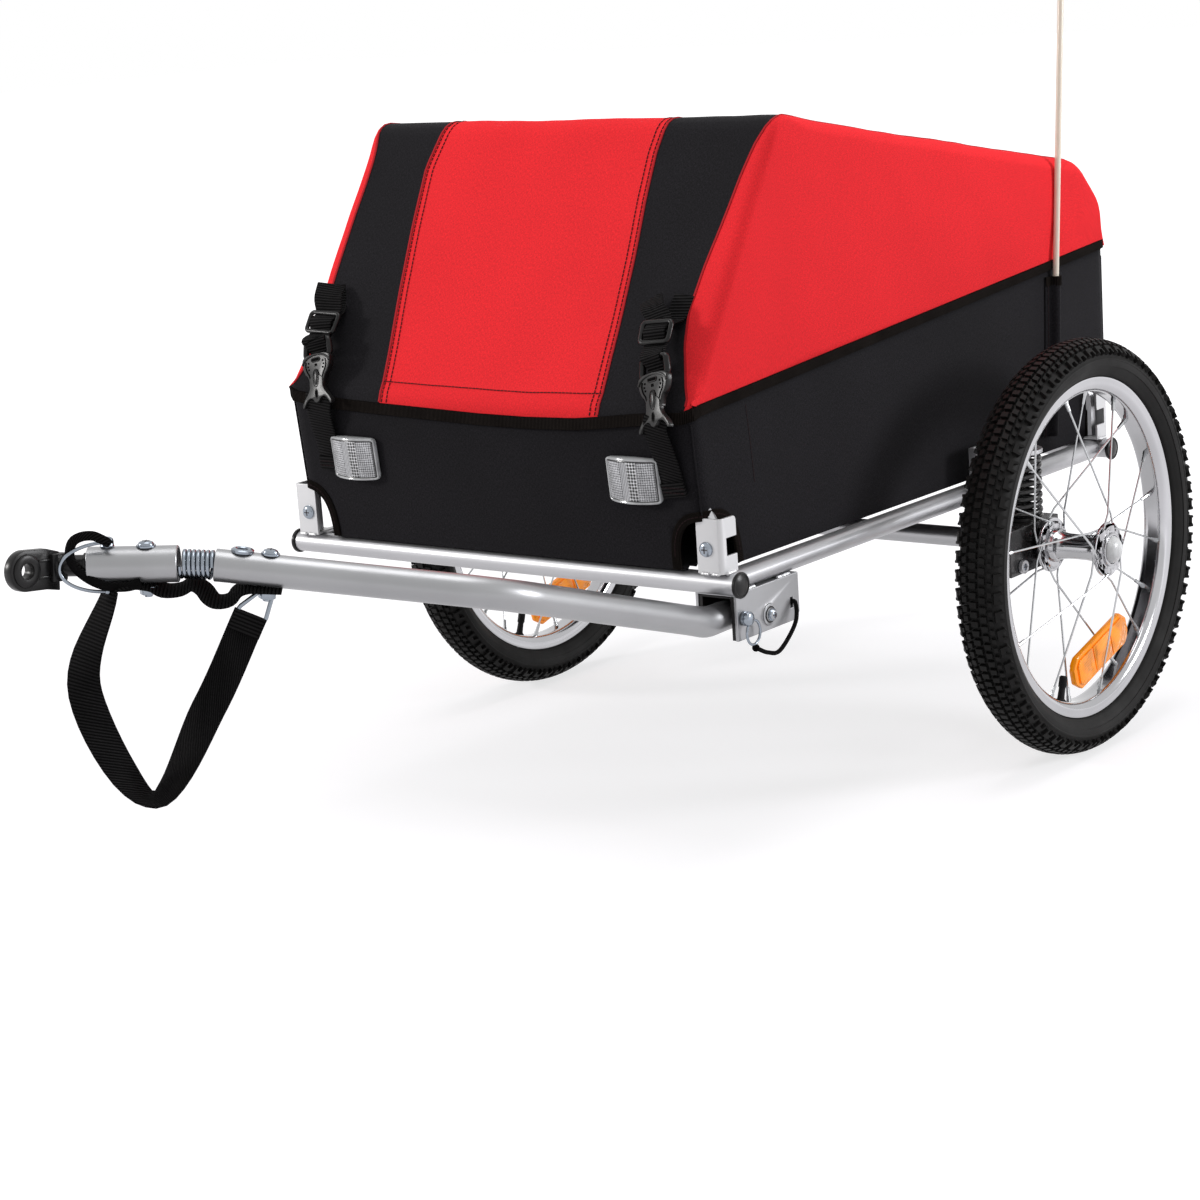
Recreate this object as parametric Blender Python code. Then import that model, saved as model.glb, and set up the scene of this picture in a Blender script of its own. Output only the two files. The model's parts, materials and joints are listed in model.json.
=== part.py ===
"""Bike cargo trailer: two spoked wheels on sprung carriers, a welded tube base with a fabric box, a
hooped cover and a bent tow arm with a spring-jointed coupler.

Metres, +Z up, wheels on z = 0, travel towards -Y, the trailer's left side at +X.
Run with: blender --background --python part.py
"""

import math

import bmesh
import bpy
import numpy as np
from mathutils import Matrix, Vector

# Clearances
SEAT = 0.0003
RUNNING = 0.0006
WELD_DISTANCE = 0.00004

# Main sizes, which the places of the other pieces follow
WHEEL_RADIUS = 0.194
BAG_HALF_WIDTH = 0.2275
FRONT_RAIL_Y = -0.434
REAR_RAIL_Y = 0.204
RAIL_RADIUS = 0.0095
RAIL_HEIGHT = WHEEL_RADIUS + 0.052
SIDE_RAIL_X = BAG_HALF_WIDTH + 0.006
HALF_TRACK = SIDE_RAIL_X + 0.0935
RAIL_TOP = RAIL_HEIGHT + RAIL_RADIUS
RAIL_FOOT = RAIL_HEIGHT - RAIL_RADIUS

# Wheels
TYRE_HEIGHT = 0.0355
TYRE_WIDTH = 0.045
TYRE_STEPS = 48
TREAD_DEPTH = 0.0025
RIM_RADIUS = WHEEL_RADIUS - TYRE_HEIGHT
RIM_WIDTH = 0.026
RIM_DEPTH = 0.014
HUB_FLANGE_GAP = 0.058
HUB_FLANGE_RADIUS = 0.0255
HUB_FLANGE_THICK = 0.003
HUB_BARREL_RADIUS = 0.0125
HUB_CUP_RADIUS = 0.017
HUB_CUP_DEPTH = 0.006
HUB_DOME_DEPTH = 0.013
SPOKES = 20
SPOKE_RADIUS = 0.001
SPOKE_CIRCLE = 0.0215
NIPPLE_RADIUS = 0.0019
NIPPLE_LENGTH = 0.011
NIPPLE_GAP = 0.0007
SPOKE_SWEEP = math.radians(62)
SPOKE_STAGGER = 0.003
SPOKE_FLAT = 0.020
AXLE_RADIUS = 0.006
AXLE_COLLAR_RADIUS = 0.0092
AXLE_COLLAR_DEPTH = 0.006
BEARING_BORE = AXLE_RADIUS + 0.0005
VALVE_RADIUS = 0.0032
VALVE_LENGTH = 0.026
VALVE_ANGLE = math.radians(252)
LENS_LENGTH = 0.096
LENS_WIDTH = 0.033
LENS_THICK = 0.0085
LENS_RADIUS = RIM_RADIUS - RIM_DEPTH - 0.0335
LENS_ANGLE = math.radians(-74)
LENS_EDGE = 0.0015

# Base frame
RAIL_OVERHANG = 0.0165
RAIL_HALF = SIDE_RAIL_X + RAIL_OVERHANG
RAIL_WALL = 0.0015
PLUG_HEAD = 0.002
PLUG_INSERT = 0.012

# Suspension
PLATE_THICK = 0.0035
PLATE_FRONT = -0.053
PLATE_REAR = 0.030
PLATE_TOP = RAIL_HEIGHT + 0.046
PLATE_BOTTOM = WHEEL_RADIUS - 0.026
PLATE_LIP = 0.009
PLATE_X = SIDE_RAIL_X + RAIL_RADIUS + SEAT
SPRING_Y = -0.006
SPRING_RADIUS = 0.0185
SPRING_WIRE = 0.0025
SPRING_TURNS = 8.5
SPRING_TOP = PLATE_TOP - 0.0115
SPRING_GAP_TO_PLATE = 0.0016
SPRING_X = PLATE_X + PLATE_THICK + SPRING_GAP_TO_PLATE + SPRING_RADIUS + SPRING_WIRE
SPRING_END_RISE = 2 * SPRING_WIRE + 0.0012
SEAT_THICK = 0.004
CARRIER_WALL = 0.003
CARRIER_TOP = WHEEL_RADIUS + 0.023
CARRIER_BOTTOM = WHEEL_RADIUS - 0.0205
CARRIER_FRONT = -0.060
CARRIER_REAR = PLATE_REAR
CARRIER_OUTSIDE = HALF_TRACK - HUB_FLANGE_GAP / 2 - 0.0095
CARRIER_PIVOT_Y = CARRIER_FRONT + 0.0188
CARRIER_PIVOT_Z = WHEEL_RADIUS - 0.0132
CARRIER_SWING = 0.018
PIVOT_RADIUS = 0.004

# Bag and cover
BAG_FRONT = FRONT_RAIL_Y - 0.022
BAG_FRONT_FOOT = FRONT_RAIL_Y - 0.009
BAG_REAR = REAR_RAIL_Y + 0.042
BAG_FLOOR = RAIL_TOP + 0.0007
BAG_WALL = 0.0025
FLOOR_THICK = 0.004
WALL_FRONT_TOP = BAG_FLOOR + 0.1328
WALL_REAR_TOP = BAG_FLOOR + 0.1863
COVER_WALL = 0.0025
RIDGE_Y = FRONT_RAIL_Y + 0.127
RIDGE_Z = BAG_FLOOR + 0.3653
TOP_REAR_Y = REAR_RAIL_Y - 0.034
TOP_REAR_Z = BAG_FLOOR + 0.2838
BACK_Z = BAG_FLOOR + 0.2238
CUT_MARGIN = 0.006
CUT_HEIGHT = 0.064

# Corner brackets
BRACKET_SHEET = 0.0025
BRACKET_WIDTH = 0.0256
BRACKET_DEPTH = 0.022
BRACKET_HEIGHT = 0.047
BRACKET_STAND_OFF = 0.0015
BOLT_HEAD_RADIUS = 0.0065
BOLT_HEAD_HEIGHT = 0.0045

# Side hoops and cross bars inside the cover
HOOP_RADIUS = 0.0063
HOOP_GAP = 0.0020
HOOP_FOOT_X = BAG_HALF_WIDTH
HOOP_X = BAG_HALF_WIDTH - COVER_WALL - HOOP_GAP - HOOP_RADIUS
HOOP_JOG_LOW = RAIL_TOP + 0.0405
HOOP_JOG_HIGH = RAIL_TOP + 0.0605

# Hitch bracket
CHANNEL_OUTSIDE = SIDE_RAIL_X + 0.009
CHANNEL_WIDTH = 0.0425
CHANNEL_SHEET = 0.003
CHANNEL_FRONT = FRONT_RAIL_Y + 0.006
CHANNEL_REAR = FRONT_RAIL_Y + 0.097
CHANNEL_DROP = 0.041
LINER_WALL = 0.0035
LOCK_PIN_RADIUS = 0.004
LOCK_PIN_Y = FRONT_RAIL_Y + 0.015
CORD_RADIUS = 0.0013
SLOT_Y = FRONT_RAIL_Y + 0.086
SLOT_Z = RAIL_HEIGHT - 0.0345
SLOT_HALF_HEIGHT = 0.0045

# Tow arm
ARM_RADIUS = 0.0125
ARM_PIVOT_Y = FRONT_RAIL_Y + 0.051
ARM_PIVOT_Z = RAIL_HEIGHT - 0.037
ARM_REST_Z = RAIL_HEIGHT - 0.0323
ARM_BACK_Y = FRONT_RAIL_Y + 0.062
LOCK_PIN_Z = ARM_REST_Z
ARM_INSET = 0.0123
ARM_BEND_ONE_Y = FRONT_RAIL_Y - 0.010
ARM_RUN = 0.268
ARM_SPLAY = 0.0128
ARM_CLIMB = 0.0848
ARM_CROSS = 0.1659
ARM_AHEAD = 0.1345
ARM_LIFT = 0.0380
ARM_FIRST_BEND = 0.050
ARM_SECOND_BEND = 0.075
ARM_BOLT_BACK = 0.040
SHANK_RADIUS = 0.003
NUT_RADIUS = 0.0068
NUT_HEIGHT = 0.007
ARM_BEND_ONE = Vector((SIDE_RAIL_X - ARM_INSET, ARM_BEND_ONE_Y, ARM_REST_Z))
ARM_BEND_TWO = ARM_BEND_ONE + Vector((ARM_SPLAY, -ARM_RUN, ARM_CLIMB))
ARM_FRONT = ARM_BEND_TWO + Vector((-ARM_CROSS, -ARM_AHEAD, ARM_LIFT))

# Coupler
FLEX_LENGTH = 0.0278
FLEX_RADIUS = 0.0096
FLEX_WIRE = 0.0015
FLEX_TURNS = 7.0
FLEX_HEADING = Vector((-0.789, -0.608, 0.107)).normalized()
COUPLER_HEADING = Vector((-0.7845, -0.6186, 0.0476)).normalized()
COUPLER_RADIUS = 0.014
COUPLER_LENGTH = 0.068
COUPLER_BOLT_ON = 0.024
SPIGOT_RADIUS = 0.0082
SPIGOT_SHOWN = 0.021
SPIGOT_DEPTH = 0.032
EYE_REACH = 0.036
EYE_RADIUS = 0.0155
EYE_THICK = 0.008
EYE_HOLE = 0.0058
EYE_RISE = math.radians(6)
PIN_RADIUS = 0.0032
PIN_BACK = 0.015
BAIL_WIRE = 0.0014
BAIL_REACH = 0.034
COUPLER_START = ARM_FRONT + FLEX_LENGTH * FLEX_HEADING
COUPLER_END = COUPLER_START + COUPLER_LENGTH * COUPLER_HEADING
EYE_HEADING = Vector((0.0, -math.cos(EYE_RISE), math.sin(EYE_RISE)))
EYE_NECK = COUPLER_END + SPIGOT_SHOWN * COUPLER_HEADING
EYE_CENTRE = EYE_NECK + EYE_REACH * EYE_HEADING

# Safety strap and webbing
STRAP_WIDTH = 0.026
STRAP_THICK = 0.0022
STRAP_DROP = 0.1787
STRAP_FACING = Vector((0.77, -0.62, 0.1))
TETHER_WIDTH = 0.022
TETHER_SAG = 0.022

# Front lenses and buckles
FRONT_LENS_WIDTH = 0.052
FRONT_LENS_HEIGHT = 0.037
FRONT_LENS_DROP = 0.034
LENS_RIM = 0.004
LENS_BULGE = 0.007
BUCKLE_WIDTH = 0.032
LEFT_LENS_X = BAG_HALF_WIDTH - 0.0599
RIGHT_LENS_X = BAG_HALF_WIDTH - 0.0805
LEFT_BUCKLE_X = BAG_HALF_WIDTH - 0.0310
RIGHT_BUCKLE_X = BAG_HALF_WIDTH - 0.0410
LEFT_STRAP_DRIFT = 0.0115
BUCKLE_STRAP_WIDTH = 0.025

# Flag pole
POLE_RADIUS = 0.003
POLE_LENGTH = 0.70
POLE_Y = REAR_RAIL_Y - 0.0805
POLE_FOOT_RISE = 0.022
POLE_LEAN = math.radians(5.7)
SLEEVE_WALL = 0.0016
SLEEVE_SOLE = 0.003
SLEEVE_LENGTH = 0.155

AXLE = Vector((0.0, 0.0, WHEEL_RADIUS))


# Materials
def material(name, colour, roughness, metallic=0.0):
    made = bpy.data.materials.new(name)
    made.use_nodes = True
    shader = made.node_tree.nodes["Principled BSDF"]
    shader.inputs["Base Color"].default_value = (*colour, 1.0)
    shader.inputs["Roughness"].default_value = roughness
    shader.inputs["Metallic"].default_value = metallic
    return made


def make_materials():
    return {
        "silver": material("silver_powder_coat", (0.52, 0.52, 0.53), 0.38, 0.6),
        "arm": material("warm_silver_powder_coat", (0.42, 0.40, 0.41), 0.45, 0.4),
        "chrome": material("chrome", (0.75, 0.75, 0.76), 0.12, 1.0),
        "zinc": material("zinc_plate", (0.62, 0.66, 0.70), 0.25, 1.0),
        "black_steel": material("black_painted_steel", (0.012, 0.012, 0.013), 0.35),
        "black_plastic": material("black_plastic", (0.018, 0.018, 0.02), 0.45),
        "tyre": material("tyre_rubber", (0.014, 0.014, 0.014), 0.75),
        "black_fabric": material("black_fabric", (0.018, 0.017, 0.020), 0.9),
        "red_fabric": material("red_fabric", (0.85, 0.028, 0.036), 0.8),
        "webbing": material("black_webbing", (0.012, 0.012, 0.012), 0.85),
        "amber": material("amber_lens", (0.95, 0.27, 0.01), 0.15),
        "clear": material("clear_lens", (0.70, 0.72, 0.74), 0.12),
        "pole": material("cream_fibreglass", (0.85, 0.80, 0.68), 0.4),
    }


# Object and mesh helpers
def clear_scene():
    for thing in list(bpy.data.objects):
        bpy.data.objects.remove(thing, do_unlink=True)


def add_object(name, data, mat=None):
    thing = bpy.data.objects.new(name, data)
    bpy.context.scene.collection.objects.link(thing)
    if mat is not None:
        data.materials.append(mat)
    return thing


def mesh_object(name, bm, mat=None, smooth=True):
    bmesh.ops.recalc_face_normals(bm, faces=bm.faces)
    data = bpy.data.meshes.new(name)
    bm.to_mesh(data)
    bm.free()
    if smooth:
        data.shade_smooth()
        data.set_sharp_from_angle(angle=math.radians(35))
    return add_object(name, data, mat)


def helper(thing):
    """Marks an object as a cutter or a joined-in shape, which isn't a piece by itself."""
    thing.hide_render = True
    thing.display_type = "WIRE"
    return thing


def boolean(target, other, operation, overlaps_itself=False):
    step = target.modifiers.new(operation.title(), "BOOLEAN")
    step.operation = operation
    step.solver = "EXACT"
    step.use_self = overlaps_itself
    step.object = helper(other)
    return target


def cut(target, *cutters):
    for cutter in cutters:
        boolean(target, cutter, "DIFFERENCE")
    return target


def join(target, *others):
    for other in others:
        boolean(target, other, "UNION")
    return target


def weld(target):
    """Merges the corners that a union of many crossing rods leaves a few hundredths of a mm apart."""
    step = target.modifiers.new("Weld", "WELD")
    step.merge_threshold = WELD_DISTANCE
    return target


def facing(direction, roll_to=Vector((0, 0, 1))):
    """A turn that carries +Z to a direction, with +Y as near to roll_to as it can be."""
    z = Vector(direction).normalized()
    x = Vector(roll_to).cross(z)
    if x.length < 1e-6:
        x = Vector((0, 1, 0)).cross(z)
    x.normalize()
    return Matrix((x, z.cross(x), z)).transposed()


def cylinder_mesh(bm, start, end, radius, sides, radius_end=None):
    start, end = Vector(start), Vector(end)
    span = end - start
    place = Matrix.Translation((start + end) / 2) @ facing(span).to_4x4()
    bmesh.ops.create_cone(
        bm,
        cap_ends=True,
        segments=sides,
        radius1=radius,
        radius2=radius if radius_end is None else radius_end,
        depth=span.length,
        matrix=place,
    )
    return bm


def cylinder(name, start, end, radius, sides=24, mat=None, radius_end=None):
    bm = cylinder_mesh(bmesh.new(), start, end, radius, sides, radius_end)
    return mesh_object(name, bm, mat)


def box(name, low, high, mat=None):
    low, high = Vector(low), Vector(high)
    bm = bmesh.new()
    size = high - low
    place = Matrix.Translation((low + high) / 2) @ Matrix.Diagonal((*size, 1))
    bmesh.ops.create_cube(bm, size=1.0, matrix=place)
    return mesh_object(name, bm, mat, smooth=False)


def lathe(name, profile, origin, axis, steps, mat=None):
    """Spins (distance along the axis, radius) points; a radius of 0 closes the end on the axis."""
    turn = facing(axis)
    origin, axis = Vector(origin), Vector(axis).normalized()
    out = turn @ Vector((1, 0, 0))
    bm = bmesh.new()
    points = [bm.verts.new(origin + axis * a + out * r) for a, r in profile]
    closed = profile[0][1] > 0 or profile[-1][1] > 0
    pairs = zip(points, points[1:] + (points[:1] if closed else []))
    edges = [bm.edges.new(pair) for pair in pairs]
    bmesh.ops.spin(
        bm,
        geom=points + edges,
        cent=origin,
        axis=axis,
        angle=math.tau,
        steps=steps,
        use_merge=True,
    )
    bmesh.ops.remove_doubles(bm, verts=bm.verts, dist=1e-6)
    return mesh_object(name, bm, mat)


def prism(name, outline, vector, mat=None, smooth=False):
    """Extrudes a flat outline of 3-D points along a vector."""
    bm = bmesh.new()
    face = bm.faces.new([bm.verts.new(p) for p in outline])
    made = bmesh.ops.extrude_face_region(bm, geom=[face])
    moved = [v for v in made["geom"] if isinstance(v, bmesh.types.BMVert)]
    bmesh.ops.translate(bm, verts=moved, vec=Vector(vector))
    return mesh_object(name, bm, mat, smooth=smooth)


def tube(name, points, radius, resolution, mat=None):
    """A round tube along points, with flat caps."""
    data = bpy.data.curves.new(name, "CURVE")
    data.dimensions = "3D"
    data.bevel_depth = radius
    data.bevel_resolution = resolution
    data.use_fill_caps = True
    data.twist_mode = "MINIMUM"
    line = data.splines.new("POLY")
    line.points.add(len(points) - 1)
    for spot, point in zip(line.points, points):
        spot.co = (*point, 1.0)
    return add_object(name, data, mat)


def realised(curve):
    """The same tube as a mesh object, which a Boolean can read."""
    graph = bpy.context.evaluated_depsgraph_get()
    data = bpy.data.meshes.new_from_object(curve.evaluated_get(graph))
    name, mats = curve.name, list(curve.data.materials)
    bpy.data.objects.remove(curve, do_unlink=True)
    bm = bmesh.new()
    bm.from_mesh(data)
    bmesh.ops.remove_doubles(bm, verts=bm.verts, dist=1e-6)
    return mesh_object(name, bm, mats[0] if mats else None)


def arc_points(corner, before, after, radius, steps):
    """Points round a corner of a path, on a circle that touches both runs."""
    a, b = (before - corner).normalized(), (after - corner).normalized()
    half = a.angle(b) / 2
    reach = radius / math.tan(half)
    centre = corner + (a + b).normalized() * (radius / math.sin(half))
    first = corner + a * reach - centre
    last = corner + b * reach - centre
    turn = first.angle(last)
    axis = first.cross(last)
    return [
        centre + Matrix.Rotation(turn * i / steps, 3, axis) @ first for i in range(steps + 1)
    ]


def bent_path(corners, radii, steps=5):
    """A path through corners, each rounded by its own radius."""
    corners = [Vector(c) for c in corners]
    points = [corners[0]]
    for i, radius in enumerate(radii, start=1):
        points += arc_points(corners[i], corners[i - 1], corners[i + 1], radius, steps)
    return points + [corners[-1]]


def ribbon(name, centres, faces_to, width, thickness, mat=None):
    """A flat strap along centres; faces_to gives the way that its flat side faces at each."""
    bm = bmesh.new()
    rings = []
    count = len(centres)
    for i, centre in enumerate(centres):
        along = (centres[min(i + 1, count - 1)] - centres[max(i - 1, 0)]).normalized()
        normal = (faces_to[i] - along * faces_to[i].dot(along)).normalized()
        side = along.cross(normal)
        corners = [(-1, -1), (1, -1), (1, 1), (-1, 1)]
        ring = [
            bm.verts.new(centre + side * (width / 2 * a) + normal * (thickness / 2 * b))
            for a, b in corners
        ]
        rings.append([bm.edges.new((ring[j], ring[(j + 1) % 4])) for j in range(4)])
    for first, second in zip(rings, rings[1:]):
        bmesh.ops.bridge_loops(bm, edges=first + second)
    bmesh.ops.contextual_create(bm, geom=rings[0])
    bmesh.ops.contextual_create(bm, geom=rings[-1])
    return mesh_object(name, bm, mat)


def least_gap(points, wire, per_turn):
    """The least clear distance between one turn of a coil and any other turn."""
    spots = np.array([tuple(p) for p in points])
    apart = np.linalg.norm(spots[:, None] - spots[None, :], axis=2)
    far = np.abs(np.subtract.outer(np.arange(len(spots)), np.arange(len(spots)))) > per_turn // 2
    return float(apart[far].min() - 2 * wire)


# Wheels
def tyre(side, mat):
    """A turned carcass whose crown has square-shouldered tread lands."""
    half, crown = TYRE_WIDTH / 2, WHEEL_RADIUS
    bead = RIM_RADIUS + SEAT
    middle = (crown + bead) / 2 - 0.001
    outer = [
        (-0.0115, bead),
        (-half * 0.82, bead + 0.006),
        (-half, middle),
        (-half * 0.93, middle + 0.0085),
        (-half * 0.86, crown - TREAD_DEPTH * 2.8),
        (-half * 0.52, crown - TREAD_DEPTH * 0.6),
        (-half * 0.16, crown),
    ]
    profile = outer + [(-a, r) for a, r in reversed(outer)]
    centre = (side_x(side) * HALF_TRACK, 0, WHEEL_RADIUS)
    return lathe(f"{side}_tyre", profile, centre, (1, 0, 0), TYRE_STEPS, mat)


def side_x(side):
    return 1.0 if side == "left" else -1.0


def rim(side, mat):
    """A box-section rim with a hooked edge, and its valve."""
    centre = Vector((side_x(side) * HALF_TRACK, 0, WHEEL_RADIUS))
    half = RIM_WIDTH / 2
    section = [
        (-half, RIM_RADIUS),
        (-half, RIM_RADIUS - RIM_DEPTH * 0.62),
        (-half * 0.62, RIM_RADIUS - RIM_DEPTH),
        (half * 0.62, RIM_RADIUS - RIM_DEPTH),
        (half, RIM_RADIUS - RIM_DEPTH * 0.62),
        (half, RIM_RADIUS),
        (half - 0.0022, RIM_RADIUS),
        (half - 0.0030, RIM_RADIUS - RIM_DEPTH * 0.42),
        (-half + 0.0030, RIM_RADIUS - RIM_DEPTH * 0.42),
        (-half + 0.0022, RIM_RADIUS),
    ]
    body = lathe(f"{side}_rim", section, centre, (1, 0, 0), TYRE_STEPS, mat)
    out = Vector((0, math.cos(VALVE_ANGLE), math.sin(VALVE_ANGLE)))
    root = centre + out * (RIM_RADIUS - RIM_DEPTH * 0.7)
    tip = centre + out * (RIM_RADIUS - RIM_DEPTH - VALVE_LENGTH)
    return join(body, cylinder(f"{side}_valve", root, tip, VALVE_RADIUS, 8))


def hub(side, mat):
    """Hub shell with two drilled-looking flanges, cups and a dust cap, laced with its spokes."""
    sign = side_x(side)
    centre = Vector((sign * HALF_TRACK, 0, WHEEL_RADIUS))
    flange = HUB_FLANGE_GAP / 2
    inner_end = -flange - HUB_CUP_DEPTH
    dome = flange + HUB_DOME_DEPTH
    profile = [
        (inner_end, BEARING_BORE),
        (inner_end, HUB_CUP_RADIUS * 0.82),
        (-flange - HUB_FLANGE_THICK / 2, HUB_CUP_RADIUS),
        (-flange - HUB_FLANGE_THICK / 2, HUB_FLANGE_RADIUS),
        (-flange + HUB_FLANGE_THICK / 2, HUB_FLANGE_RADIUS),
        (-flange + HUB_FLANGE_THICK / 2, HUB_CUP_RADIUS),
        (-flange + 0.010, HUB_BARREL_RADIUS),
        (flange - 0.010, HUB_BARREL_RADIUS),
        (flange - HUB_FLANGE_THICK / 2, HUB_CUP_RADIUS),
        (flange - HUB_FLANGE_THICK / 2, HUB_FLANGE_RADIUS),
        (flange + HUB_FLANGE_THICK / 2, HUB_FLANGE_RADIUS),
        (flange + HUB_FLANGE_THICK / 2, HUB_CUP_RADIUS),
        (flange + HUB_CUP_DEPTH, HUB_CUP_RADIUS * 0.82),
        (dome - 0.003, HUB_CUP_RADIUS * 0.68),
        (dome, 0.0),
    ]
    body = lathe(f"{side}_hub", profile, centre, (sign, 0, 0), SPOKES, mat)
    bore_end = centre + Vector((sign * (flange + 0.002), 0, 0))
    bore_start = centre + Vector((sign * (inner_end - 0.004), 0, 0))
    fill_ends(body)
    body = cut(body, cylinder(f"{side}_hub_bore", bore_start, bore_end, BEARING_BORE, 16))
    return weld(boolean(body, spokes(side, centre, sign), "UNION", overlaps_itself=True))


def fill_ends(body):
    """Fills the turned shell to its axis, so that the bore is one clean cut."""
    bm = bmesh.new()
    bm.from_mesh(body.data)
    bmesh.ops.holes_fill(bm, edges=[e for e in bm.edges if e.is_boundary])
    bmesh.ops.recalc_face_normals(bm, faces=bm.faces)
    bm.to_mesh(body.data)
    bm.free()


def spokes(side, centre, sign):
    """Twenty crossed spokes, each one rod with its nipple; heads alternate on the flange's two faces."""
    bm = bmesh.new()
    rim_at = (RIM_RADIUS - RIM_DEPTH) * math.cos(math.pi / TYRE_STEPS) - NIPPLE_GAP
    for i in range(SPOKES):
        flange = 1 if i % 2 else -1
        leading = 1 if (i // 2) % 2 else -1
        at_rim = math.tau * (i + 0.5) / SPOKES
        at_hub = at_rim + leading * SPOKE_SWEEP
        lift = leading * (HUB_FLANGE_THICK / 2 + SPOKE_RADIUS * 0.5)
        head_x = sign * flange * (HUB_FLANGE_GAP / 2 + lift)
        head = centre + Vector((head_x, *ring_spot(at_hub, SPOKE_CIRCLE)))
        end_x = sign * flange * (SPOKE_STAGGER + lift * 0.5)
        end = centre + Vector((end_x, *ring_spot(at_rim, rim_at)))
        flat = Vector((head.x, end.y, end.z)) - head
        elbow = head + flat.normalized() * SPOKE_FLAT
        nipple = end - (end - elbow).normalized() * NIPPLE_LENGTH
        start = head - flat.normalized() * SPOKE_RADIUS * 2
        rod_mesh(bm, [start, elbow, nipple], SPOKE_RADIUS, 4)
        rod_mesh(bm, [nipple - (end - nipple) * 0.1, end], NIPPLE_RADIUS, 5)
    return mesh_object(f"{side}_spokes", bm)


def rod_mesh(bm, path, radius, sides):
    """Adds a closed round rod along a path."""
    loops = []
    for i, middle in enumerate(path):
        along = (path[min(i + 1, len(path) - 1)] - path[max(i - 1, 0)]).normalized()
        turn = facing(along, Vector((1, 0, 0)))
        ring = [
            bm.verts.new(middle + turn @ Vector((radius * math.cos(a), radius * math.sin(a), 0)))
            for a in (math.tau * k / sides for k in range(sides))
        ]
        loops.append([bm.edges.new((ring[k], ring[(k + 1) % sides])) for k in range(sides)])
    for first, second in zip(loops, loops[1:]):
        bmesh.ops.bridge_loops(bm, edges=first + second)
    bmesh.ops.contextual_create(bm, geom=loops[0])
    bmesh.ops.contextual_create(bm, geom=loops[-1])


def ring_spot(angle, radius):
    return radius * math.cos(angle), radius * math.sin(angle)


def spoke_lens(side, mat):
    """Amber reflector clipped on the spokes, its corners cut off and both faces sloped."""
    sign = side_x(side)
    out = Vector((0, math.cos(LENS_ANGLE), math.sin(LENS_ANGLE)))
    along = Vector((0, -math.sin(LENS_ANGLE), math.cos(LENS_ANGLE)))
    centre = Vector((sign * HALF_TRACK, 0, WHEEL_RADIUS)) + out * LENS_RADIUS
    a, b, c = LENS_LENGTH / 2, LENS_WIDTH / 2, LENS_WIDTH * 0.28
    corner = [(a - c, b), (a, b - c)]
    half = corner + [(x, -y) for x, y in reversed(corner)]
    outline = half + [(-x, -y) for x, y in half]
    start = centre - Vector((sign * LENS_THICK / 2, 0, 0))
    body = prism(
        f"{side}_wheel_reflector",
        [start + along * x + out * y for x, y in outline],
        (sign * LENS_THICK, 0, 0),
        mat,
    )
    bevel = body.modifiers.new("Edge", "BEVEL")
    bevel.width = LENS_EDGE
    bevel.segments = 1
    bevel.limit_method = "ANGLE"
    return body


# Axles, carriers and suspension
def axle(side, mat):
    """Stub axle: collar and nut inboard of the carrier, cone and spindle out to the hub's far cup."""
    sign = side_x(side)
    inside = CARRIER_OUTSIDE - CARRIER_WALL - SEAT
    hub_face = HALF_TRACK - HUB_FLANGE_GAP / 2 - HUB_CUP_DEPTH - RUNNING
    flange = HALF_TRACK + HUB_FLANGE_GAP / 2
    profile = [
        (inside - AXLE_COLLAR_DEPTH, 0.0),
        (inside - AXLE_COLLAR_DEPTH, AXLE_COLLAR_RADIUS),
        (inside, AXLE_COLLAR_RADIUS),
        (inside, AXLE_RADIUS),
        (CARRIER_OUTSIDE + SEAT, AXLE_RADIUS),
        (CARRIER_OUTSIDE + SEAT, AXLE_COLLAR_RADIUS),
        (hub_face, AXLE_COLLAR_RADIUS),
        (hub_face, AXLE_RADIUS),
        (flange, AXLE_RADIUS),
        (flange, 0.0),
    ]
    return lathe(f"{side}_axle", profile, AXLE, (sign, 0, 0), 16, mat)


def carrier(side, mat):
    """Black pressed-steel channel that holds the axle and carries the spring on its top flange."""
    sign = side_x(side)
    inside = PLATE_X + PLATE_THICK + SEAT
    outside = CARRIER_OUTSIDE
    shell = box(
        f"{side}_axle_carrier",
        (min(sign * inside, sign * outside), CARRIER_FRONT, CARRIER_BOTTOM),
        (max(sign * inside, sign * outside), CARRIER_REAR, CARRIER_TOP),
        mat,
    )
    hollow = box(
        f"{side}_carrier_hollow",
        (
            min(sign * (inside - 0.01), sign * (outside - CARRIER_WALL)),
            CARRIER_FRONT + CARRIER_WALL,
            CARRIER_BOTTOM - 0.01,
        ),
        (
            max(sign * (inside - 0.01), sign * (outside - CARRIER_WALL)),
            CARRIER_REAR - CARRIER_WALL,
            CARRIER_TOP - CARRIER_WALL,
        ),
    )
    x0, x1 = sign * (outside - 0.01), sign * (outside + 0.01)
    axle_hole = cylinder(
        f"{side}_axle_hole", (x0, 0, WHEEL_RADIUS), (x1, 0, WHEEL_RADIUS), AXLE_RADIUS + SEAT, 16
    )
    pivot = (CARRIER_PIVOT_Y, CARRIER_PIVOT_Z)
    pivot_hole = cylinder(f"{side}_pivot_hole", (x0, *pivot), (x1, *pivot), PIVOT_RADIUS + SEAT, 12)
    corner = prism(
        f"{side}_carrier_slope",
        [
            (sign * (inside - 0.01), CARRIER_REAR + 0.01, CARRIER_BOTTOM - 0.01),
            (sign * (inside - 0.01), CARRIER_REAR + 0.01, CARRIER_BOTTOM + 0.020),
            (sign * (inside - 0.01), CARRIER_REAR - 0.022, CARRIER_BOTTOM - 0.01),
        ],
        (sign * (outside - inside + 0.02), 0, 0),
    )
    return cut(shell, hollow, axle_hole, pivot_hole, corner)


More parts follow.
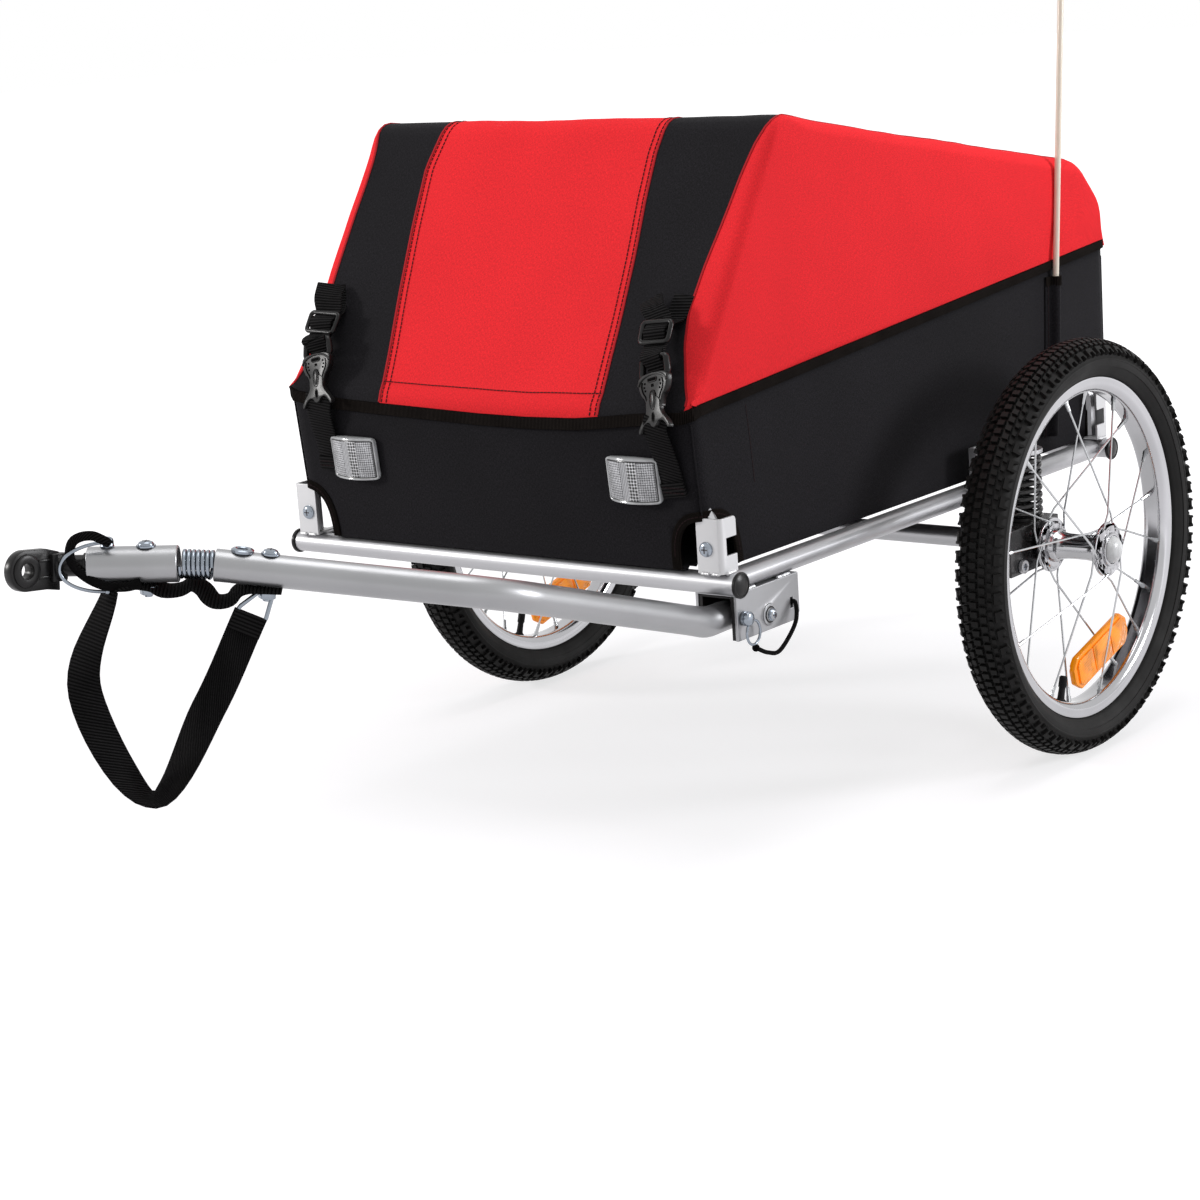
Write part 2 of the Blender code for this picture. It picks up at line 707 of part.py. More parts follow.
def spring_bracket(side, mat):
    """Wide plate on the side rail with folded edges, a welded upper seat and the carrier's pivot bolt."""
    sign = side_x(side)
    plate = folded_plate(f"{side}_spring_bracket", sign, mat)
    seat_low = SPRING_TOP + SEAT
    seat_radius = SPRING_RADIUS + SPRING_WIRE + 0.001
    at = (sign * SPRING_X, SPRING_Y)
    seat = cylinder(f"{side}_upper_seat", (*at, seat_low), (*at, seat_low + SEAT_THICK), seat_radius)
    tab_x = sorted((sign * (PLATE_X + PLATE_THICK / 2), sign * SPRING_X))
    tab = box(
        f"{side}_seat_tab",
        (tab_x[0], SPRING_Y - seat_radius * 0.7, seat_low + SEAT_THICK * 0.25),
        (tab_x[1], SPRING_Y + seat_radius * 0.7, seat_low + SEAT_THICK * 0.75),
    )
    start, end = sign * (PLATE_X + 0.001), sign * (CARRIER_OUTSIDE + 0.001)
    pivot = (CARRIER_PIVOT_Y, CARRIER_PIVOT_Z)
    pin = cylinder(f"{side}_pivot_pin", (start, *pivot), (end, *pivot), PIVOT_RADIUS, 12)
    head_start, head_end = sign * (CARRIER_OUTSIDE + SEAT), sign * (CARRIER_OUTSIDE + BOLT_HEAD_HEIGHT)
    head = cylinder(f"{side}_pivot_head", (head_start, *pivot), (head_end, *pivot), BOLT_HEAD_RADIUS, 12)
    return join(plate, seat, tab, pin, head)


def folded_plate(name, sign, mat):
    """A flat plate whose upper part has both edges folded outwards, extruded from a grid of quads."""
    across = [0.0, PLATE_THICK, PLATE_LIP]
    along = [PLATE_FRONT, PLATE_FRONT + PLATE_THICK, PLATE_REAR - PLATE_THICK, PLATE_REAR]
    lip_low = CARRIER_TOP + CARRIER_SWING
    bm = bmesh.new()
    spots = [[bm.verts.new((sign * (PLATE_X + u), y, lip_low)) for y in along] for u in across]

    def quad(i, j):
        return bm.faces.new((spots[i][j], spots[i + 1][j], spots[i + 1][j + 1], spots[i][j + 1]))

    plate = [quad(0, 0), quad(0, 1), quad(0, 2)]
    lips = [quad(1, 0), quad(1, 2)]
    up = bmesh.ops.extrude_face_region(bm, geom=plate + lips)
    move_extruded(bm, up, PLATE_TOP - lip_low)
    down = bmesh.ops.extrude_face_region(bm, geom=plate)
    move_extruded(bm, down, PLATE_BOTTOM - lip_low)
    bmesh.ops.delete(bm, geom=[face for face in plate if face.is_valid], context="FACES")
    return mesh_object(name, bm, mat, smooth=False)


def move_extruded(bm, made, rise):
    moved = [v for v in made["geom"] if isinstance(v, bmesh.types.BMVert)]
    bmesh.ops.translate(bm, verts=moved, vec=(0, 0, rise))


def suspension_spring(side, mat):
    """Black coil spring, one unbroken wire with closed ends, between the carrier and the upper seat."""
    sign = side_x(side)
    low = CARRIER_TOP + SEAT + SPRING_WIRE
    high = SPRING_TOP - SPRING_WIRE
    per_turn = 9

    def rise(t):
        # One close turn at each end, as a ground spring has, and an even pitch between them.
        close = 1.0 / SPRING_TURNS
        rest = (high - low) - 2 * SPRING_END_RISE
        if t < close:
            return low + SPRING_END_RISE * t / close
        if t > 1 - close:
            return high - SPRING_END_RISE * (1 - t) / close
        return low + SPRING_END_RISE + rest * (t - close) / (1 - 2 * close)

    points = []
    count = int(SPRING_TURNS * per_turn)
    for i in range(count + 1):
        t = i / count
        angle = math.tau * SPRING_TURNS * t
        points.append(
            Vector(
                (
                    sign * SPRING_X + SPRING_RADIUS * math.cos(angle),
                    SPRING_Y + SPRING_RADIUS * math.sin(angle),
                    rise(t),
                )
            )
        )
    gap = least_gap(points, SPRING_WIRE, per_turn)
    print(f"{side} suspension spring: least gap to itself {gap * 1000:.2f} mm")
    return tube(f"{side}_suspension_spring", points, SPRING_WIRE, 1, mat)


# Base frame
def rail(name, start, end, mat):
    return cylinder(name, start, end, RAIL_RADIUS, 20, mat)


def cross_rail(name, y, mat):
    """A rail across the trailer, open at its ends for the plugs and coped for the side rails' welds."""
    body = rail(name, (-RAIL_HALF, y, RAIL_HEIGHT), (RAIL_HALF, y, RAIL_HEIGHT), mat)
    for sign in (-1, 1):
        mouth = cylinder(
            f"{name}_mouth_{sign}",
            (sign * (RAIL_HALF - PLUG_INSERT - 0.002), y, RAIL_HEIGHT),
            (sign * (RAIL_HALF + 0.01), y, RAIL_HEIGHT),
            RAIL_RADIUS - RAIL_WALL,
            16,
        )
        cut(body, mouth)
    return body


def side_rail(side, mat):
    """A rail along the trailer whose ends are coped round the front and rear rails."""
    x = side_x(side) * SIDE_RAIL_X
    body = rail(
        f"{side}_side_rail", (x, FRONT_RAIL_Y, RAIL_HEIGHT), (x, REAR_RAIL_Y, RAIL_HEIGHT), mat
    )
    for end, y in (("front", FRONT_RAIL_Y), ("rear", REAR_RAIL_Y)):
        cope = cylinder(
            f"{side}_{end}_cope",
            (x - 0.03, y, RAIL_HEIGHT),
            (x + 0.03, y, RAIL_HEIGHT),
            RAIL_RADIUS + SEAT,
            20,
        )
        cut(body, cope)
    return body


def rail_plug(name, sign, y, mat):
    """Black end plug: a flat head as wide as the rail and a ribless shank inside it."""
    profile = [
        (RAIL_HALF - PLUG_INSERT, 0.0),
        (RAIL_HALF - PLUG_INSERT, RAIL_RADIUS - RAIL_WALL - SEAT),
        (RAIL_HALF + SEAT, RAIL_RADIUS - RAIL_WALL - SEAT),
        (RAIL_HALF + SEAT, RAIL_RADIUS),
        (RAIL_HALF + PLUG_HEAD * 0.6, RAIL_RADIUS),
        (RAIL_HALF + PLUG_HEAD, RAIL_RADIUS - 0.0015),
        (RAIL_HALF + PLUG_HEAD, 0.0),
    ]
    return lathe(name, profile, (0, y, RAIL_HEIGHT), (sign, 0, 0), 16, mat)


def axle_beam(mat):
    """Cross tube at axle height that ties the two spring brackets together."""
    reach = PLATE_X - SEAT
    return rail("axle_beam", (-reach, 0, WHEEL_RADIUS), (reach, 0, WHEEL_RADIUS), mat)


def corner_bracket(end, side, mat):
    """Folded upright welded on the rail corner: front leaf with a bolt, side leaf with a window."""
    sign = side_x(side)
    forward = -1.0 if end == "front" else 1.0
    rail_y = FRONT_RAIL_Y if end == "front" else REAR_RAIL_Y
    face_y = rail_y + forward * (RAIL_RADIUS + BRACKET_STAND_OFF)
    outer_x = SIDE_RAIL_X + RAIL_RADIUS
    low = RAIL_TOP + SEAT
    high = low + BRACKET_HEIGHT

    def block(name, x0, x1, y0, y1, z0, z1):
        xs = sorted((sign * x0, sign * x1))
        ys = sorted((y0, y1))
        return box(name, (xs[0], ys[0], z0), (xs[1], ys[1], z1))

    front = block(
        f"{end}_{side}_corner_bracket",
        outer_x - BRACKET_WIDTH,
        outer_x,
        face_y,
        face_y - forward * BRACKET_SHEET,
        low,
        high,
    )
    front.data.materials.append(mat)
    leaf = block(
        f"{end}_{side}_side_leaf",
        outer_x - BRACKET_SHEET,
        outer_x,
        face_y,
        face_y - forward * BRACKET_DEPTH,
        low,
        high,
    )
    foot = block(
        f"{end}_{side}_bracket_foot",
        outer_x - BRACKET_WIDTH,
        outer_x,
        face_y,
        face_y - forward * BRACKET_DEPTH,
        low,
        low + BRACKET_SHEET,
    )
    window = block(
        f"{end}_{side}_window",
        outer_x - BRACKET_SHEET - 0.002,
        outer_x + 0.002,
        face_y - forward * (BRACKET_SHEET + 0.004),
        face_y - forward * (BRACKET_DEPTH + 0.005),
        low + 0.016,
        low + 0.030,
    )
    bolt_x = sign * (outer_x - BRACKET_WIDTH * 0.62)
    bolt_z = low + 0.021
    shank = cylinder(
        f"{end}_{side}_bolt",
        (bolt_x, face_y - forward * 0.001, bolt_z),
        (bolt_x, face_y + forward * 0.0028, bolt_z),
        BOLT_HEAD_RADIUS,
        12,
        radius_end=BOLT_HEAD_RADIUS * 0.7,
    )
    return cut(join(front, leaf, foot, shank), window)


# Hitch bracket and tow arm
def hitch_bracket(mat):
    """Steel channel under the left rail, open below, with a sloped rear and the arm's pivot bolt."""
    top = RAIL_FOOT - SEAT
    bottom = top - CHANNEL_DROP
    x0, x1 = CHANNEL_OUTSIDE - CHANNEL_WIDTH, CHANNEL_OUTSIDE
    outline = [
        (CHANNEL_FRONT, bottom),
        (CHANNEL_REAR - 0.006, bottom),
        (CHANNEL_REAR, bottom + 0.006),
        (CHANNEL_REAR, top),
        (CHANNEL_FRONT, top),
    ]
    body = prism("hitch_bracket", [(x0, y, z) for y, z in outline], (x1 - x0, 0, 0), mat)
    hollow = box(
        "hitch_hollow",
        (x0 + CHANNEL_SHEET, CHANNEL_FRONT - 0.02, bottom - 0.02),
        (x1 - CHANNEL_SHEET, CHANNEL_REAR + 0.02, top - CHANNEL_SHEET),
    )
    slot = box(
        "lanyard_slot",
        (x1 - CHANNEL_SHEET - 0.002, SLOT_Y - CORD_RADIUS - 2 * SEAT, SLOT_Z - SLOT_HALF_HEIGHT),
        (x1 + 0.002, SLOT_Y + CORD_RADIUS + 2 * SEAT, SLOT_Z + SLOT_HALF_HEIGHT),
    )
    pin_hole = cylinder(
        "lock_pin_hole",
        (x1 - CHANNEL_SHEET - 0.004, LOCK_PIN_Y, LOCK_PIN_Z),
        (x1 + 0.004, LOCK_PIN_Y, LOCK_PIN_Z),
        LOCK_PIN_RADIUS + SEAT,
        12,
    )
    bolt = cylinder(
        "arm_pivot_shank",
        (x0 + 0.001, ARM_PIVOT_Y, ARM_PIVOT_Z),
        (x1 + 0.001, ARM_PIVOT_Y, ARM_PIVOT_Z),
        PIVOT_RADIUS,
        12,
    )
    washer = cylinder(
        "arm_pivot_washer",
        (x1 - 0.0005, ARM_PIVOT_Y, ARM_PIVOT_Z),
        (x1 + 0.002, ARM_PIVOT_Y, ARM_PIVOT_Z),
        0.0095,
        16,
    )
    head = cylinder(
        "arm_pivot_head",
        (x1 + 0.001, ARM_PIVOT_Y, ARM_PIVOT_Z),
        (x1 + 0.0065, ARM_PIVOT_Y, ARM_PIVOT_Z),
        BOLT_HEAD_RADIUS,
        12,
        radius_end=BOLT_HEAD_RADIUS * 0.6,
    )
    nut = cylinder(
        "arm_pivot_nut",
        (x0 + 0.0005, ARM_PIVOT_Y, ARM_PIVOT_Z),
        (x0 - 0.006, ARM_PIVOT_Y, ARM_PIVOT_Z),
        BOLT_HEAD_RADIUS,
        6,
    )
    return join(cut(body, hollow, slot, pin_hole), bolt, washer, head, nut)


def hitch_liner(mat):
    """Black plastic channel that lines the bracket and keeps the arm from rattling."""
    top = RAIL_FOOT - SEAT - CHANNEL_SHEET - SEAT
    bottom = RAIL_FOOT - CHANNEL_DROP
    x0 = CHANNEL_OUTSIDE - CHANNEL_WIDTH + CHANNEL_SHEET + SEAT
    x1 = CHANNEL_OUTSIDE - CHANNEL_SHEET - SEAT
    body = box("hitch_liner", (x0, CHANNEL_FRONT + 0.001, bottom), (x1, CHANNEL_REAR - 0.003, top), mat)
    hollow = box(
        "liner_hollow",
        (x0 + LINER_WALL, CHANNEL_FRONT - 0.02, bottom - 0.02),
        (x1 - LINER_WALL, CHANNEL_REAR + 0.02, top - 0.0018),
    )
    pivot = cylinder(
        "liner_pivot_hole",
        (x0 - 0.01, ARM_PIVOT_Y, ARM_PIVOT_Z),
        (x1 + 0.01, ARM_PIVOT_Y, ARM_PIVOT_Z),
        PIVOT_RADIUS + SEAT,
        12,
    )
    pin = cylinder(
        "liner_pin_hole",
        (x1 - LINER_WALL - 0.004, LOCK_PIN_Y, LOCK_PIN_Z),
        (x1 + 0.01, LOCK_PIN_Y, LOCK_PIN_Z),
        LOCK_PIN_RADIUS + SEAT,
        12,
    )
    return cut(body, hollow, pivot, pin)


def tow_arm(mat):
    """One bent tube: out of the bracket, up past the bike's wheel, then in towards its axle."""
    start = Vector((ARM_BEND_ONE.x, ARM_BACK_Y, ARM_REST_Z))
    corners = [start, ARM_BEND_ONE, ARM_BEND_TWO, ARM_FRONT]
    path = bent_path(corners, [ARM_FIRST_BEND, ARM_SECOND_BEND], steps=6)
    body = realised(tube("tow_arm", path, ARM_RADIUS, 4, mat))
    bore = cylinder(
        "arm_pivot_bore",
        (start.x - 0.03, ARM_PIVOT_Y, ARM_PIVOT_Z),
        (start.x + 0.03, ARM_PIVOT_Y, ARM_PIVOT_Z),
        PIVOT_RADIUS + SEAT,
        12,
    )
    spot, up = arm_bolt_place()
    bolt_bore = cylinder("arm_bolt_bore", spot - up * 0.03, spot + up * 0.03, SHANK_RADIUS + SEAT, 12)
    return cut(body, bore, bolt_bore)


def arm_bolt_place():
    """The middle of the arm where its front bolt crosses it, and the bolt's direction."""
    heading = (ARM_FRONT - ARM_BEND_TWO).normalized()
    across = heading.cross(Vector((0, 0, 1))).normalized()
    return ARM_FRONT - heading * ARM_BOLT_BACK, across.cross(heading).normalized()


def arm_lock_pin(mat):
    """Zinc pin that locks the arm, with its pull ring; it stops just outside the arm's wall."""
    tip = ARM_BEND_ONE.x + ARM_RADIUS + SEAT
    out = CHANNEL_OUTSIDE
    profile = [
        (tip, 0.0),
        (tip, LOCK_PIN_RADIUS - 0.001),
        (tip + 0.001, LOCK_PIN_RADIUS),
        (out + SEAT, LOCK_PIN_RADIUS),
        (out + SEAT, 0.0062),
        (out + 0.006, 0.0062),
        (out + 0.008, LOCK_PIN_RADIUS),
        (out + 0.008, 0.0),
    ]
    body = lathe("arm_lock_pin", profile, (0, LOCK_PIN_Y, LOCK_PIN_Z), (1, 0, 0), 12, mat)
    ring_centre = Vector((out + 0.005, LOCK_PIN_Y + 0.006, LOCK_PIN_Z - 0.013))
    ring = [
        ring_centre + Vector((0.0, 0.0095 * math.cos(a), 0.0105 * math.sin(a)))
        for a in (math.tau * i / 14 for i in range(15))
    ]
    wire = realised(tube("lock_pin_ring", ring[:-1] + [ring[0] + Vector((0.0006, 0, 0))], 0.0012, 1))
    return join(body, wire)


def arm_end_bolt(mat):
    """Bolt through the arm's front end that holds the flex spring and the tether."""
    spot, up = arm_bolt_place()
    top = ARM_RADIUS + SEAT
    profile = [
        (-top - NUT_HEIGHT, 0.0),
        (-top - NUT_HEIGHT, NUT_RADIUS),
        (-top, NUT_RADIUS),
        (-top, SHANK_RADIUS),
        (top, SHANK_RADIUS),
        (top, NUT_RADIUS),
        (top + BOLT_HEAD_HEIGHT, NUT_RADIUS * 0.7),
        (top + BOLT_HEAD_HEIGHT, 0.0),
    ]
    return lathe("arm_end_bolt", profile, spot, up, 12, mat)


# Coupler
def coupler_frame():
    across = COUPLER_HEADING.cross(Vector((0, 0, 1))).normalized()
    up = across.cross(COUPLER_HEADING).normalized()
    return across, up


def flex_spring(mat):
    """Zinc coil between the arm and the coupler, bent a little by the coupler's weight."""
    start = ARM_FRONT + FLEX_HEADING * (SEAT + FLEX_WIRE)
    end = COUPLER_START - FLEX_HEADING * (SEAT + FLEX_WIRE)
    across = FLEX_HEADING.cross(Vector((0, 0, 1))).normalized()
    up = across.cross(FLEX_HEADING).normalized()
    per_turn = 9
    count = int(FLEX_TURNS * per_turn)
    points = []
    for i in range(count + 1):
        t = i / count
        angle = math.tau * FLEX_TURNS * t
        centre = start.lerp(end, t)
        points.append(centre + FLEX_RADIUS * (math.cos(angle) * across + math.sin(angle) * up))
    gap = least_gap(points, FLEX_WIRE, per_turn)
    print(f"flex spring: least gap to itself {gap * 1000:.2f} mm")
    return tube("flex_spring", points, FLEX_WIRE, 1, mat)


def coupler_tube(mat):
    """Short tube over the flex spring's front end and the hitch eye's spigot."""
    across, up = coupler_frame()
    body = cylinder("coupler_tube", COUPLER_START, COUPLER_END, COUPLER_RADIUS, 24, mat)
    socket = cylinder(
        "coupler_socket",
        COUPLER_END - COUPLER_HEADING * (SPIGOT_DEPTH + 0.002),
        COUPLER_END + COUPLER_HEADING * 0.01,
        SPIGOT_RADIUS + SEAT,
        16,
    )
    pin_at = COUPLER_END - COUPLER_HEADING * PIN_BACK
    pin_bore = cylinder(
        "coupler_pin_bore", pin_at - up * 0.03, pin_at + up * 0.03, PIN_RADIUS + SEAT, 12
    )
    bolt_at = COUPLER_START + COUPLER_HEADING * COUPLER_BOLT_ON
    head = cylinder(
        "coupler_bolt_head",
        bolt_at + up * (COUPLER_RADIUS - 0.002),
        bolt_at + up * (COUPLER_RADIUS + 0.004),
        0.0075,
        12,
        radius_end=0.0045,
    )
    nut = cylinder(
        "coupler_bolt_nut",
        bolt_at - up * (COUPLER_RADIUS - 0.002),
        bolt_at - up * (COUPLER_RADIUS + NUT_HEIGHT),
        NUT_RADIUS,
        6,
    )
    return join(cut(body, socket, pin_bore), head, nut)


def hitch_eye(mat):
    """Moulded black hitch: a ringed eye for the bike's axle, webbed into a round spigot."""
    across = Vector((1, 0, 0))
    up = EYE_HEADING.cross(across).normalized()
    if up.z < 0:
        up = -up
    half = EYE_THICK / 2
    steps = 12
    start = EYE_CENTRE - across * half
    arc = [
        start
        + EYE_RADIUS * (math.cos(a) * EYE_HEADING + math.sin(a) * up)
        for a in (math.pi * (0.5 - i / steps) for i in range(steps + 1))
    ]
    back = -EYE_HEADING * (EYE_REACH - 0.004)
    outline = arc + [
        start + back - up * (EYE_RADIUS * 0.86),
        start + back + up * (EYE_RADIUS * 0.86),
    ]
    plate = prism("hitch_eye", outline, across * EYE_THICK, mat)
    ring = cylinder(
        "eye_ring",
        EYE_CENTRE - across * (half + 0.0015),
        EYE_CENTRE + across * (half + 0.0015),
        EYE_RADIUS * 0.84,
        20,
    )
    web = prism(
        "eye_web",
        [
            EYE_NECK + up * z * 0.0105 + across * x
            for x, z in ((-0.0075, -1), (0.0075, -1), (0.0075, 1), (-0.0075, 1))
        ],
        EYE_HEADING * 0.016,
    )
    spigot = cylinder(
        "eye_spigot",
        COUPLER_END - COUPLER_HEADING * SPIGOT_DEPTH,
        EYE_NECK + COUPLER_HEADING * 0.006,
        SPIGOT_RADIUS,
        16,
    )
    hole = cylinder(
        "eye_hole", EYE_CENTRE - across * 0.02, EYE_CENTRE + across * 0.02, EYE_HOLE, 20
    )
    _, pin_up = coupler_frame()
    pin_at = COUPLER_END - COUPLER_HEADING * PIN_BACK
    pin_bore = cylinder(
        "spigot_pin_bore", pin_at - pin_up * 0.03, pin_at + pin_up * 0.03, PIN_RADIUS + SEAT, 12
    )
    return cut(join(plate, ring, web, spigot), hole, pin_bore)


def hitch_pin(mat):
    """Quick-release pin down through the coupler and the spigot, with a button head."""
    _, up = coupler_frame()
    at = COUPLER_END - COUPLER_HEADING * PIN_BACK
    reach = COUPLER_RADIUS
    profile = [
        (-reach - 0.009, 0.0),
        (-reach - 0.009, PIN_RADIUS * 0.7),
        (-reach - 0.007, PIN_RADIUS),
        (reach + SEAT, PIN_RADIUS),
        (reach + SEAT, PIN_RADIUS + 0.002),
        (reach + 0.006, PIN_RADIUS + 0.002),
        (reach + 0.0075, PIN_RADIUS),
        (reach + 0.0075, 0.0),
    ]
    return lathe("hitch_pin", profile, at, up, 12, mat)


def lock_wire(mat):
    """D-shaped spring bail from the pin's head, round the near side of the spigot to its tip."""
    across, up = coupler_frame()
    at = COUPLER_END - COUPLER_HEADING * PIN_BACK
    near = across if across.x > 0 else -across
    half = COUPLER_RADIUS + 0.0048
    side = PIN_RADIUS + 0.002 + SEAT + BAIL_WIRE
    points = []
    for i in range(15):
        angle = math.pi * i / 14
        points.append(
            at
            + COUPLER_HEADING * (BAIL_REACH * math.sin(angle))
            + up * (half * math.cos(angle))
            + near * (side + 0.0085 * math.sin(angle))
        )
    return tube("hitch_pin_lock_wire", points, BAIL_WIRE, 1, mat)


# Straps and lanyard
def safety_strap(mat):
    """Webbing loop that hangs from the coupler and the arm, for the bike's frame."""
    top_left = COUPLER_END + STRAP_DROP * Vector((0.0819, 0.0360, -0.1075))
    left = COUPLER_END + STRAP_DROP * Vector((0.0231, -0.1151, -0.5188))
    bottom = COUPLER_END + STRAP_DROP * Vector((0.2324, 0.0080, -1.0))
    right = COUPLER_END + STRAP_DROP * Vector((0.3980, 0.2318, -0.6307))
    top_right = ARM_FRONT + STRAP_DROP * Vector((0.1254, 0.0532, -0.2098))
    stations = smooth_path([top_left, left, bottom, right, top_right], 22)
    faces = [STRAP_FACING] * len(stations)
    return ribbon("safety_strap", stations, faces, STRAP_WIDTH, STRAP_THICK, mat)


def spring_tether(mat):
    """Webbing under the flex spring, held by the arm's and the coupler's bolts in case it breaks."""
    _, coupler_up = coupler_frame()
    arm_spot, arm_up = arm_bolt_place()
    heading = (ARM_FRONT - ARM_BEND_TWO).normalized()
    lie = SEAT + STRAP_THICK / 2
    bolt_at = COUPLER_START + COUPLER_HEADING * COUPLER_BOLT_ON
    under_coupler = coupler_up * -(COUPLER_RADIUS + lie)
    under_arm = arm_up * -(ARM_RADIUS + lie)
    middle = (ARM_FRONT + COUPLER_START) / 2 - coupler_up * TETHER_SAG
    knots = [
        bolt_at + COUPLER_HEADING * 0.012 + under_coupler,
        COUPLER_START + COUPLER_HEADING * 0.004 + under_coupler * 1.06,
        middle,
        ARM_FRONT - heading * 0.004 + under_arm * 1.10,
        arm_spot - heading * 0.012 + under_arm,
    ]
    stations = smooth_path(knots, 20)
    body = ribbon("spring_tether", stations, [coupler_up] * 21, TETHER_WIDTH, STRAP_THICK, mat)
    reach = COUPLER_RADIUS + 0.02
    holes = [
        cylinder("tether_front_hole", bolt_at, bolt_at - coupler_up * reach, NUT_RADIUS + SEAT, 12),
        cylinder("tether_back_hole", arm_spot, arm_spot - arm_up * reach, NUT_RADIUS + SEAT, 12),
    ]
    return cut(body, *holes)


def smooth_path(knots, count):
    """Points at even parameter steps on a Catmull-Rom curve through the knots."""
    padded = [knots[0] * 2 - knots[1]] + list(knots) + [knots[-1] * 2 - knots[-2]]
    spans = len(knots) - 1
    points = []
    for i in range(count + 1):
        t = min(i / count * spans, spans - 1e-9)
        k, f = int(t), t - int(t)
        a, b, c, d = padded[k : k + 4]
        points.append(
            0.5
            * (
                2 * b
                + (c - a) * f
                + (2 * a - 5 * b + 4 * c - d) * f * f
                + (3 * b - a - 3 * c + d) * f ** 3
            )
        )
    return points


def lanyard(mat):
    """Thin cord from the bracket's slot to the lock pin's ring."""
    face, hang = CHANNEL_OUTSIDE, CHANNEL_OUTSIDE + 0.0080
    knots = [
        Vector((face - CHANNEL_SHEET, SLOT_Y, SLOT_Z)),
        Vector((face + 0.0035, SLOT_Y, SLOT_Z)),
        Vector((hang, SLOT_Y - 0.0080, SLOT_Z - 0.0155)),
        Vector((hang, SLOT_Y - 0.0320, SLOT_Z - 0.0335)),
        Vector((hang, LOCK_PIN_Y + 0.0210, LOCK_PIN_Z - 0.0337)),
        Vector((face + 0.0050, LOCK_PIN_Y + 0.0080, LOCK_PIN_Z - 0.0269)),
    ]
    return tube("lock_pin_lanyard", smooth_path(knots, 18), CORD_RADIUS, 2, mat)


# Hoops, bag and cover
def hoop_profile():
    """The hoop's corners in the YZ plane, inside the cover's side outline."""
    inset = HOOP_RADIUS + COVER_WALL + HOOP_GAP
    behind_leaf = RAIL_RADIUS + BRACKET_STAND_OFF - BRACKET_SHEET - SEAT - HOOP_RADIUS
    front, rear = FRONT_RAIL_Y - behind_leaf, REAR_RAIL_Y + behind_leaf
    low = RAIL_TOP + BRACKET_SHEET + 2 * SEAT
    return [
        (front, low),
        (front, WALL_FRONT_TOP - 0.006),
        (RIDGE_Y + inset * 0.55, RIDGE_Z - inset * 1.02),
        (TOP_REAR_Y - 0.004, TOP_REAR_Z - inset * 0.95),
        (rear, BACK_Z - 0.012),
        (rear, low),
    ]


def side_hoop(side, mat):
    """One bent tube from corner bracket to corner bracket, jogged inwards above each bracket."""
    sign = side_x(side)
    profile = hoop_profile()
    front, rear = profile[0], profile[-1]

    def at(x, spot):
        return (sign * x, *spot)

    corners = [at(HOOP_FOOT_X, front), at(HOOP_FOOT_X, (front[0], HOOP_JOG_LOW))]
    corners.append(at(HOOP_X, (front[0], HOOP_JOG_HIGH)))
    corners += [at(HOOP_X, spot) for spot in profile[1:-1]]
    corners.append(at(HOOP_X, (rear[0], HOOP_JOG_HIGH)))
    corners += [at(HOOP_FOOT_X, (rear[0], HOOP_JOG_LOW)), at(HOOP_FOOT_X, rear)]
    jog = HOOP_RADIUS * 2
    path = bent_path(corners, [jog, jog, 0.045, 0.030, 0.060, 0.040, jog, jog], steps=3)
    return tube(f"{side}_side_hoop", path, HOOP_RADIUS, 2, mat)


def cross_bar(name, y, z, mat):
    reach = HOOP_X - HOOP_RADIUS - SEAT
    return cylinder(name, (-reach, y, z), (reach, y, z), HOOP_RADIUS * 0.85, 12, mat)


def wall_top(y):
    """Height of the bag's side wall, which rises towards the rear."""
    t = (y - BAG_FRONT) / (BAG_REAR - BAG_FRONT)
    return WALL_FRONT_TOP + (WALL_REAR_TOP - WALL_FRONT_TOP) * t


def front_wall(x, below, out):
    """A point a distance below the front wall's top edge and out from its leaning face."""
    top = Vector((x, BAG_FRONT, WALL_FRONT_TOP))
    down = Vector((0, BAG_FRONT_FOOT - BAG_FRONT, BAG_FLOOR - WALL_FRONT_TOP)).normalized()
    return top + down * below + Vector((0, down.z, -down.y)) * out


def bag_side(side, mat):
    sign = side_x(side)
    x = sign * BAG_HALF_WIDTH
    outline = [
        (x, BAG_FRONT_FOOT, BAG_FLOOR),
        (x, BAG_REAR, BAG_FLOOR),
        (x, BAG_REAR, wall_top(BAG_REAR) - SEAT),
        (x, BAG_FRONT, wall_top(BAG_FRONT) - SEAT),
    ]
    body = prism(f"bag_{side}_panel", outline, (-sign * BAG_WALL, 0, 0), mat)
    return cut(body, *corner_cuts(f"bag_{side}", [side]))


def corner_cuts(prefix, sides):
    """Boxes that clear the corner brackets out of the bag's walls."""
    made = []
    for end, rail_y, forward in (("front", FRONT_RAIL_Y, -1), ("rear", REAR_RAIL_Y, 1)):
        for side in sides:
            sign = side_x(side)
            x0 = sign * (SIDE_RAIL_X + RAIL_RADIUS - BRACKET_WIDTH - CUT_MARGIN)
            x1 = sign * (SIDE_RAIL_X + RAIL_RADIUS + 0.05)
            y0 = rail_y + forward * 0.09
            y1 = rail_y - forward * (BRACKET_DEPTH - RAIL_RADIUS + CUT_MARGIN)
            made.append(
                box(
                    f"{prefix}_{end}_{side}_clear",
                    (min(x0, x1), min(y0, y1), BAG_FLOOR - 0.02),
                    (max(x0, x1), max(y0, y1), BAG_FLOOR + CUT_HEIGHT),
                )
            )
    return made


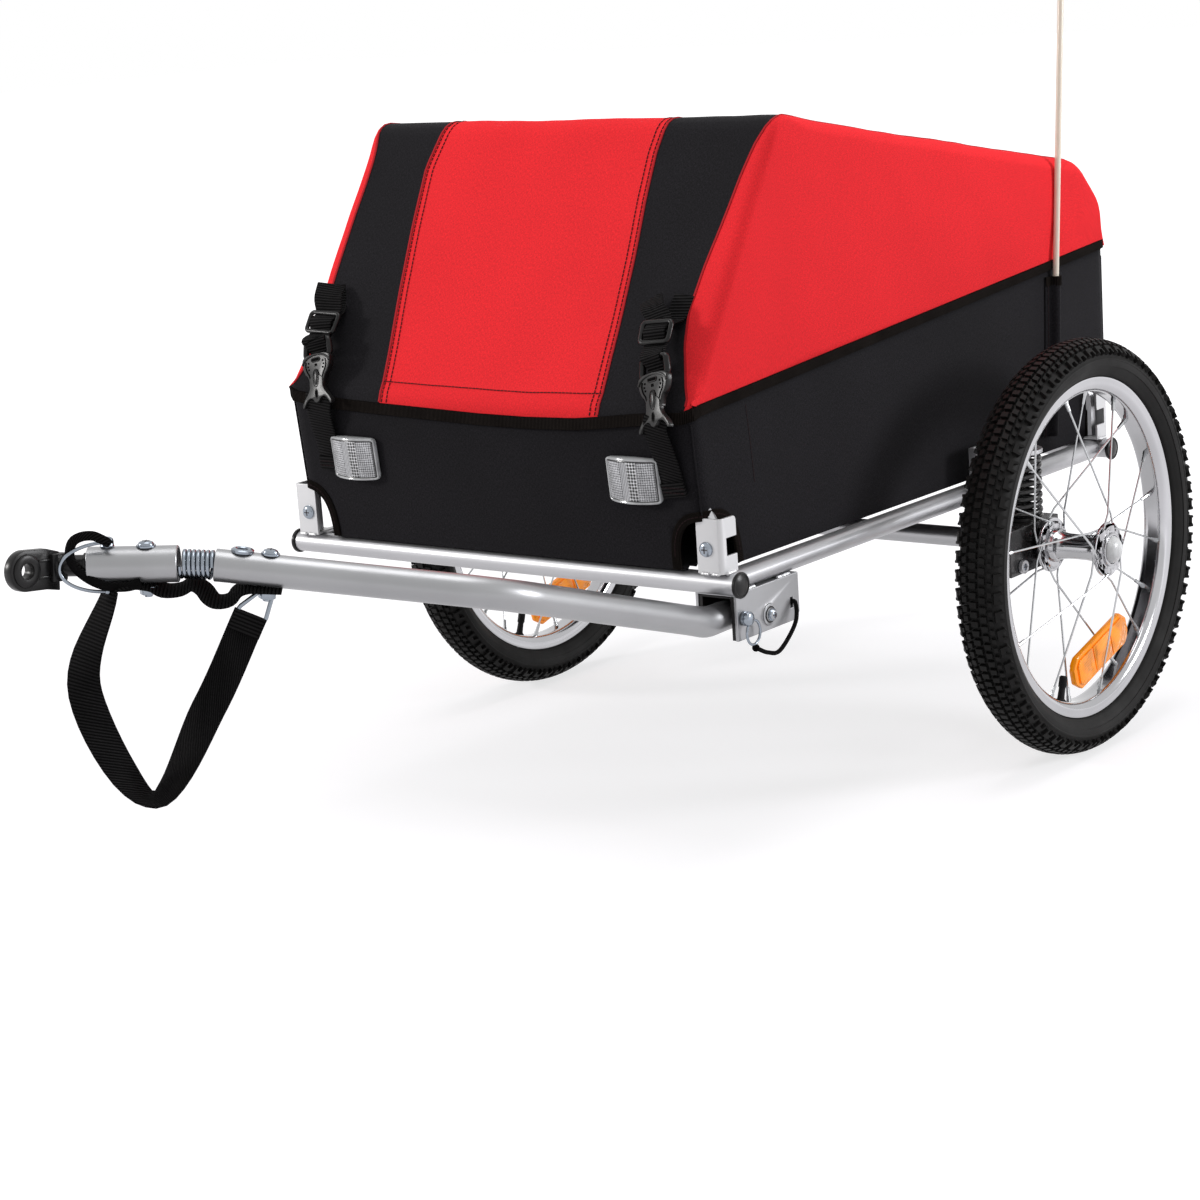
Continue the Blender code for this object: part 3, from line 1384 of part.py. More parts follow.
def bag_end(end, mat):
    """The leaning front wall or the upright rear one, between the side panels."""
    inward = 1 if end == "front" else -1
    top, foot = (BAG_FRONT, BAG_FRONT_FOOT) if end == "front" else (BAG_REAR, BAG_REAR)
    reach = BAG_HALF_WIDTH - BAG_WALL - SEAT
    high = wall_top(top) - SEAT
    depth = inward * BAG_WALL
    outline = [
        (-reach, foot, BAG_FLOOR),
        (-reach, foot + depth, BAG_FLOOR),
        (-reach, top + depth, high),
        (-reach, top, high),
    ]
    body = prism(f"bag_{end}_panel", outline, (2 * reach, 0, 0), mat)
    return cut(body, *corner_cuts(f"bag_{end}", ["left", "right"]))


def bag_floor(mat):
    reach = BAG_HALF_WIDTH - BAG_WALL - SEAT
    gap = BAG_WALL + SEAT
    body = box(
        "bag_floor",
        (-reach, BAG_FRONT_FOOT + gap, BAG_FLOOR),
        (reach, BAG_REAR - gap, BAG_FLOOR + FLOOR_THICK),
        mat,
    )
    return cut(body, *corner_cuts("bag_floor", ["left", "right"]))


def cover_profile(inset):
    """The cover's side outline in the YZ plane, drawn in by an inset, front hem first."""
    corners = [
        Vector((0, BAG_FRONT + inset, wall_top(BAG_FRONT) + SEAT)),
        Vector((0, RIDGE_Y + inset * 0.75, RIDGE_Z - inset * 1.05)),
        Vector((0, TOP_REAR_Y - inset * 0.3, TOP_REAR_Z - inset)),
        Vector((0, BAG_REAR - inset, BACK_Z - inset * 0.4)),
        Vector((0, BAG_REAR - inset, wall_top(BAG_REAR) + SEAT)),
    ]
    path = bent_path(corners, [0.022, 0.070, 0.028], steps=4)
    return [(p.y, p.z) for p in path]


def cover(mat):
    """Hooped fabric cover, open below: front slope, top, back and two sides in one shell."""
    outer = cover_profile(0.0)
    inner = cover_profile(COVER_WALL)
    x = BAG_HALF_WIDTH
    shell = prism("cover", [(-x, y, z) for y, z in outer], (2 * x, 0, 0), mat)
    low_front, low_rear = inner[0], inner[-1]
    lower = [(low_rear[0], low_rear[1] - 0.03), (low_front[0], low_front[1] - 0.03)]
    xi = x - COVER_WALL
    hollow = prism("cover_hollow", [(-xi, y, z) for y, z in inner + lower], (2 * xi, 0, 0))
    return cut(shell, hollow)


def front_block(name, x, below, out, width, mat=None, taper=0.0, drift=0.0):
    """A block on the front wall: spans are (from, to) below the top edge and out from the face."""
    outline = [
        front_wall(x - width / 2, below[0], out[0]),
        front_wall(x + width / 2, below[0], out[0]),
        front_wall(x + width / 2 - taper + drift, below[1], out[0]),
        front_wall(x - width / 2 + taper + drift, below[1], out[0]),
    ]
    reach = front_wall(0, 0, out[1]) - front_wall(0, 0, out[0])
    return prism(name, outline, reach, mat)


def lens(name, x, mat):
    """Front reflector: a barrel-curved lens on the bag's front wall."""
    steps = 8
    outline = []
    for i in range(steps + 1):
        t = i / steps * 2 - 1
        bulge = LENS_RIM + LENS_BULGE * (1 - t * t)
        outline.append(front_wall(x + t * FRONT_LENS_WIDTH / 2, FRONT_LENS_DROP, SEAT + bulge))
    outline.append(front_wall(x + FRONT_LENS_WIDTH / 2, FRONT_LENS_DROP, SEAT))
    outline.append(front_wall(x - FRONT_LENS_WIDTH / 2, FRONT_LENS_DROP, SEAT))
    down = front_wall(0, FRONT_LENS_HEIGHT, 0) - front_wall(0, 0, 0)
    return prism(name, outline, down, mat, smooth=True)


def buckle_socket(side, x, drift, lens_x, mat):
    """Lower half of the side-release buckle on its sewn strap, which ends behind the lens's edge."""
    flat = (SEAT, SEAT + STRAP_THICK)
    strap = front_block(
        f"{side}_buckle_socket", x, (0.022, 0.067), flat, BUCKLE_STRAP_WIDTH, mat, drift=drift
    )
    body = front_block(
        f"{side}_socket_body", x, (0.0015, 0.028), (0.0015, 0.0135), BUCKLE_WIDTH, taper=0.003
    )
    slot = front_block(
        f"{side}_socket_slot", x, (-0.003, 0.019), (0.0028, 0.0105), BUCKLE_WIDTH - 0.009
    )
    lens_span = (FRONT_LENS_DROP - SEAT, FRONT_LENS_DROP + FRONT_LENS_HEIGHT + SEAT)
    lens_room = front_block(
        f"{side}_lens_room", lens_x, lens_span, (-0.002, 0.010), FRONT_LENS_WIDTH + 2 * SEAT
    )
    return cut(join(strap, body), slot, lens_room)


def slope_block(name, x, along, out, width, mat=None):
    """A block on the cover's front slope: spans are (from, to) up the slope and out from its face."""
    front = cover_profile(0.0)
    hem, next_spot = Vector((x, *front[0])), Vector((x, *front[1]))
    up = (next_spot - hem).normalized()
    normal = Vector((0, -up.z, up.y))
    half = Vector((width / 2, 0, 0))
    low, high = hem + up * along[0] + normal * out[0], hem + up * along[1] + normal * out[0]
    outline = [low - half, low + half, high + half, high - half]
    return prism(name, outline, normal * (out[1] - out[0]), mat)


def buckle_plug(side, x, mat):
    """Upper half of the buckle, its tri-glide and the webbing sewn to the cover's front slope."""
    strap = slope_block(
        f"{side}_buckle_plug", x, (0.004, 0.109), (SEAT, SEAT + STRAP_THICK), BUCKLE_STRAP_WIDTH, mat
    )
    glide = slope_block(f"{side}_glide", x, (0.060, 0.086), (0.0008, 0.0068), BUCKLE_WIDTH + 0.001)
    body = slope_block(f"{side}_plug_body", x, (0.0045, 0.033), (0.0008, 0.0095), BUCKLE_WIDTH - 0.002)
    tongue = front_block(f"{side}_tongue", x, (-0.014, 0.013), (0.0038, 0.0080), BUCKLE_WIDTH - 0.011)
    return join(strap, glide, body, tongue)


# Flag pole
def pole_spot(length):
    lean = Vector((0, math.sin(POLE_LEAN), math.cos(POLE_LEAN)))
    x = BAG_HALF_WIDTH + SEAT + SLEEVE_WALL + SEAT + POLE_RADIUS
    return Vector((x, POLE_Y, BAG_FLOOR + POLE_FOOT_RISE)) + lean * length


def flag_pole(mat):
    return cylinder("flag_pole", pole_spot(0.0), pole_spot(POLE_LENGTH), POLE_RADIUS, 12, mat)


def pole_sleeve(mat):
    """Fabric pocket on the left wall that the pole stands in, closed at its foot."""
    outer = POLE_RADIUS + SEAT + SLEEVE_WALL
    body = cylinder("pole_sleeve", pole_spot(-SLEEVE_SOLE), pole_spot(SLEEVE_LENGTH), outer, 12, mat)
    bore_end = pole_spot(SLEEVE_LENGTH + 0.01)
    return cut(body, cylinder("sleeve_bore", pole_spot(-SEAT), bore_end, POLE_RADIUS + SEAT, 12))


# Joints
def joint_places():
    """Each joint: its name, the one that carries it, its place in the axle's frame and its pieces."""
    pin = COUPLER_END - COUPLER_HEADING * PIN_BACK
    flex = (ARM_FRONT + COUPLER_START) / 2
    arm = Vector((ARM_BEND_ONE.x, ARM_PIVOT_Y, ARM_PIVOT_Z))
    lock = Vector((CHANNEL_OUTSIDE, LOCK_PIN_Y, LOCK_PIN_Z))
    hinge = Vector((0, BAG_REAR, wall_top(BAG_REAR)))
    places = [
        ("tow_arm_fold", "trailer", arm, ["tow_arm", "arm_end_bolt", "safety_strap", "spring_tether"]),
        ("coupler_flex", "tow_arm_fold", flex, ["flex_spring", "coupler_tube", "hitch_eye"]),
        ("hitch_pin_turn", "coupler_flex", pin, ["hitch_pin", "hitch_pin_lock_wire"]),
        ("arm_lock_slide", "trailer", lock, ["arm_lock_pin"]),
        ("cover_lift", "trailer", hinge, ["cover", "left_buckle_plug", "right_buckle_plug"]),
    ]
    for side in ("left", "right"):
        sign = side_x(side)
        pivot = Vector((sign * CARRIER_OUTSIDE, CARRIER_PIVOT_Y, CARRIER_PIVOT_Z))
        wheel = Vector((sign * HALF_TRACK, 0, WHEEL_RADIUS))
        carried = [f"{side}_axle_carrier", f"{side}_axle"]
        turning = [f"{side}_{piece}" for piece in ("hub", "rim", "tyre", "wheel_reflector")]
        places.append((f"{side}_suspension", "trailer", pivot, carried))
        places.append((f"{side}_wheel_spin", f"{side}_suspension", wheel, turning))
    return places


def hang_everything():
    """Hangs each group on an empty on its joint's axis, and all of it on one over the trailer's middle."""
    front = EYE_CENTRE.y + EYE_RADIUS * EYE_HEADING.y
    trailer = add_object("trailer", None)
    trailer.location = (0, -(front + BAG_REAR) / 2, 0)
    carriers = {"trailer": (trailer, Vector())}
    for name, carrier, spot, pieces in joint_places():
        parent, parent_spot = carriers[carrier]
        joint = add_object(name, None)
        joint.parent = parent
        joint.location = spot - parent_spot
        carriers[name] = (joint, spot)
        for piece in pieces:
            thing = bpy.data.objects[piece]
            thing.parent = joint
            thing.location = -spot
    for thing in bpy.data.objects:
        if thing.parent is None and thing != trailer:
            thing.parent = trailer


def main():
    clear_scene()
    mats = make_materials()
    for side in ("left", "right"):
        tyre(side, mats["tyre"])
        rim(side, mats["chrome"])
        hub(side, mats["chrome"])
        spoke_lens(side, mats["amber"])
        axle(side, mats["zinc"])
        carrier(side, mats["black_steel"])
        spring_bracket(side, mats["silver"])
        suspension_spring(side, mats["black_steel"])
        side_rail(side, mats["silver"])
        side_hoop(side, mats["silver"])
        bag_side(side, mats["black_fabric"])
        for end in ("front", "rear"):
            corner_bracket(end, side, mats["silver"])
            rail_y = FRONT_RAIL_Y if end == "front" else REAR_RAIL_Y
            rail_plug(f"{end}_{side}_plug", side_x(side), rail_y, mats["black_plastic"])
    cross_rail("front_rail", FRONT_RAIL_Y, mats["silver"])
    cross_rail("rear_rail", REAR_RAIL_Y, mats["silver"])
    axle_beam(mats["silver"])
    profile = hoop_profile()
    cross_bar("ridge_bar", profile[2][0] + 0.008, profile[2][1] - 0.004, mats["silver"])
    cross_bar("rear_bar", profile[4][0], profile[4][1] - 0.02, mats["silver"])
    for end in ("front", "rear"):
        bag_end(end, mats["black_fabric"])
    bag_floor(mats["black_fabric"])
    cover(mats["red_fabric"])
    for side, lens_x, buckle_x, drift in (
        ("right", -RIGHT_LENS_X, -RIGHT_BUCKLE_X, 0.0),
        ("left", LEFT_LENS_X, LEFT_BUCKLE_X, LEFT_STRAP_DRIFT),
    ):
        lens(f"{side}_front_reflector", lens_x, mats["clear"])
        buckle_socket(side, buckle_x, drift, lens_x, mats["black_plastic"])
        buckle_plug(side, buckle_x, mats["black_plastic"])
    hitch_bracket(mats["arm"])
    hitch_liner(mats["black_plastic"])
    tow_arm(mats["arm"])
    arm_lock_pin(mats["zinc"])
    arm_end_bolt(mats["zinc"])
    flex_spring(mats["zinc"])
    coupler_tube(mats["arm"])
    hitch_eye(mats["black_plastic"])
    hitch_pin(mats["zinc"])
    lock_wire(mats["zinc"])
    safety_strap(mats["webbing"])
    spring_tether(mats["webbing"])
    lanyard(mats["webbing"])
    flag_pole(mats["pole"])
    pole_sleeve(mats["black_fabric"])
    hang_everything()


if __name__ == "__main__":
    main()
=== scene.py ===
"""The finish of a bike cargo trailer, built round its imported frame: woven bag and hooped cover with
their binding and stitching, treaded tyres, laced wheels, sprung carriers, folding tow arm, coupler,
webbing, buckles and lenses. Metres, +Z up, travel towards -Y, the trailer's left side at +X.
"""

import json
import math

import bmesh
import bpy
import numpy as np
from bmesh.types import BMEdge, BMFace, BMVert
from mathutils import Matrix, Vector, noise

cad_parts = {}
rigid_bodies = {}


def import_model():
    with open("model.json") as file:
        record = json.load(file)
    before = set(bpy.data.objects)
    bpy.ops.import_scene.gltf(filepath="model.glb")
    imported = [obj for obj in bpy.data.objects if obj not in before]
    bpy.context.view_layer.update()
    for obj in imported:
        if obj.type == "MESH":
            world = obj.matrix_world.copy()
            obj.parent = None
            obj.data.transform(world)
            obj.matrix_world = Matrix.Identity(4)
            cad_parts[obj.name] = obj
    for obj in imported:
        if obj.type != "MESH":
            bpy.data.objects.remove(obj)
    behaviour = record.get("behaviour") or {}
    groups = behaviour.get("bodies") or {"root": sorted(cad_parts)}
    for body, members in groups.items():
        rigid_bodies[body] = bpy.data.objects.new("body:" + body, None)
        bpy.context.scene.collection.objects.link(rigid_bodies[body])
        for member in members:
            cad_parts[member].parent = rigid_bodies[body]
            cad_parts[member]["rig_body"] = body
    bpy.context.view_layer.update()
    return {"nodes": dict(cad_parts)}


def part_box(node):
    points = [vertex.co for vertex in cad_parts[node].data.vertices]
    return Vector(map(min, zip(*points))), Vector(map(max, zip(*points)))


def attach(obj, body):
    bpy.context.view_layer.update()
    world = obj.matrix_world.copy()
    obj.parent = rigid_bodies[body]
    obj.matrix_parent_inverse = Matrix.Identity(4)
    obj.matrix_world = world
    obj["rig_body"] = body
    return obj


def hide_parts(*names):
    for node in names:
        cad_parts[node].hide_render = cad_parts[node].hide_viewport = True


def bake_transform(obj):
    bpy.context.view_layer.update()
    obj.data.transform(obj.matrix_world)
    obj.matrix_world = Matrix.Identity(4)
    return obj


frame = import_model()

bl_info = {
    "name": "Bike Trailer Finish",
    "version": (1, 0, 0),
    "blender": (4, 5, 0),
    "location": "3D View > Sidebar > Trailer",
    "description": "Builds the fabric, wheels, fittings and studio round the packed trailer frame",
    "category": "Add Mesh",
}

X, Y, Z = Vector((1, 0, 0)), Vector((0, 1, 0)), Vector((0, 0, 1))
SIDES = (("left", 1.0), ("right", -1.0))


# Places read from the frame
def middle(node):
    low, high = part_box(node)
    return (low + high) / 2


AXLE_Y, WHEEL_RADIUS = middle("left_tyre").y, middle("left_tyre").z
HALF_TRACK = middle("left_tyre").x
FRONT_Y, REAR_Y = middle("front_rail").y, middle("rear_rail").y
RAIL_Z, RAIL_RADIUS = middle("front_rail").z, 0.0095
RAIL_X = middle("left_side_rail").x
RAIL_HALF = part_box("front_rail")[1].x
BAG_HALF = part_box("bag_left_panel")[1].x
BAG_FRONT, BAG_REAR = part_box("bag_front_panel")[0].y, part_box("bag_rear_panel")[1].y
BAG_FOOT = BAG_FRONT + 0.013
FLOOR_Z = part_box("bag_floor")[0].z
FRONT_TOP, REAR_TOP = FLOOR_Z + 0.1328, FLOOR_Z + 0.1863
HEM_GAP = 0.0004
RIM_RADIUS, RIM_DEPTH = WHEEL_RADIUS - 0.0355, 0.014
RIDGE = Vector((0, FRONT_Y + 0.127, FLOOR_Z + 0.3653))
REAR_RIDGE_Z = FLOOR_Z + 0.2238
SLOPE_FOOT = Vector((0, BAG_FRONT, FRONT_TOP + HEM_GAP))
SLOPE_UP = (RIDGE - SLOPE_FOOT).normalized()
SLOPE_OUT = X.cross(SLOPE_UP)
WALL_DOWN = Vector((0, BAG_FOOT - BAG_FRONT, FLOOR_Z - FRONT_TOP)).normalized()
WALL_OUT = Vector((0, WALL_DOWN.z, -WALL_DOWN.y))


def on_slope(x, along, out):
    """A place on the cover's front slope: metres up from its hem and out from the cloth."""
    return SLOPE_FOOT + X * x + SLOPE_UP * along + SLOPE_OUT * out


def on_wall(x, below, out):
    """A place on the bag's front wall: metres down from its top and out from the cloth."""
    return Vector((x, BAG_FRONT, FRONT_TOP)) + WALL_DOWN * below + WALL_OUT * out


# Directions and paths
def basis(x, y, z, spot):
    """A matrix at a place, given the directions of its axes."""
    return Matrix.Translation(spot) @ Matrix((x, y, z)).transposed().to_4x4()


def turn_to(direction, near):
    """A turn that carries +Z to a direction, with +Y as near another as it can be."""
    z = Vector(direction).normalized()
    x = Vector(near).cross(z)
    x = x.normalized() if x.length > 1e-6 else z.orthogonal().normalized()
    return Matrix((x, z.cross(x), z)).transposed()


def facing(spot, axis):
    """A matrix at a place with its Z along an axis and its Y upright."""
    return Matrix.Translation(spot) @ turn_to(axis, Z).to_4x4()


def square_to(along, out):
    """The direction nearest out that stands square to a line."""
    return (out - along * out.dot(along)).normalized()


def heading(points, i):
    return (points[min(i + 1, len(points) - 1)] - points[max(i - 1, 0)]).normalized()


def shares(steps):
    """Even steps from 0 to 1, both included."""
    return [i / steps for i in range(steps + 1)]


def circle(radius, sides):
    turns = (math.tau * k / sides for k in range(sides))
    return [(radius * math.cos(a), radius * math.sin(a)) for a in turns]


def within(value):
    """A value held between 0 and 1."""
    return min(1.0, max(0.0, value))


def frames_along(points, normals=None):
    """A matrix at each point, its Z along the path; its Y near a given normal, or never twisting."""
    points = [Vector(p) for p in points]
    made, out = [], heading(points, 0).orthogonal()
    for i, point in enumerate(points):
        along = heading(points, i)
        out = square_to(along, out if normals is None else Vector(normals[i]))
        made.append(basis(out.cross(along), out, along, point))
    return made


def arc_points(corner, before, after, radius, steps):
    """Points round a corner of a path, on a circle that touches both runs."""
    a, b = (before - corner).normalized(), (after - corner).normalized()
    half = a.angle(b) / 2
    centre = corner + (a + b).normalized() * (radius / math.sin(half))
    first = corner + a * (radius / math.tan(half)) - centre
    last = corner + b * (radius / math.tan(half)) - centre
    turn, axis = first.angle(last), first.cross(last)
    return [centre + Matrix.Rotation(turn * share, 3, axis) @ first for share in shares(steps)]


def bent_path(corners, radii, steps):
    """An open path with each inner corner rounded to its own radius."""
    corners = [Vector(c) for c in corners]
    points = [corners[0]]
    for i, radius in enumerate(radii, start=1):
        points += arc_points(corners[i], corners[i - 1], corners[i + 1], radius, steps)
    return points + [corners[-1]]


def rounded_outline(corners, radius, steps=4):
    """A closed outline with every corner rounded."""
    points = []
    for i, corner in enumerate(corners):
        points += arc_points(corner, corners[i - 1], corners[(i + 1) % len(corners)], radius, steps)
    return points


def smooth_path(knots, count):
    """Points at even steps on a Catmull-Rom curve through the knots."""
    knots = [Vector(k) for k in knots]
    padded = [knots[0] * 2 - knots[1]] + knots + [knots[-1] * 2 - knots[-2]]
    spans = len(knots) - 1
    points = []
    for share in shares(count):
        t = min(share * spans, spans - 1e-9)
        k, f = int(t), t - int(t)
        a, b, c, d = padded[k : k + 4]
        bend = (2 * a - 5 * b + 4 * c - d) * f * f + (3 * b - a - 3 * c + d) * f**3
        points.append(0.5 * (2 * b + (c - a) * f + bend))
    return points


def evenly(points, spacing):
    """The same path with its points a spacing apart."""
    spots = np.array([tuple(p) for p in points])
    steps = np.linalg.norm(np.diff(spots, axis=0), axis=1)
    reach = np.concatenate([[0], np.cumsum(steps)])
    count = max(2, int(round(reach[-1] / spacing)) + 1)
    at = np.linspace(0, reach[-1], count)
    return [Vector([float(np.interp(t, reach, spots[:, k])) for k in range(3)]) for t in at]


def coil_points(start, end, radius, turns, near, per_turn, close, first=0.0, last=None):
    """Points on a coil from start to end; one turn at each end rises only as far as close says."""
    last = turns if last is None else last
    height, axes = (end - start).length, turn_to(end - start, near)
    points = []
    for share in shares(round((last - first) * per_turn)):
        turn = first + (last - first) * share
        rise = height * turn / turns
        if close:
            rise = np.interp(turn, (0, 1, turns - 1, turns), (0, close, height - close, height))
        angle = math.tau * turn
        around = Vector((radius * math.cos(angle), radius * math.sin(angle), rise))
        points.append(start + axes @ around)
    return points


def along_table(table, share):
    """A value between the rows of a table of (place, value)."""
    places, values = zip(*table)
    return float(np.interp(share, places, values))


def wobble(point, size, seed=0.0):
    """A smooth random number from -1 to 1 for a place, the same in each run."""
    spot = Vector(point) / size
    return noise.noise(Vector((spot.x + seed, spot.y - seed, spot.z + 0.37 * seed)))


# Shapes
def of_kind(items, kind):
    return [item for item in items if isinstance(item, kind)]


def cloth_map(bm):
    return bm.loops.layers.uv.get("cloth") or bm.loops.layers.uv.new("cloth")


def line_of(bm, verts, closed=True):
    """Edges from vertex to vertex, and back to the first if closed."""
    return [bm.edges.new(pair) for pair in zip(verts, verts[1:] + (verts[:1] if closed else []))]


def evened(bm):
    bmesh.ops.recalc_face_normals(bm, faces=bm.faces)
    return bm


def sealed(bm):
    """Joins the ends that meet."""
    bmesh.ops.remove_doubles(bm, verts=bm.verts, dist=1e-6)
    return evened(bm)


def face_out(bm, direction):
    """Turns a mesh over if its outermost face in a direction faces back."""
    outer = max(bm.faces, key=lambda face: face.calc_center_median().dot(direction))
    if outer.normal.dot(direction) < 0:
        bmesh.ops.reverse_faces(bm, faces=bm.faces)
    return bm


def absorb(bm, part, shade=0):
    """Adds a finished shape to a piece's mesh, all in one material slot."""
    cloth_map(bm)
    cloth_map(part)
    for face in part.faces:
        face.material_index = shade
    data = bpy.data.meshes.new("shape")
    part.to_mesh(data)
    part.free()
    bm.from_mesh(data)
    bpy.data.meshes.remove(data)
    return bm


def loft(bm, rows, closed=False, caps=False, shade=None):
    """Extrudes a line of points from row to row, with a cloth map in metres along and across."""
    cloth = cloth_map(bm)
    spots = np.array([[tuple(p) for p in row] for row in rows])
    if closed:
        spots = np.concatenate([spots, spots[:, :1]], axis=1)
    across = np.linalg.norm(np.diff(spots, axis=1), axis=2)
    along = np.linalg.norm(np.diff(spots, axis=0), axis=2)
    u = np.concatenate([np.zeros((len(rows), 1)), np.cumsum(across, axis=1)], axis=1)
    u -= u[:, -1:] / 2
    v = np.concatenate([np.zeros((1, spots.shape[1])), np.cumsum(along, axis=0)], axis=0)
    line = [bm.verts.new(p) for p in rows[0]]
    count = len(line)
    edges = line_of(bm, line, closed)
    first_edges, place = list(edges), {vert: (0, j) for j, vert in enumerate(line)}
    for i, row in enumerate(rows[1:], start=1):
        made = bmesh.ops.extrude_edge_only(bm, edges=edges)["geom"]
        fresh = set(of_kind(made, BMVert))
        line = [next(e.other_vert(old) for e in old.link_edges if e.other_vert(old) in fresh)
                for old in line]
        for j, (vert, spot) in enumerate(zip(line, row)):
            vert.co = spot
            place[vert] = (i, j)
        edges = [edge for edge in of_kind(made, BMEdge) if fresh.issuperset(edge.verts)]
        for face in of_kind(made, BMFace):
            corners = [place[loop.vert] for loop in face.loops]
            wraps = closed and {0, count - 1} <= {j for _, j in corners} and count > 2
            for loop, (a, b) in zip(face.loops, corners):
                b = count if wraps and b == 0 else b
                loop[cloth].uv = (u[a][b], v[a][b])
            if shade:
                face.material_index = shade(min(j for _, j in corners))
    for ends in (first_edges, edges) if caps else ():
        bmesh.ops.contextual_create(bm, geom=ends)
    return bm


def sweep(bm, section, places, shade=0):
    """Carries a closed flat section along matrices and caps its ends."""
    rows = [[place @ Vector((x, y, 0)) for x, y in section] for place in places]
    return absorb(bm, evened(loft(bmesh.new(), rows, True, True)), shade)


def tube(bm, points, radius, sides, shade=0):
    return sweep(bm, circle(radius, sides), frames_along(points), shade)


def ring_of(bm, points, out, section, shade=0):
    """Carries a section round a closed path, its Y kept towards a direction."""
    rows = []
    for i, point in enumerate(points):
        along = (points[(i + 1) % len(points)] - points[i - 1]).normalized()
        rise = square_to(along, out)
        place = basis(rise.cross(along), rise, along, point)
        rows.append([place @ Vector((x, y, 0)) for x, y in section])
    return absorb(bm, sealed(loft(bmesh.new(), rows + rows[:1], True)), shade)


def strap_section(width, thick):
    """A webbing section: flat with rounded edges."""
    a, b = width / 2, thick / 2
    half = [(a - b, -b), (a - b * 0.3, -b * 0.7), (a, 0), (a - b * 0.3, b * 0.7), (a - b, b)]
    return half + [(-x, -y) for x, y in half]


def webbing(bm, path, outs, width, thick):
    """A strap along a path, its flat turned to a direction at each place or to one for all."""
    outs = [outs] * len(path) if isinstance(outs, Vector) else outs
    return sweep(bm, strap_section(width, thick), frames_along(path, outs))


def turned(bm, profile, origin, axis, steps, shade=0):
    """Spins (along the axis, radius) points round it; a closed loop unless it meets the axis."""
    origin, axis = Vector(origin), Vector(axis).normalized()
    out = axis.orthogonal().normalized()
    part = bmesh.new()
    points = [part.verts.new(origin + axis * a + out * r) for a, r in profile]
    edges = line_of(part, points, max(profile[0][1], profile[-1][1]) > 1e-6)
    bmesh.ops.spin(part, geom=points + edges, cent=origin, axis=axis, angle=math.tau, steps=steps,
                   use_merge=True)
    return absorb(bm, sealed(part), shade)


def mirrored_profile(half):
    """A profile that starts on the middle plane, with its mirror image before it."""
    return [(-a, r) for a, r in reversed(half)] + half[1:]


def washer(bm, spot, axis, radius, height):
    turned(bm, [(0, 0), (0, radius), (height, radius), (height, 0)], spot, axis, 24)


def rounded(part, width, segments=2, angle=30):
    """Rounds the edges of a shape that turn more than an angle."""
    limit = math.radians(angle)
    sharp = [e for e in part.edges if len(e.link_faces) == 2 and e.calc_face_angle(0) > limit]
    bmesh.ops.bevel(part, geom=sharp, offset=width, affect="EDGES", segments=segments, profile=0.5,
                    material=-1, clamp_overlap=True)
    return part


def block(bm, place, size, edge=0.0005, shade=0):
    """A box of a size round a place, with rounded edges."""
    part = bmesh.new()
    bmesh.ops.create_cube(part, size=1.0, matrix=place @ Matrix.Diagonal((*size, 1)))
    return absorb(bm, rounded(part, edge) if edge else part, shade)


def thickened(part, faces, vector):
    """Extrudes flat faces into a solid."""
    made = bmesh.ops.extrude_face_region(part, geom=faces)["geom"]
    bmesh.ops.translate(part, verts=of_kind(made, BMVert), vec=vector)
    return evened(part)


def slab(bm, outline, vector, edge, segments=2, holes=()):
    """Extrudes a flat outline, with round holes given as (centre, radius), and rounds its edges."""
    part, vector = bmesh.new(), Vector(vector)
    rim = [part.verts.new(p) for p in outline]
    edges = line_of(part, rim)
    for centre, radius in holes:
        made = bmesh.ops.create_circle(part, segments=24, radius=radius, matrix=facing(centre, vector))
        edges += list({e for v in made["verts"] for e in v.link_edges})
    if holes:
        made = bmesh.ops.triangle_fill(part, edges=edges, use_beauty=True, use_dissolve=False)
        faces = of_kind(made["geom"], BMFace)
    else:
        faces = [part.faces.new(rim)]
    return absorb(bm, rounded(thickened(part, faces, vector), edge, segments))


def rod(bm, start, end, radius, sides, edge=0.0, radius_end=None):
    part = bmesh.new()
    bmesh.ops.create_cone(
        part, cap_ends=True, segments=sides, radius1=radius,
        radius2=radius if radius_end is None else radius_end, depth=(end - start).length,
        matrix=facing((start + end) / 2, end - start),
    )
    return absorb(bm, rounded(part, edge) if edge else part)


def cross_head(bm, place, radius, height, shade=0, dark=1):
    """A pan-head screw with a cross recess, its head towards the place's +Z; the recess is two raised bars in
    a painted shade.
    """
    dome = ((0.0, 0.0), (0.0, 1.0), (0.35, 1.0), (0.75, 0.86), (1.0, 0.52), (1.06, 0.0))
    turned(bm, [(height * a, radius * r) for a, r in dome], place.translation, place.to_3x3() @ Z, 28, shade)
    for turn in (0, math.pi / 2):
        spin = place @ Matrix.Translation((0, 0, height * 0.99)) @ Matrix.Rotation(turn, 4, "Z")
        block(bm, spin, (radius * 0.95, radius * 0.2, height * 0.22), 0, dark)


def hex_nut(bm, spot, axis, radius, height):
    """A nut on its washer, with the end of its bolt."""
    rod(bm, spot, spot + axis * height, radius, 6, radius * 0.09)
    washer(bm, spot, axis, radius * 1.12, height * 0.15)
    rod(bm, spot + axis * height, spot + axis * height * 1.3, radius * 0.46, 16, 0.0003)


def weld_bead(bm, start, end, radius):
    """A rippled weld between two points."""
    start, end = Vector(start), Vector(end)
    count = max(4, int((end - start).length / 0.0009))
    places = []
    for i, place in enumerate(frames_along([start.lerp(end, share) for share in shares(count)])):
        size = (0.35 if i in (0, count) else 1.0) * (1 + 0.16 * math.sin(i * 2.1))
        size *= 1 + 0.15 * wobble(place.translation, 0.004)
        places.append(place @ Matrix.Diagonal((size, size, 1, 1)))
    return sweep(bm, circle(radius, 8), places)


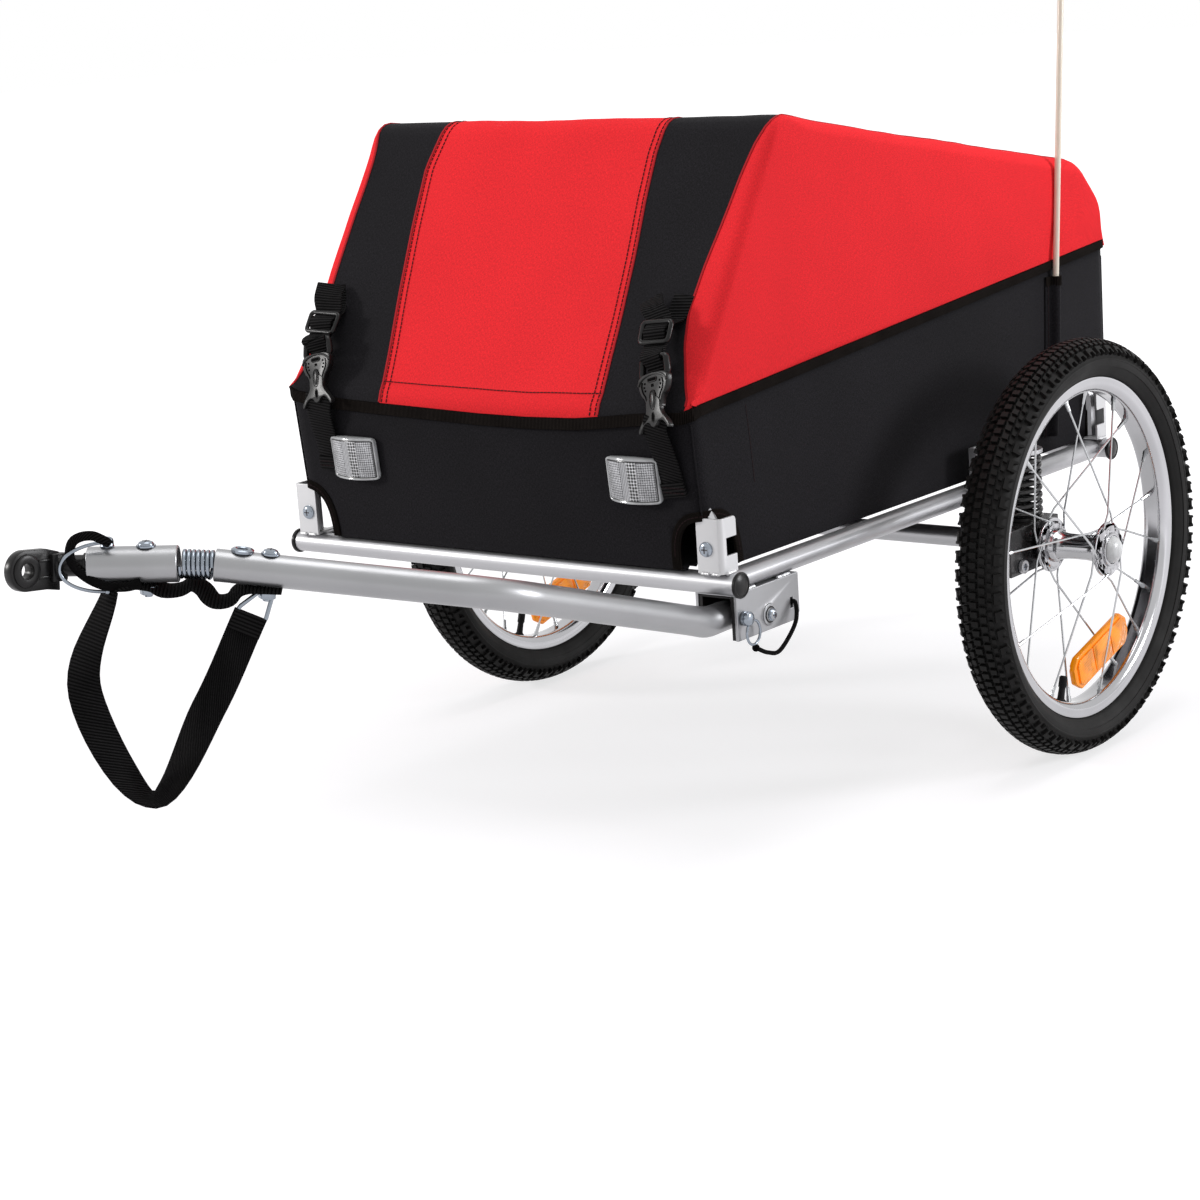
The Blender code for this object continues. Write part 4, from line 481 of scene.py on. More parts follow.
def stitches(bm, points, normals, shade=0):
    """A row of thread stitches along a seam, each a small bar lying on the cloth."""
    cloth = bpy.context.scene.trailer_cloth
    step = 0.001
    long = max(1, round(cloth.stitch_length / step))
    pitch = max(1, round((cloth.stitch_length + cloth.stitch_gap) / step))
    fine = evenly(points, step)
    spots = np.array([tuple(p) for p in points])
    for start in range(0, len(fine) - 1, pitch):
        a, b = fine[start], fine[min(start + long, len(fine) - 1)]
        nearest = int(np.argmin(np.linalg.norm(spots - np.array(tuple((a + b) / 2)), axis=1)))
        along = (b - a).normalized()
        out = square_to(along, Vector(normals[nearest]))
        place = basis(along, out.cross(along), out, (a + b) / 2 + out * 0.0001)
        block(bm, place, ((b - a).length, cloth.thread_width, cloth.thread_width * 0.8), 0, shade)


# Pieces
def add_piece(name, bm, finishes, body, stands_for=(), smooth=35, ride=True):
    """Makes a bmesh a piece at the origin, with its finishes, body and replaced nodes."""
    data = bpy.data.meshes.new(name)
    bm.to_mesh(data)
    bm.free()
    for finish in finishes:
        data.materials.append(material(finish))
    data.shade_smooth()
    data.set_sharp_from_angle(angle=math.radians(smooth))
    piece = bpy.data.objects.new(name, data)
    bpy.context.scene.collection.objects.link(piece)
    if stands_for:
        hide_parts(*stands_for)
    if ride:
        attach(piece, body)
    return piece


def add_modifier(piece, kind, **settings):
    made = piece.modifiers.new(kind.title(), kind)
    for name, value in settings.items():
        setattr(made, name, value)


def refined(node, name, finish, edge):
    """A merged copy of a CAD node whose flat faces are joined and whose edges are rounded."""
    bm = bmesh.new()
    bm.from_mesh(frame["nodes"][node].data)
    bmesh.ops.remove_doubles(bm, verts=bm.verts, dist=1e-5)
    bmesh.ops.dissolve_limit(bm, angle_limit=math.radians(1.0), verts=bm.verts, edges=bm.edges)
    piece = add_piece(name, bm, [finish], frame["nodes"][node]["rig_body"], [node])
    add_modifier(piece, "BEVEL", width=edge, segments=2, limit_method="ANGLE",
                 angle_limit=math.radians(35), harden_normals=True)


def dress(node, finish):
    """Gives a CAD node that shows as it is a detailed finish, merged and smoothed by modifiers."""
    piece = frame["nodes"][node]
    piece.data.materials.clear()
    piece.data.materials.append(material(finish))
    piece.data.polygons.foreach_set("use_smooth", [True] * len(piece.data.polygons))
    add_modifier(piece, "WELD", merge_threshold=1e-5)
    add_modifier(piece, "EDGE_SPLIT", split_angle=math.radians(32))


# Finishes
def feed(tree, socket, value):
    """Sets a socket to a value, or links it to another node's output."""
    if isinstance(value, bpy.types.NodeSocket):
        tree.links.new(value, socket)
    else:
        socket.default_value = value


def add_node(tree, kind, sockets=None, **settings):
    made = tree.nodes.new(kind)
    for name, value in settings.items():
        setattr(made, name, value)
    for name, value in (sockets or {}).items():
        feed(tree, made.inputs[name], value)
    return made


def start_finish(name, roughness, metallic=0.0, **constants):
    made = bpy.data.materials.new(name)
    made.use_nodes = True
    shader = made.node_tree.nodes["Principled BSDF"]
    shader.inputs["Roughness"].default_value = roughness
    shader.inputs["Metallic"].default_value = metallic
    for socket, value in constants.items():
        label = socket.replace("_", " ").title().replace("Ior", "IOR")
        shader.inputs[label].default_value = value
    return made, made.node_tree, shader


def object_coords(tree):
    return add_node(tree, "ShaderNodeTexCoord").outputs["Object"]


def cloth_coords(tree):
    return add_node(tree, "ShaderNodeUVMap", uv_map="cloth").outputs["UV"]


def speckle(tree, coords, scale, detail, rough=0.5, stretch=None):
    """A noise value over a place, stretched if asked."""
    if stretch:
        coords = add_node(tree, "ShaderNodeMapping", {"Vector": coords, "Scale": stretch}).outputs[0]
    sockets = {"Vector": coords, "Scale": scale, "Detail": detail, "Roughness": rough}
    return add_node(tree, "ShaderNodeTexNoise", sockets).outputs["Fac"]


def ramp(tree, value, stops):
    """A colour ramp with stops given as (place, colour or grey)."""
    made = add_node(tree, "ShaderNodeValToRGB", {"Fac": value})
    points = made.color_ramp.elements
    while len(points) < len(stops):
        points.new(0.5)
    for point, (place, colour) in zip(points, stops):
        point.position = place
        point.color = (*(colour if isinstance(colour, tuple) else (colour,) * 3), 1.0)
    return made.outputs["Color"]


def clouded(tree, value, colour, spread, low=0.3):
    """A colour that drifts with a value between a darker and a lighter shade."""
    dark = tuple(c * (1 - spread) for c in colour)
    light = tuple(min(1.0, c * (1 + spread)) for c in colour)
    return ramp(tree, value, [(low, dark), (1 - low, light)])


def mapped(tree, value, low, high, **sockets):
    """A value from 0 to 1 spread over another range."""
    sockets = {name.replace("_", " ").title(): number for name, number in sockets.items()}
    sockets.update({"Value": value, "To Min": low, "To Max": high})
    return add_node(tree, "ShaderNodeMapRange", sockets).outputs["Result"]


def mixed(tree, share, first, second, how="MIX"):
    made = add_node(tree, "ShaderNodeMix", data_type="RGBA", blend_type=how)
    second = (*second, 1.0) if isinstance(second, tuple) else second
    for index, value in ((0, share), (6, first), (7, second)):
        feed(tree, made.inputs[index], value)
    return made.outputs[2]


def reckon(tree, how, first, second):
    return add_node(tree, "ShaderNodeMath", {0: first, 1: second}, operation=how).outputs[0]


def bumped(tree, shader, height, strength, distance, below=None):
    made = add_node(tree, "ShaderNodeBump", {"Height": height, "Strength": strength, "Distance": distance})
    if below is not None:
        tree.links.new(below, made.inputs["Normal"])
    tree.links.new(made.outputs["Normal"], shader.inputs["Normal"])
    return made.outputs["Normal"]


def coated_metal(name, colour, roughness, metallic, grain=1400.0, spread=0.05, relief=0.00003):
    """Powder coat or plating: an uneven film, fine orange peel and faint smears."""
    made, tree, shader = start_finish(name, roughness, metallic)
    coords = object_coords(tree)
    cloud = clouded(tree, speckle(tree, coords, 14.0, 5.0), colour, spread)
    tree.links.new(cloud, shader.inputs["Base Color"])
    smear = speckle(tree, coords, 35.0, 4.0)
    gloss = mapped(tree, smear, roughness * 0.8, min(1.0, roughness * 1.25))
    tree.links.new(gloss, shader.inputs["Roughness"])
    bumped(tree, shader, speckle(tree, coords, grain, 2.0), 0.35, relief)
    return made


def moulded(name, colour, roughness, specular=0.24):
    """Moulded plastic with a fine spark-eroded grain and faint flow marks."""
    made, tree, shader = start_finish(name, roughness, specular_ior_level=specular)
    coords = object_coords(tree)
    flow = speckle(tree, coords, 60.0, 4.0)
    tree.links.new(clouded(tree, flow, colour, 0.22, 0.35), shader.inputs["Base Color"])
    grain = speckle(tree, coords, 900.0, 2.0)
    tree.links.new(mapped(tree, grain, roughness * 0.8, roughness * 1.2), shader.inputs["Roughness"])
    bumped(tree, shader, grain, 0.4, 0.00005)
    return made


def painted_hollow_shade(name, colour):
    """Painted shade: a dull, near-black finish for the marks that stand in for the hollows of moulded slots.
    """
    return moulded(name, tuple(c * 0.25 for c in colour), 0.7, 0.02)


def band(tree, coords, pitch, direction):
    """Waves of a pitch in metres across the cloth map."""
    sockets = {"Vector": coords, "Scale": math.pi / (10 * pitch), "Distortion": 0.0, "Detail": 0.0}
    return add_node(tree, "ShaderNodeTexWave", sockets, wave_type="BANDS", bands_direction=direction,
                    wave_profile="SIN").outputs["Fac"]


def woven(name, colour, spread, fleck, sheen, specular, roughness=0.8):
    """Plain-woven polyester: threads over and under, slubs, faint rub marks and a soft sheen."""
    pitch = bpy.context.scene.trailer_cloth.weave_pitch
    made, tree, shader = start_finish(name, roughness, sheen_weight=sheen, sheen_roughness=0.4,
                                      specular_ior_level=specular)
    coords = cloth_coords(tree)
    sockets = {"Vector": coords, "Color1": (1, 1, 1, 1), "Color2": (0, 0, 0, 1), "Scale": 1 / pitch}
    over = add_node(tree, "ShaderNodeTexChecker", sockets).outputs["Fac"]
    threads = {0: over, 2: band(tree, coords, pitch, "X"), 3: band(tree, coords, pitch, "Y")}
    height = add_node(tree, "ShaderNodeMix", threads, data_type="FLOAT").outputs[0]
    base = clouded(tree, speckle(tree, coords, 11.0, 4.0), colour, spread)
    for scale, stretch in ((1.1 / pitch, (1.0, 0.28, 1.0)), (1.3 / pitch, (0.28, 1.0, 1.0))):
        slub = speckle(tree, coords, scale, 1.0, 0.5, stretch)
        base = mixed(tree, 1.0, base, ramp(tree, slub, [(0.32, 1 - fleck), (0.68, 1 + fleck)]), "MULTIPLY")
    # painted shade: the colour darkens where the threads dip under the weave
    painted_groove_shade = ramp(tree, height, [(0.0, 1 - fleck * 1.4), (0.6, 1.0)])
    tree.links.new(mixed(tree, 1.0, base, painted_groove_shade, "MULTIPLY"), shader.inputs["Base Color"])
    soft = bumped(tree, shader, speckle(tree, coords, 42.0, 3.0), 0.2, 0.001)
    bumped(tree, shader, height, 0.4, 0.00014, soft)
    return made


def ribbed(name, colour, ribs=1.0, spread=0.2, roughness=0.7):
    """Webbing or binding tape: ribs across it and fine threads along it."""
    pitch = bpy.context.scene.trailer_cloth.rib_pitch * ribs
    made, tree, shader = start_finish(name, roughness, specular_ior_level=0.02)
    coords = cloth_coords(tree)
    ridges, threads = band(tree, coords, pitch, "Y"), band(tree, coords, pitch * 0.45, "X")
    cloud = clouded(tree, speckle(tree, coords, 30.0, 4.0), colour, spread)
    # painted shade and highlight: the colour falls to 0.15 in the grooves between ribs and rises to 1.9 on
    # their crests
    shade = ramp(tree, ridges, [(0.0, 0.15), (0.7, 1.9)])
    fleck = ramp(tree, speckle(tree, coords, 900.0, 2.0), [(0.3, 0.7), (0.7, 1.3)])
    base = mixed(tree, 0.8, mixed(tree, 0.9, cloud, shade, "MULTIPLY"), fleck, "MULTIPLY")
    tree.links.new(base, shader.inputs["Base Color"])
    below = bumped(tree, shader, threads, 0.3, 0.00012)
    bumped(tree, shader, ridges, 0.9, 0.0009, below)
    return made


def rubber(name, colour):
    """Tyre rubber: matt, faintly dusty in random patches, with a fine moulding texture."""
    made, tree, shader = start_finish(name, 0.62, specular_ior_level=0.16)
    coords = object_coords(tree)
    base = clouded(tree, speckle(tree, coords, 70.0, 6.0), colour, 0.3)
    dust = ramp(tree, speckle(tree, coords, 9.0, 5.0), [(0.55, 0.0), (0.8, 0.15)])
    brown = tuple(c * 2.4 for c in (colour[0] * 1.15, colour[1], colour[2] * 0.85))
    tree.links.new(mixed(tree, dust, base, brown), shader.inputs["Base Color"])
    tree.links.new(mapped(tree, speckle(tree, coords, 24.0, 4.0), 0.45, 0.78), shader.inputs["Roughness"])
    bumped(tree, shader, speckle(tree, coords, 1500.0, 3.0), 0.5, 0.00012)
    return made


def prismatic(name, colour, deep, cell, roughness, metallic, coat, glow=0.0):
    """A reflector's moulded lens: small prisms under a clear face, with painted shade along their edges where
    the second colour is darker, a painted highlight where it is lighter, and with glow a painted glow of its
    own colour.
    """
    made, tree, shader = start_finish(name, roughness, metallic, coat_weight=coat, coat_roughness=0.05)
    coords = cloth_coords(tree)
    cells = add_node(tree, "ShaderNodeTexVoronoi", {"Vector": coords, "Scale": 1 / cell, "Randomness": 0.12},
                     voronoi_dimensions="2D").outputs["Distance"]
    deep = deep if isinstance(deep, tuple) else tuple(c * deep for c in colour)
    # painted shade along the prism edges: towards each cell's rim the colour turns to the deep colour; where
    # that is lighter it is a painted highlight
    tone = ramp(tree, cells, [(0.0, colour), (0.3, colour), (0.55, deep)])
    patch = ramp(tree, speckle(tree, coords, 55.0, 2.0), [(0.42, 0.78), (0.6, 1.25)])
    hue = mixed(tree, 0.85, tone, patch, "MULTIPLY")
    tree.links.new(hue, shader.inputs["Base Color"])
    # painted glow: the lens gives off light in its own colour, though it is no lamp
    if glow:
        tree.links.new(hue, shader.inputs["Emission Color"])
        shader.inputs["Emission Strength"].default_value = glow
        shader.inputs["Specular IOR Level"].default_value = 0.25
    bumped(tree, shader, cells, 0.6, 0.0006)
    return made


def barred(name, colour):
    """The plain part of a clear lens, moulded in upright bars, with painted shade in the grooves between
    them.
    """
    made, tree, shader = start_finish(name, 0.2, 0.6, coat_weight=0.5, coat_roughness=0.04)
    bars = band(tree, cloth_coords(tree), 0.0019, "X")
    # painted shade: between the bars the colour falls to 0.3 of itself
    stops = [(0.1, tuple(c * 0.3 for c in colour)), (0.5, colour)]
    tree.links.new(ramp(tree, bars, stops), shader.inputs["Base Color"])
    bumped(tree, shader, bars, 0.5, 0.0006)
    return made


def streaked(name, colour):
    """Pultruded fibreglass: long fine fibres under a thin resin skin."""
    made, tree, shader = start_finish(name, 0.35, coat_weight=0.2)
    fibres = speckle(tree, object_coords(tree), 900.0, 4.0, 0.6, (1.0, 1.0, 0.02))
    tree.links.new(clouded(tree, fibres, colour, 0.07), shader.inputs["Base Color"])
    bumped(tree, shader, fibres, 0.3, 0.00004)
    return made


def thread(name, colour):
    """Twisted sewing thread."""
    made, tree, shader = start_finish(name, 0.7, specular_ior_level=0.15)
    fleck = speckle(tree, object_coords(tree), 2600.0, 2.0)
    tree.links.new(clouded(tree, fleck, colour, 0.35), shader.inputs["Base Color"])
    return made


# Each finish: its maker, its colour as a setting or a value, and what its maker takes
FINISHES = {
    "silver_coat": (coated_metal, "silver", 0.36, 0.85),
    "bracket_coat": (coated_metal, "bracket", 0.42, 0.55),
    "arm_coat": (coated_metal, "arm", 0.36, 0.8),
    "chrome": (coated_metal, "chrome", 0.13, 1.0, 500.0, 0.06, 0.00001),
    "polished_spoke": (coated_metal, "spoke", 0.25, 1.0, 900.0, 0.1),
    "zinc_plate": (coated_metal, "zinc", 0.24, 1.0, 1100.0, 0.14),
    "black_enamel": (coated_metal, "enamel", 0.2, 0.0, 700.0, 0.25),
    # painted shade: a dark finish for the bars that stand in for the screws' cross recesses
    "screw_recess": (coated_metal, "recess", 0.5, 0.6),
    "black_plastic": (moulded, "plastic", 0.30),
    "pearl_cap": (moulded, "pearl", 0.22, 0.5),
    "lens_rim": (moulded, "lens_rim", 0.12, 0.5),
    # painted shade: a dark finish for the marks that stand in for the buckles' hollows
    "dark_hollow": (painted_hollow_shade, "plastic"),
    "tyre_rubber": (rubber, "rubber"),
    "red_weave": (woven, "red", 0.03, 0.10, 0.0, 0.12, 0.85),
    "black_weave": (woven, "black", 0.14, 0.42, 0.03, 0.1),
    "dark_binding": (ribbed, "binding", 0.55, 0.25, 0.8),
    "black_webbing": (ribbed, "webbing"),
    "lanyard_cord": (ribbed, "webbing", 3 / 7),
    # painted light in the lenses: each paints its prism edges, darker as painted shade or lighter as a
    # painted highlight; the amber lens's last number is its painted glow
    "amber_lens": (prismatic, "amber", 0.7, 0.0024, 0.16, 0.0, 0.35, 0.25),
    "clear_prism": (prismatic, "clear", (0.06, 0.06, 0.065), 0.0021, 0.22, 0.6, 0.5),
    # painted shade: this zone of the clear reflector is painted near black, with painted highlights along its
    # prism edges
    "dark_prism": (prismatic, (0.005, 0.005, 0.006), (0.85, 0.86, 0.88), 0.0028, 0.35, 0.0, 0.1),
    "clear_bars": (barred, "clear"),
    "dark_thread": (thread, "thread"),
    "red_thread": (thread, "seam"),
    "cream_fibreglass": (streaked, "cream"),
}


def material(name):
    """One of the trailer's finishes, made when it is first asked for."""
    label = f"{name}_finish"
    if label in bpy.data.materials:
        return bpy.data.materials[label]
    maker, colour, *sizes = FINISHES[name]
    if isinstance(colour, str):
        colour = tuple(getattr(bpy.context.scene.trailer_colours, colour))
    return maker(label, colour, *sizes)


# Settings that a user would change
def colour_setting(name, description, default):
    return bpy.props.FloatVectorProperty(
        name=name, description=description, default=default, min=0.0, max=1.0, subtype="COLOR", size=3
    )


def number_setting(name, description, default, **limits):
    return bpy.props.FloatProperty(name=name, description=description, default=default, min=0.0, **limits)


def length_setting(name, description, default):
    return number_setting(name, description, default, precision=4, unit="LENGTH")


def count_setting(name, description, default, least):
    return bpy.props.IntProperty(name=name, description=description, default=default, min=least)


class TrailerColours(bpy.types.PropertyGroup):
    """Colours of the trailer's finishes, as linear red, green and blue."""

    red: colour_setting("Red cloth", "Cover's red panels", (0.93, 0.028, 0.036))
    black: colour_setting("Black cloth", "Bag and the cover's stripes", (0.0112, 0.0102, 0.0125))
    binding: colour_setting("Binding", "Tape round the hems and cut-outs", (0.011, 0.0088, 0.0078))
    webbing: colour_setting("Webbing", "Straps and cords", (0.012, 0.0115, 0.0118))
    thread: colour_setting("Thread", "Stitching", (0.010, 0.002, 0.003))
    seam: colour_setting("Seam", "Turned edge beside the red panels", (0.42, 0.012, 0.018))
    silver: colour_setting("Silver coat", "Rails and hoops", (0.46, 0.46, 0.475))
    bracket: colour_setting("Bracket coat", "Corner brackets", (0.60, 0.60, 0.61))
    arm: colour_setting("Arm coat", "Tow arm, hitch bracket and coupler", (0.36, 0.362, 0.372))
    chrome: colour_setting("Chrome", "Rims and hubs", (0.45, 0.45, 0.465))
    spoke: colour_setting("Spokes", "Spokes and nipples", (0.50, 0.51, 0.52))
    zinc: colour_setting("Zinc", "Bolts, pins and springs", (0.27, 0.30, 0.34))
    enamel: colour_setting("Black enamel", "Carriers and coil springs", (0.012, 0.011, 0.011))
    plastic: colour_setting("Black plastic", "Buckles, plugs and the hitch eye", (0.0085, 0.0080, 0.0082))
    pearl: colour_setting("Dust caps", "Hub dust caps", (0.75, 0.76, 0.76))
    rubber: colour_setting("Rubber", "Tyres", (0.007, 0.0066, 0.0064))
    amber: colour_setting("Amber", "Wheel reflectors", (1.0, 0.30, 0.003))
    clear: colour_setting("Clear lens", "Front reflectors", (0.46, 0.465, 0.48))
    lens_rim: colour_setting("Lens rim", "Rims of the front reflectors", (0.50, 0.51, 0.52))
    cream: colour_setting("Fibreglass", "Flag pole", (0.88, 0.79, 0.66))
    # painted shade: the dark colour of the raised bars that stand in for the screw heads' cross recesses
    recess: colour_setting("Screw recess", "Hollows of the screw heads", (0.10, 0.10, 0.11))


class TrailerCloth(bpy.types.PropertyGroup):
    """Sizes of the weave, the stitching and the sewn edges."""

    weave_pitch: length_setting("Weave pitch", "Width of a thread in the plain weave", 0.0008)
    rib_pitch: length_setting("Rib pitch", "Distance between the ribs of the webbing", 0.0028)
    stitch_length: length_setting("Stitch", "Length of a stitch", 0.003)
    stitch_gap: length_setting("Stitch gap", "Distance between stitches", 0.001)
    thread_width: length_setting("Thread", "Thickness of the thread", 0.0007)
    binding_height: length_setting("Binding", "Height of the tape round the cover's hem", 0.0125)
    edge_radius: length_setting("Edge", "Radius at which the cover turns over the side hoops", 0.013)
    wrinkle: length_setting("Wrinkles", "Depth of the cloth's slow folds", 0.0011)
    thickness: length_setting("Cloth", "Thickness of the cloth", 0.0012)
    arch_width: length_setting("Cut-out width", "Width of the cut-outs at the corners", 0.074)
    arch_height: length_setting("Cut-out height", "Height of the cut-outs at the corners", 0.048)


class TrailerWheels(bpy.types.PropertyGroup):
    """Sizes of the tread and the wheels' steps."""

    knob_rows: count_setting("Knobs", "Shoulder knobs round a tyre", 68, 12)
    tread: length_setting("Tread", "Height of the tread blocks", 0.0034)
    spoke_radius: length_setting("Spoke radius", "Radius of a spoke", 0.00095)
    steps: count_setting("Steps", "Steps round a rim and a tyre", 136, 24)


class TrailerStudio(bpy.types.PropertyGroup):
    """Strength of the studio's lights."""

    left_lamp: number_setting("Left lamp", "Soft lamp before the trailer", 64.0, unit="POWER")
    right_lamp: number_setting("Right lamp", "Soft lamp beside the left wheel", 46.0, unit="POWER")
    top_lamp: number_setting("Top lamp", "Soft lamp overhead", 30.0, unit="POWER")
    sky: number_setting("Sky", "Even light from all round", 0.46, max=1.0)
    floor_glow: number_setting("Floor glow", "White that only the camera and mirrors see", 0.68, max=1.0)


SETTINGS = {
    "trailer_colours": TrailerColours,
    "trailer_cloth": TrailerCloth,
    "trailer_wheels": TrailerWheels,
    "trailer_studio": TrailerStudio,
}


# Studio
CAMERA_RIGHT = Vector((0.78534199, 0.61538011, -0.0674473))
CAMERA_UP = Vector((-0.08701243, 0.21759343, 0.97215857))
CAMERA_SPOT = Vector((1.62067684, -1.94953118, 0.77630989))
CAMERA_LENS = 86.346
LAMP_AIM = Vector((0.0, AXLE_Y - 0.3, 0.35))
PAPER_DARK, PAPER_LIGHT = (0.445, 0.435, 0.455), (0.46, 0.448, 0.470)


def seen_share(tree):
    """1 for the rays that reach the camera straight, in a mirror or through glass."""
    path = add_node(tree, "ShaderNodeLightPath")
    share = reckon(tree, "MAXIMUM", path.outputs["Is Camera Ray"], path.outputs["Is Glossy Ray"])
    return reckon(tree, "MAXIMUM", share, path.outputs["Is Transmission Ray"])


class TRAILER_OT_studio(bpy.types.Operator):
    """Camera, white surroundings, floor and three soft lamps"""

    bl_idname = "trailer.studio"
    bl_label = "Studio"

    def execute(self, context):
        studio = context.scene.trailer_studio
        view = bpy.data.cameras.new("photo_camera")
        view.lens, view.sensor_width, view.clip_end = CAMERA_LENS, 36.0, 50.0
        camera = bpy.data.objects.new("photo_camera", view)
        context.scene.collection.objects.link(camera)
        camera.matrix_world = basis(CAMERA_RIGHT, CAMERA_UP, CAMERA_RIGHT.cross(CAMERA_UP), CAMERA_SPOT)
        context.scene.camera = camera
        context.scene.view_settings.view_transform = "Standard"
        self.surround(context, studio)
        self.floor(context, studio)
        for name, power, size, spot, colour in (
            ("left_lamp", studio.left_lamp, 0.7, (-2.9, -2.3, 1.45), (1.0, 0.985, 0.97)),
            ("right_lamp", studio.right_lamp, 0.9, (2.7, 1.7, 1.0), (0.97, 0.98, 1.0)),
            ("top_lamp", studio.top_lamp, 2.0, (0.2, 0.1, 3.1), (1.0, 1.0, 1.0)),
        ):
            self.lamp(context, name, power, size, Vector(spot), colour)
        return {"FINISHED"}

    def surround(self, context, studio):
        world = bpy.data.worlds.new("white_room")
        world.use_nodes = True
        tree = world.node_tree
        shade = tree.nodes["Background"]
        shade.inputs["Color"].default_value = (1.0, 1.0, 1.0, 1.0)
        tree.links.new(mapped(tree, seen_share(tree), studio.sky, 1.0), shade.inputs["Strength"])
        context.scene.world = world

    def floor(self, context, studio):
        bm = bmesh.new()
        bmesh.ops.create_grid(bm, x_segments=2, y_segments=2, size=14.0)
        data = bpy.data.meshes.new("studio_floor")
        bm.to_mesh(data)
        bm.free()
        paper = bpy.data.materials.new("floor_paper")
        paper.use_nodes = True
        tree = paper.node_tree
        tree.nodes.remove(tree.nodes["Principled BSDF"])
        coords = object_coords(tree)
        tone = ramp(tree, speckle(tree, coords, 3.0, 3.0), [(0.0, PAPER_DARK), (1.0, PAPER_LIGHT)])
        matt = add_node(tree, "ShaderNodeBsdfDiffuse", {"Color": tone})
        ends = {0: coords, 1: (0.0, 0.0, 0.0)}
        away = add_node(tree, "ShaderNodeVectorMath", ends, operation="DISTANCE").outputs["Value"]
        level = mapped(tree, away, studio.floor_glow, 1.0, from_min=0.9, from_max=2.2)
        power = reckon(tree, "MULTIPLY", seen_share(tree), level)
        glow = add_node(tree, "ShaderNodeEmission", {"Strength": power})
        both = add_node(tree, "ShaderNodeAddShader", {0: matt.outputs[0], 1: glow.outputs[0]})
        tree.links.new(both.outputs[0], tree.nodes["Material Output"].inputs["Surface"])
        data.materials.append(paper)
        piece = bpy.data.objects.new("studio_floor", data)
        context.scene.collection.objects.link(piece)

    def lamp(self, context, name, power, size, spot, colour):
        data = bpy.data.lights.new(name, "AREA")
        data.shape, data.size, data.energy, data.color = "DISK", size, power, colour
        lamp = bpy.data.objects.new(name, data)
        lamp.matrix_world = facing(spot, spot - LAMP_AIM)
        context.scene.collection.objects.link(lamp)


# Wheels
CROWN_BEND, BLOCK_ROOT = 0.0275, 0.0012
VALVE_ANGLE = math.radians(252)
FLANGE = 0.029
SPOKES, SPOKE_SWEEP, HEAD_CIRCLE = 20, math.radians(62), 0.0215
LENS_ANGLE = math.radians(-74)
LENS_OUT = Vector((0, math.cos(LENS_ANGLE), math.sin(LENS_ANGLE)))
LENS_ALONG = Vector((0, -math.sin(LENS_ANGLE), math.cos(LENS_ANGLE)))
LENS_LONG, LENS_WIDE, LENS_CUT = 0.053, 0.0165, 0.0092


def wheel_centre(sign):
    return Vector((sign * HALF_TRACK, AXLE_Y, WHEEL_RADIUS))


def tyre_crown(half, rise):
    """A place on the tread's arc or above it, as (across, radius)."""
    tread = bpy.context.scene.trailer_wheels.tread
    angle, reach = half / CROWN_BEND, CROWN_BEND + rise
    return reach * math.sin(angle), WHEEL_RADIUS - tread - CROWN_BEND + reach * math.cos(angle)


def on_tread(centre, sign, across, around, rise):
    """A place on the tyre: metres across the tread, metres round it and metres above the carcass."""
    a, radius = tyre_crown(across, rise)
    angle = around / WHEEL_RADIUS
    return centre + Vector((sign * a, radius * math.cos(angle), radius * math.sin(angle)))


def tread_block(bm, centre, sign, outline, height, taper):
    """One block: its outline in metres across and round the tread, raised and drawn in."""
    inner = Vector([sum(c) / len(outline) for c in zip(*outline)])
    base = [bm.verts.new(on_tread(centre, sign, a, c, -BLOCK_ROOT)) for a, c in outline]
    face = bm.faces.new(base)
    made = bmesh.ops.extrude_face_region(bm, geom=[face])["geom"]
    bmesh.ops.delete(bm, geom=[face], context="FACES_ONLY")
    for vert in of_kind(made, BMVert):
        nearest = min(range(len(base)), key=lambda k: (vert.co - base[k].co).length)
        spot = inner + (Vector(outline[nearest]) - inner) * taper
        vert.co = on_tread(centre, sign, spot.x, spot.y, height)


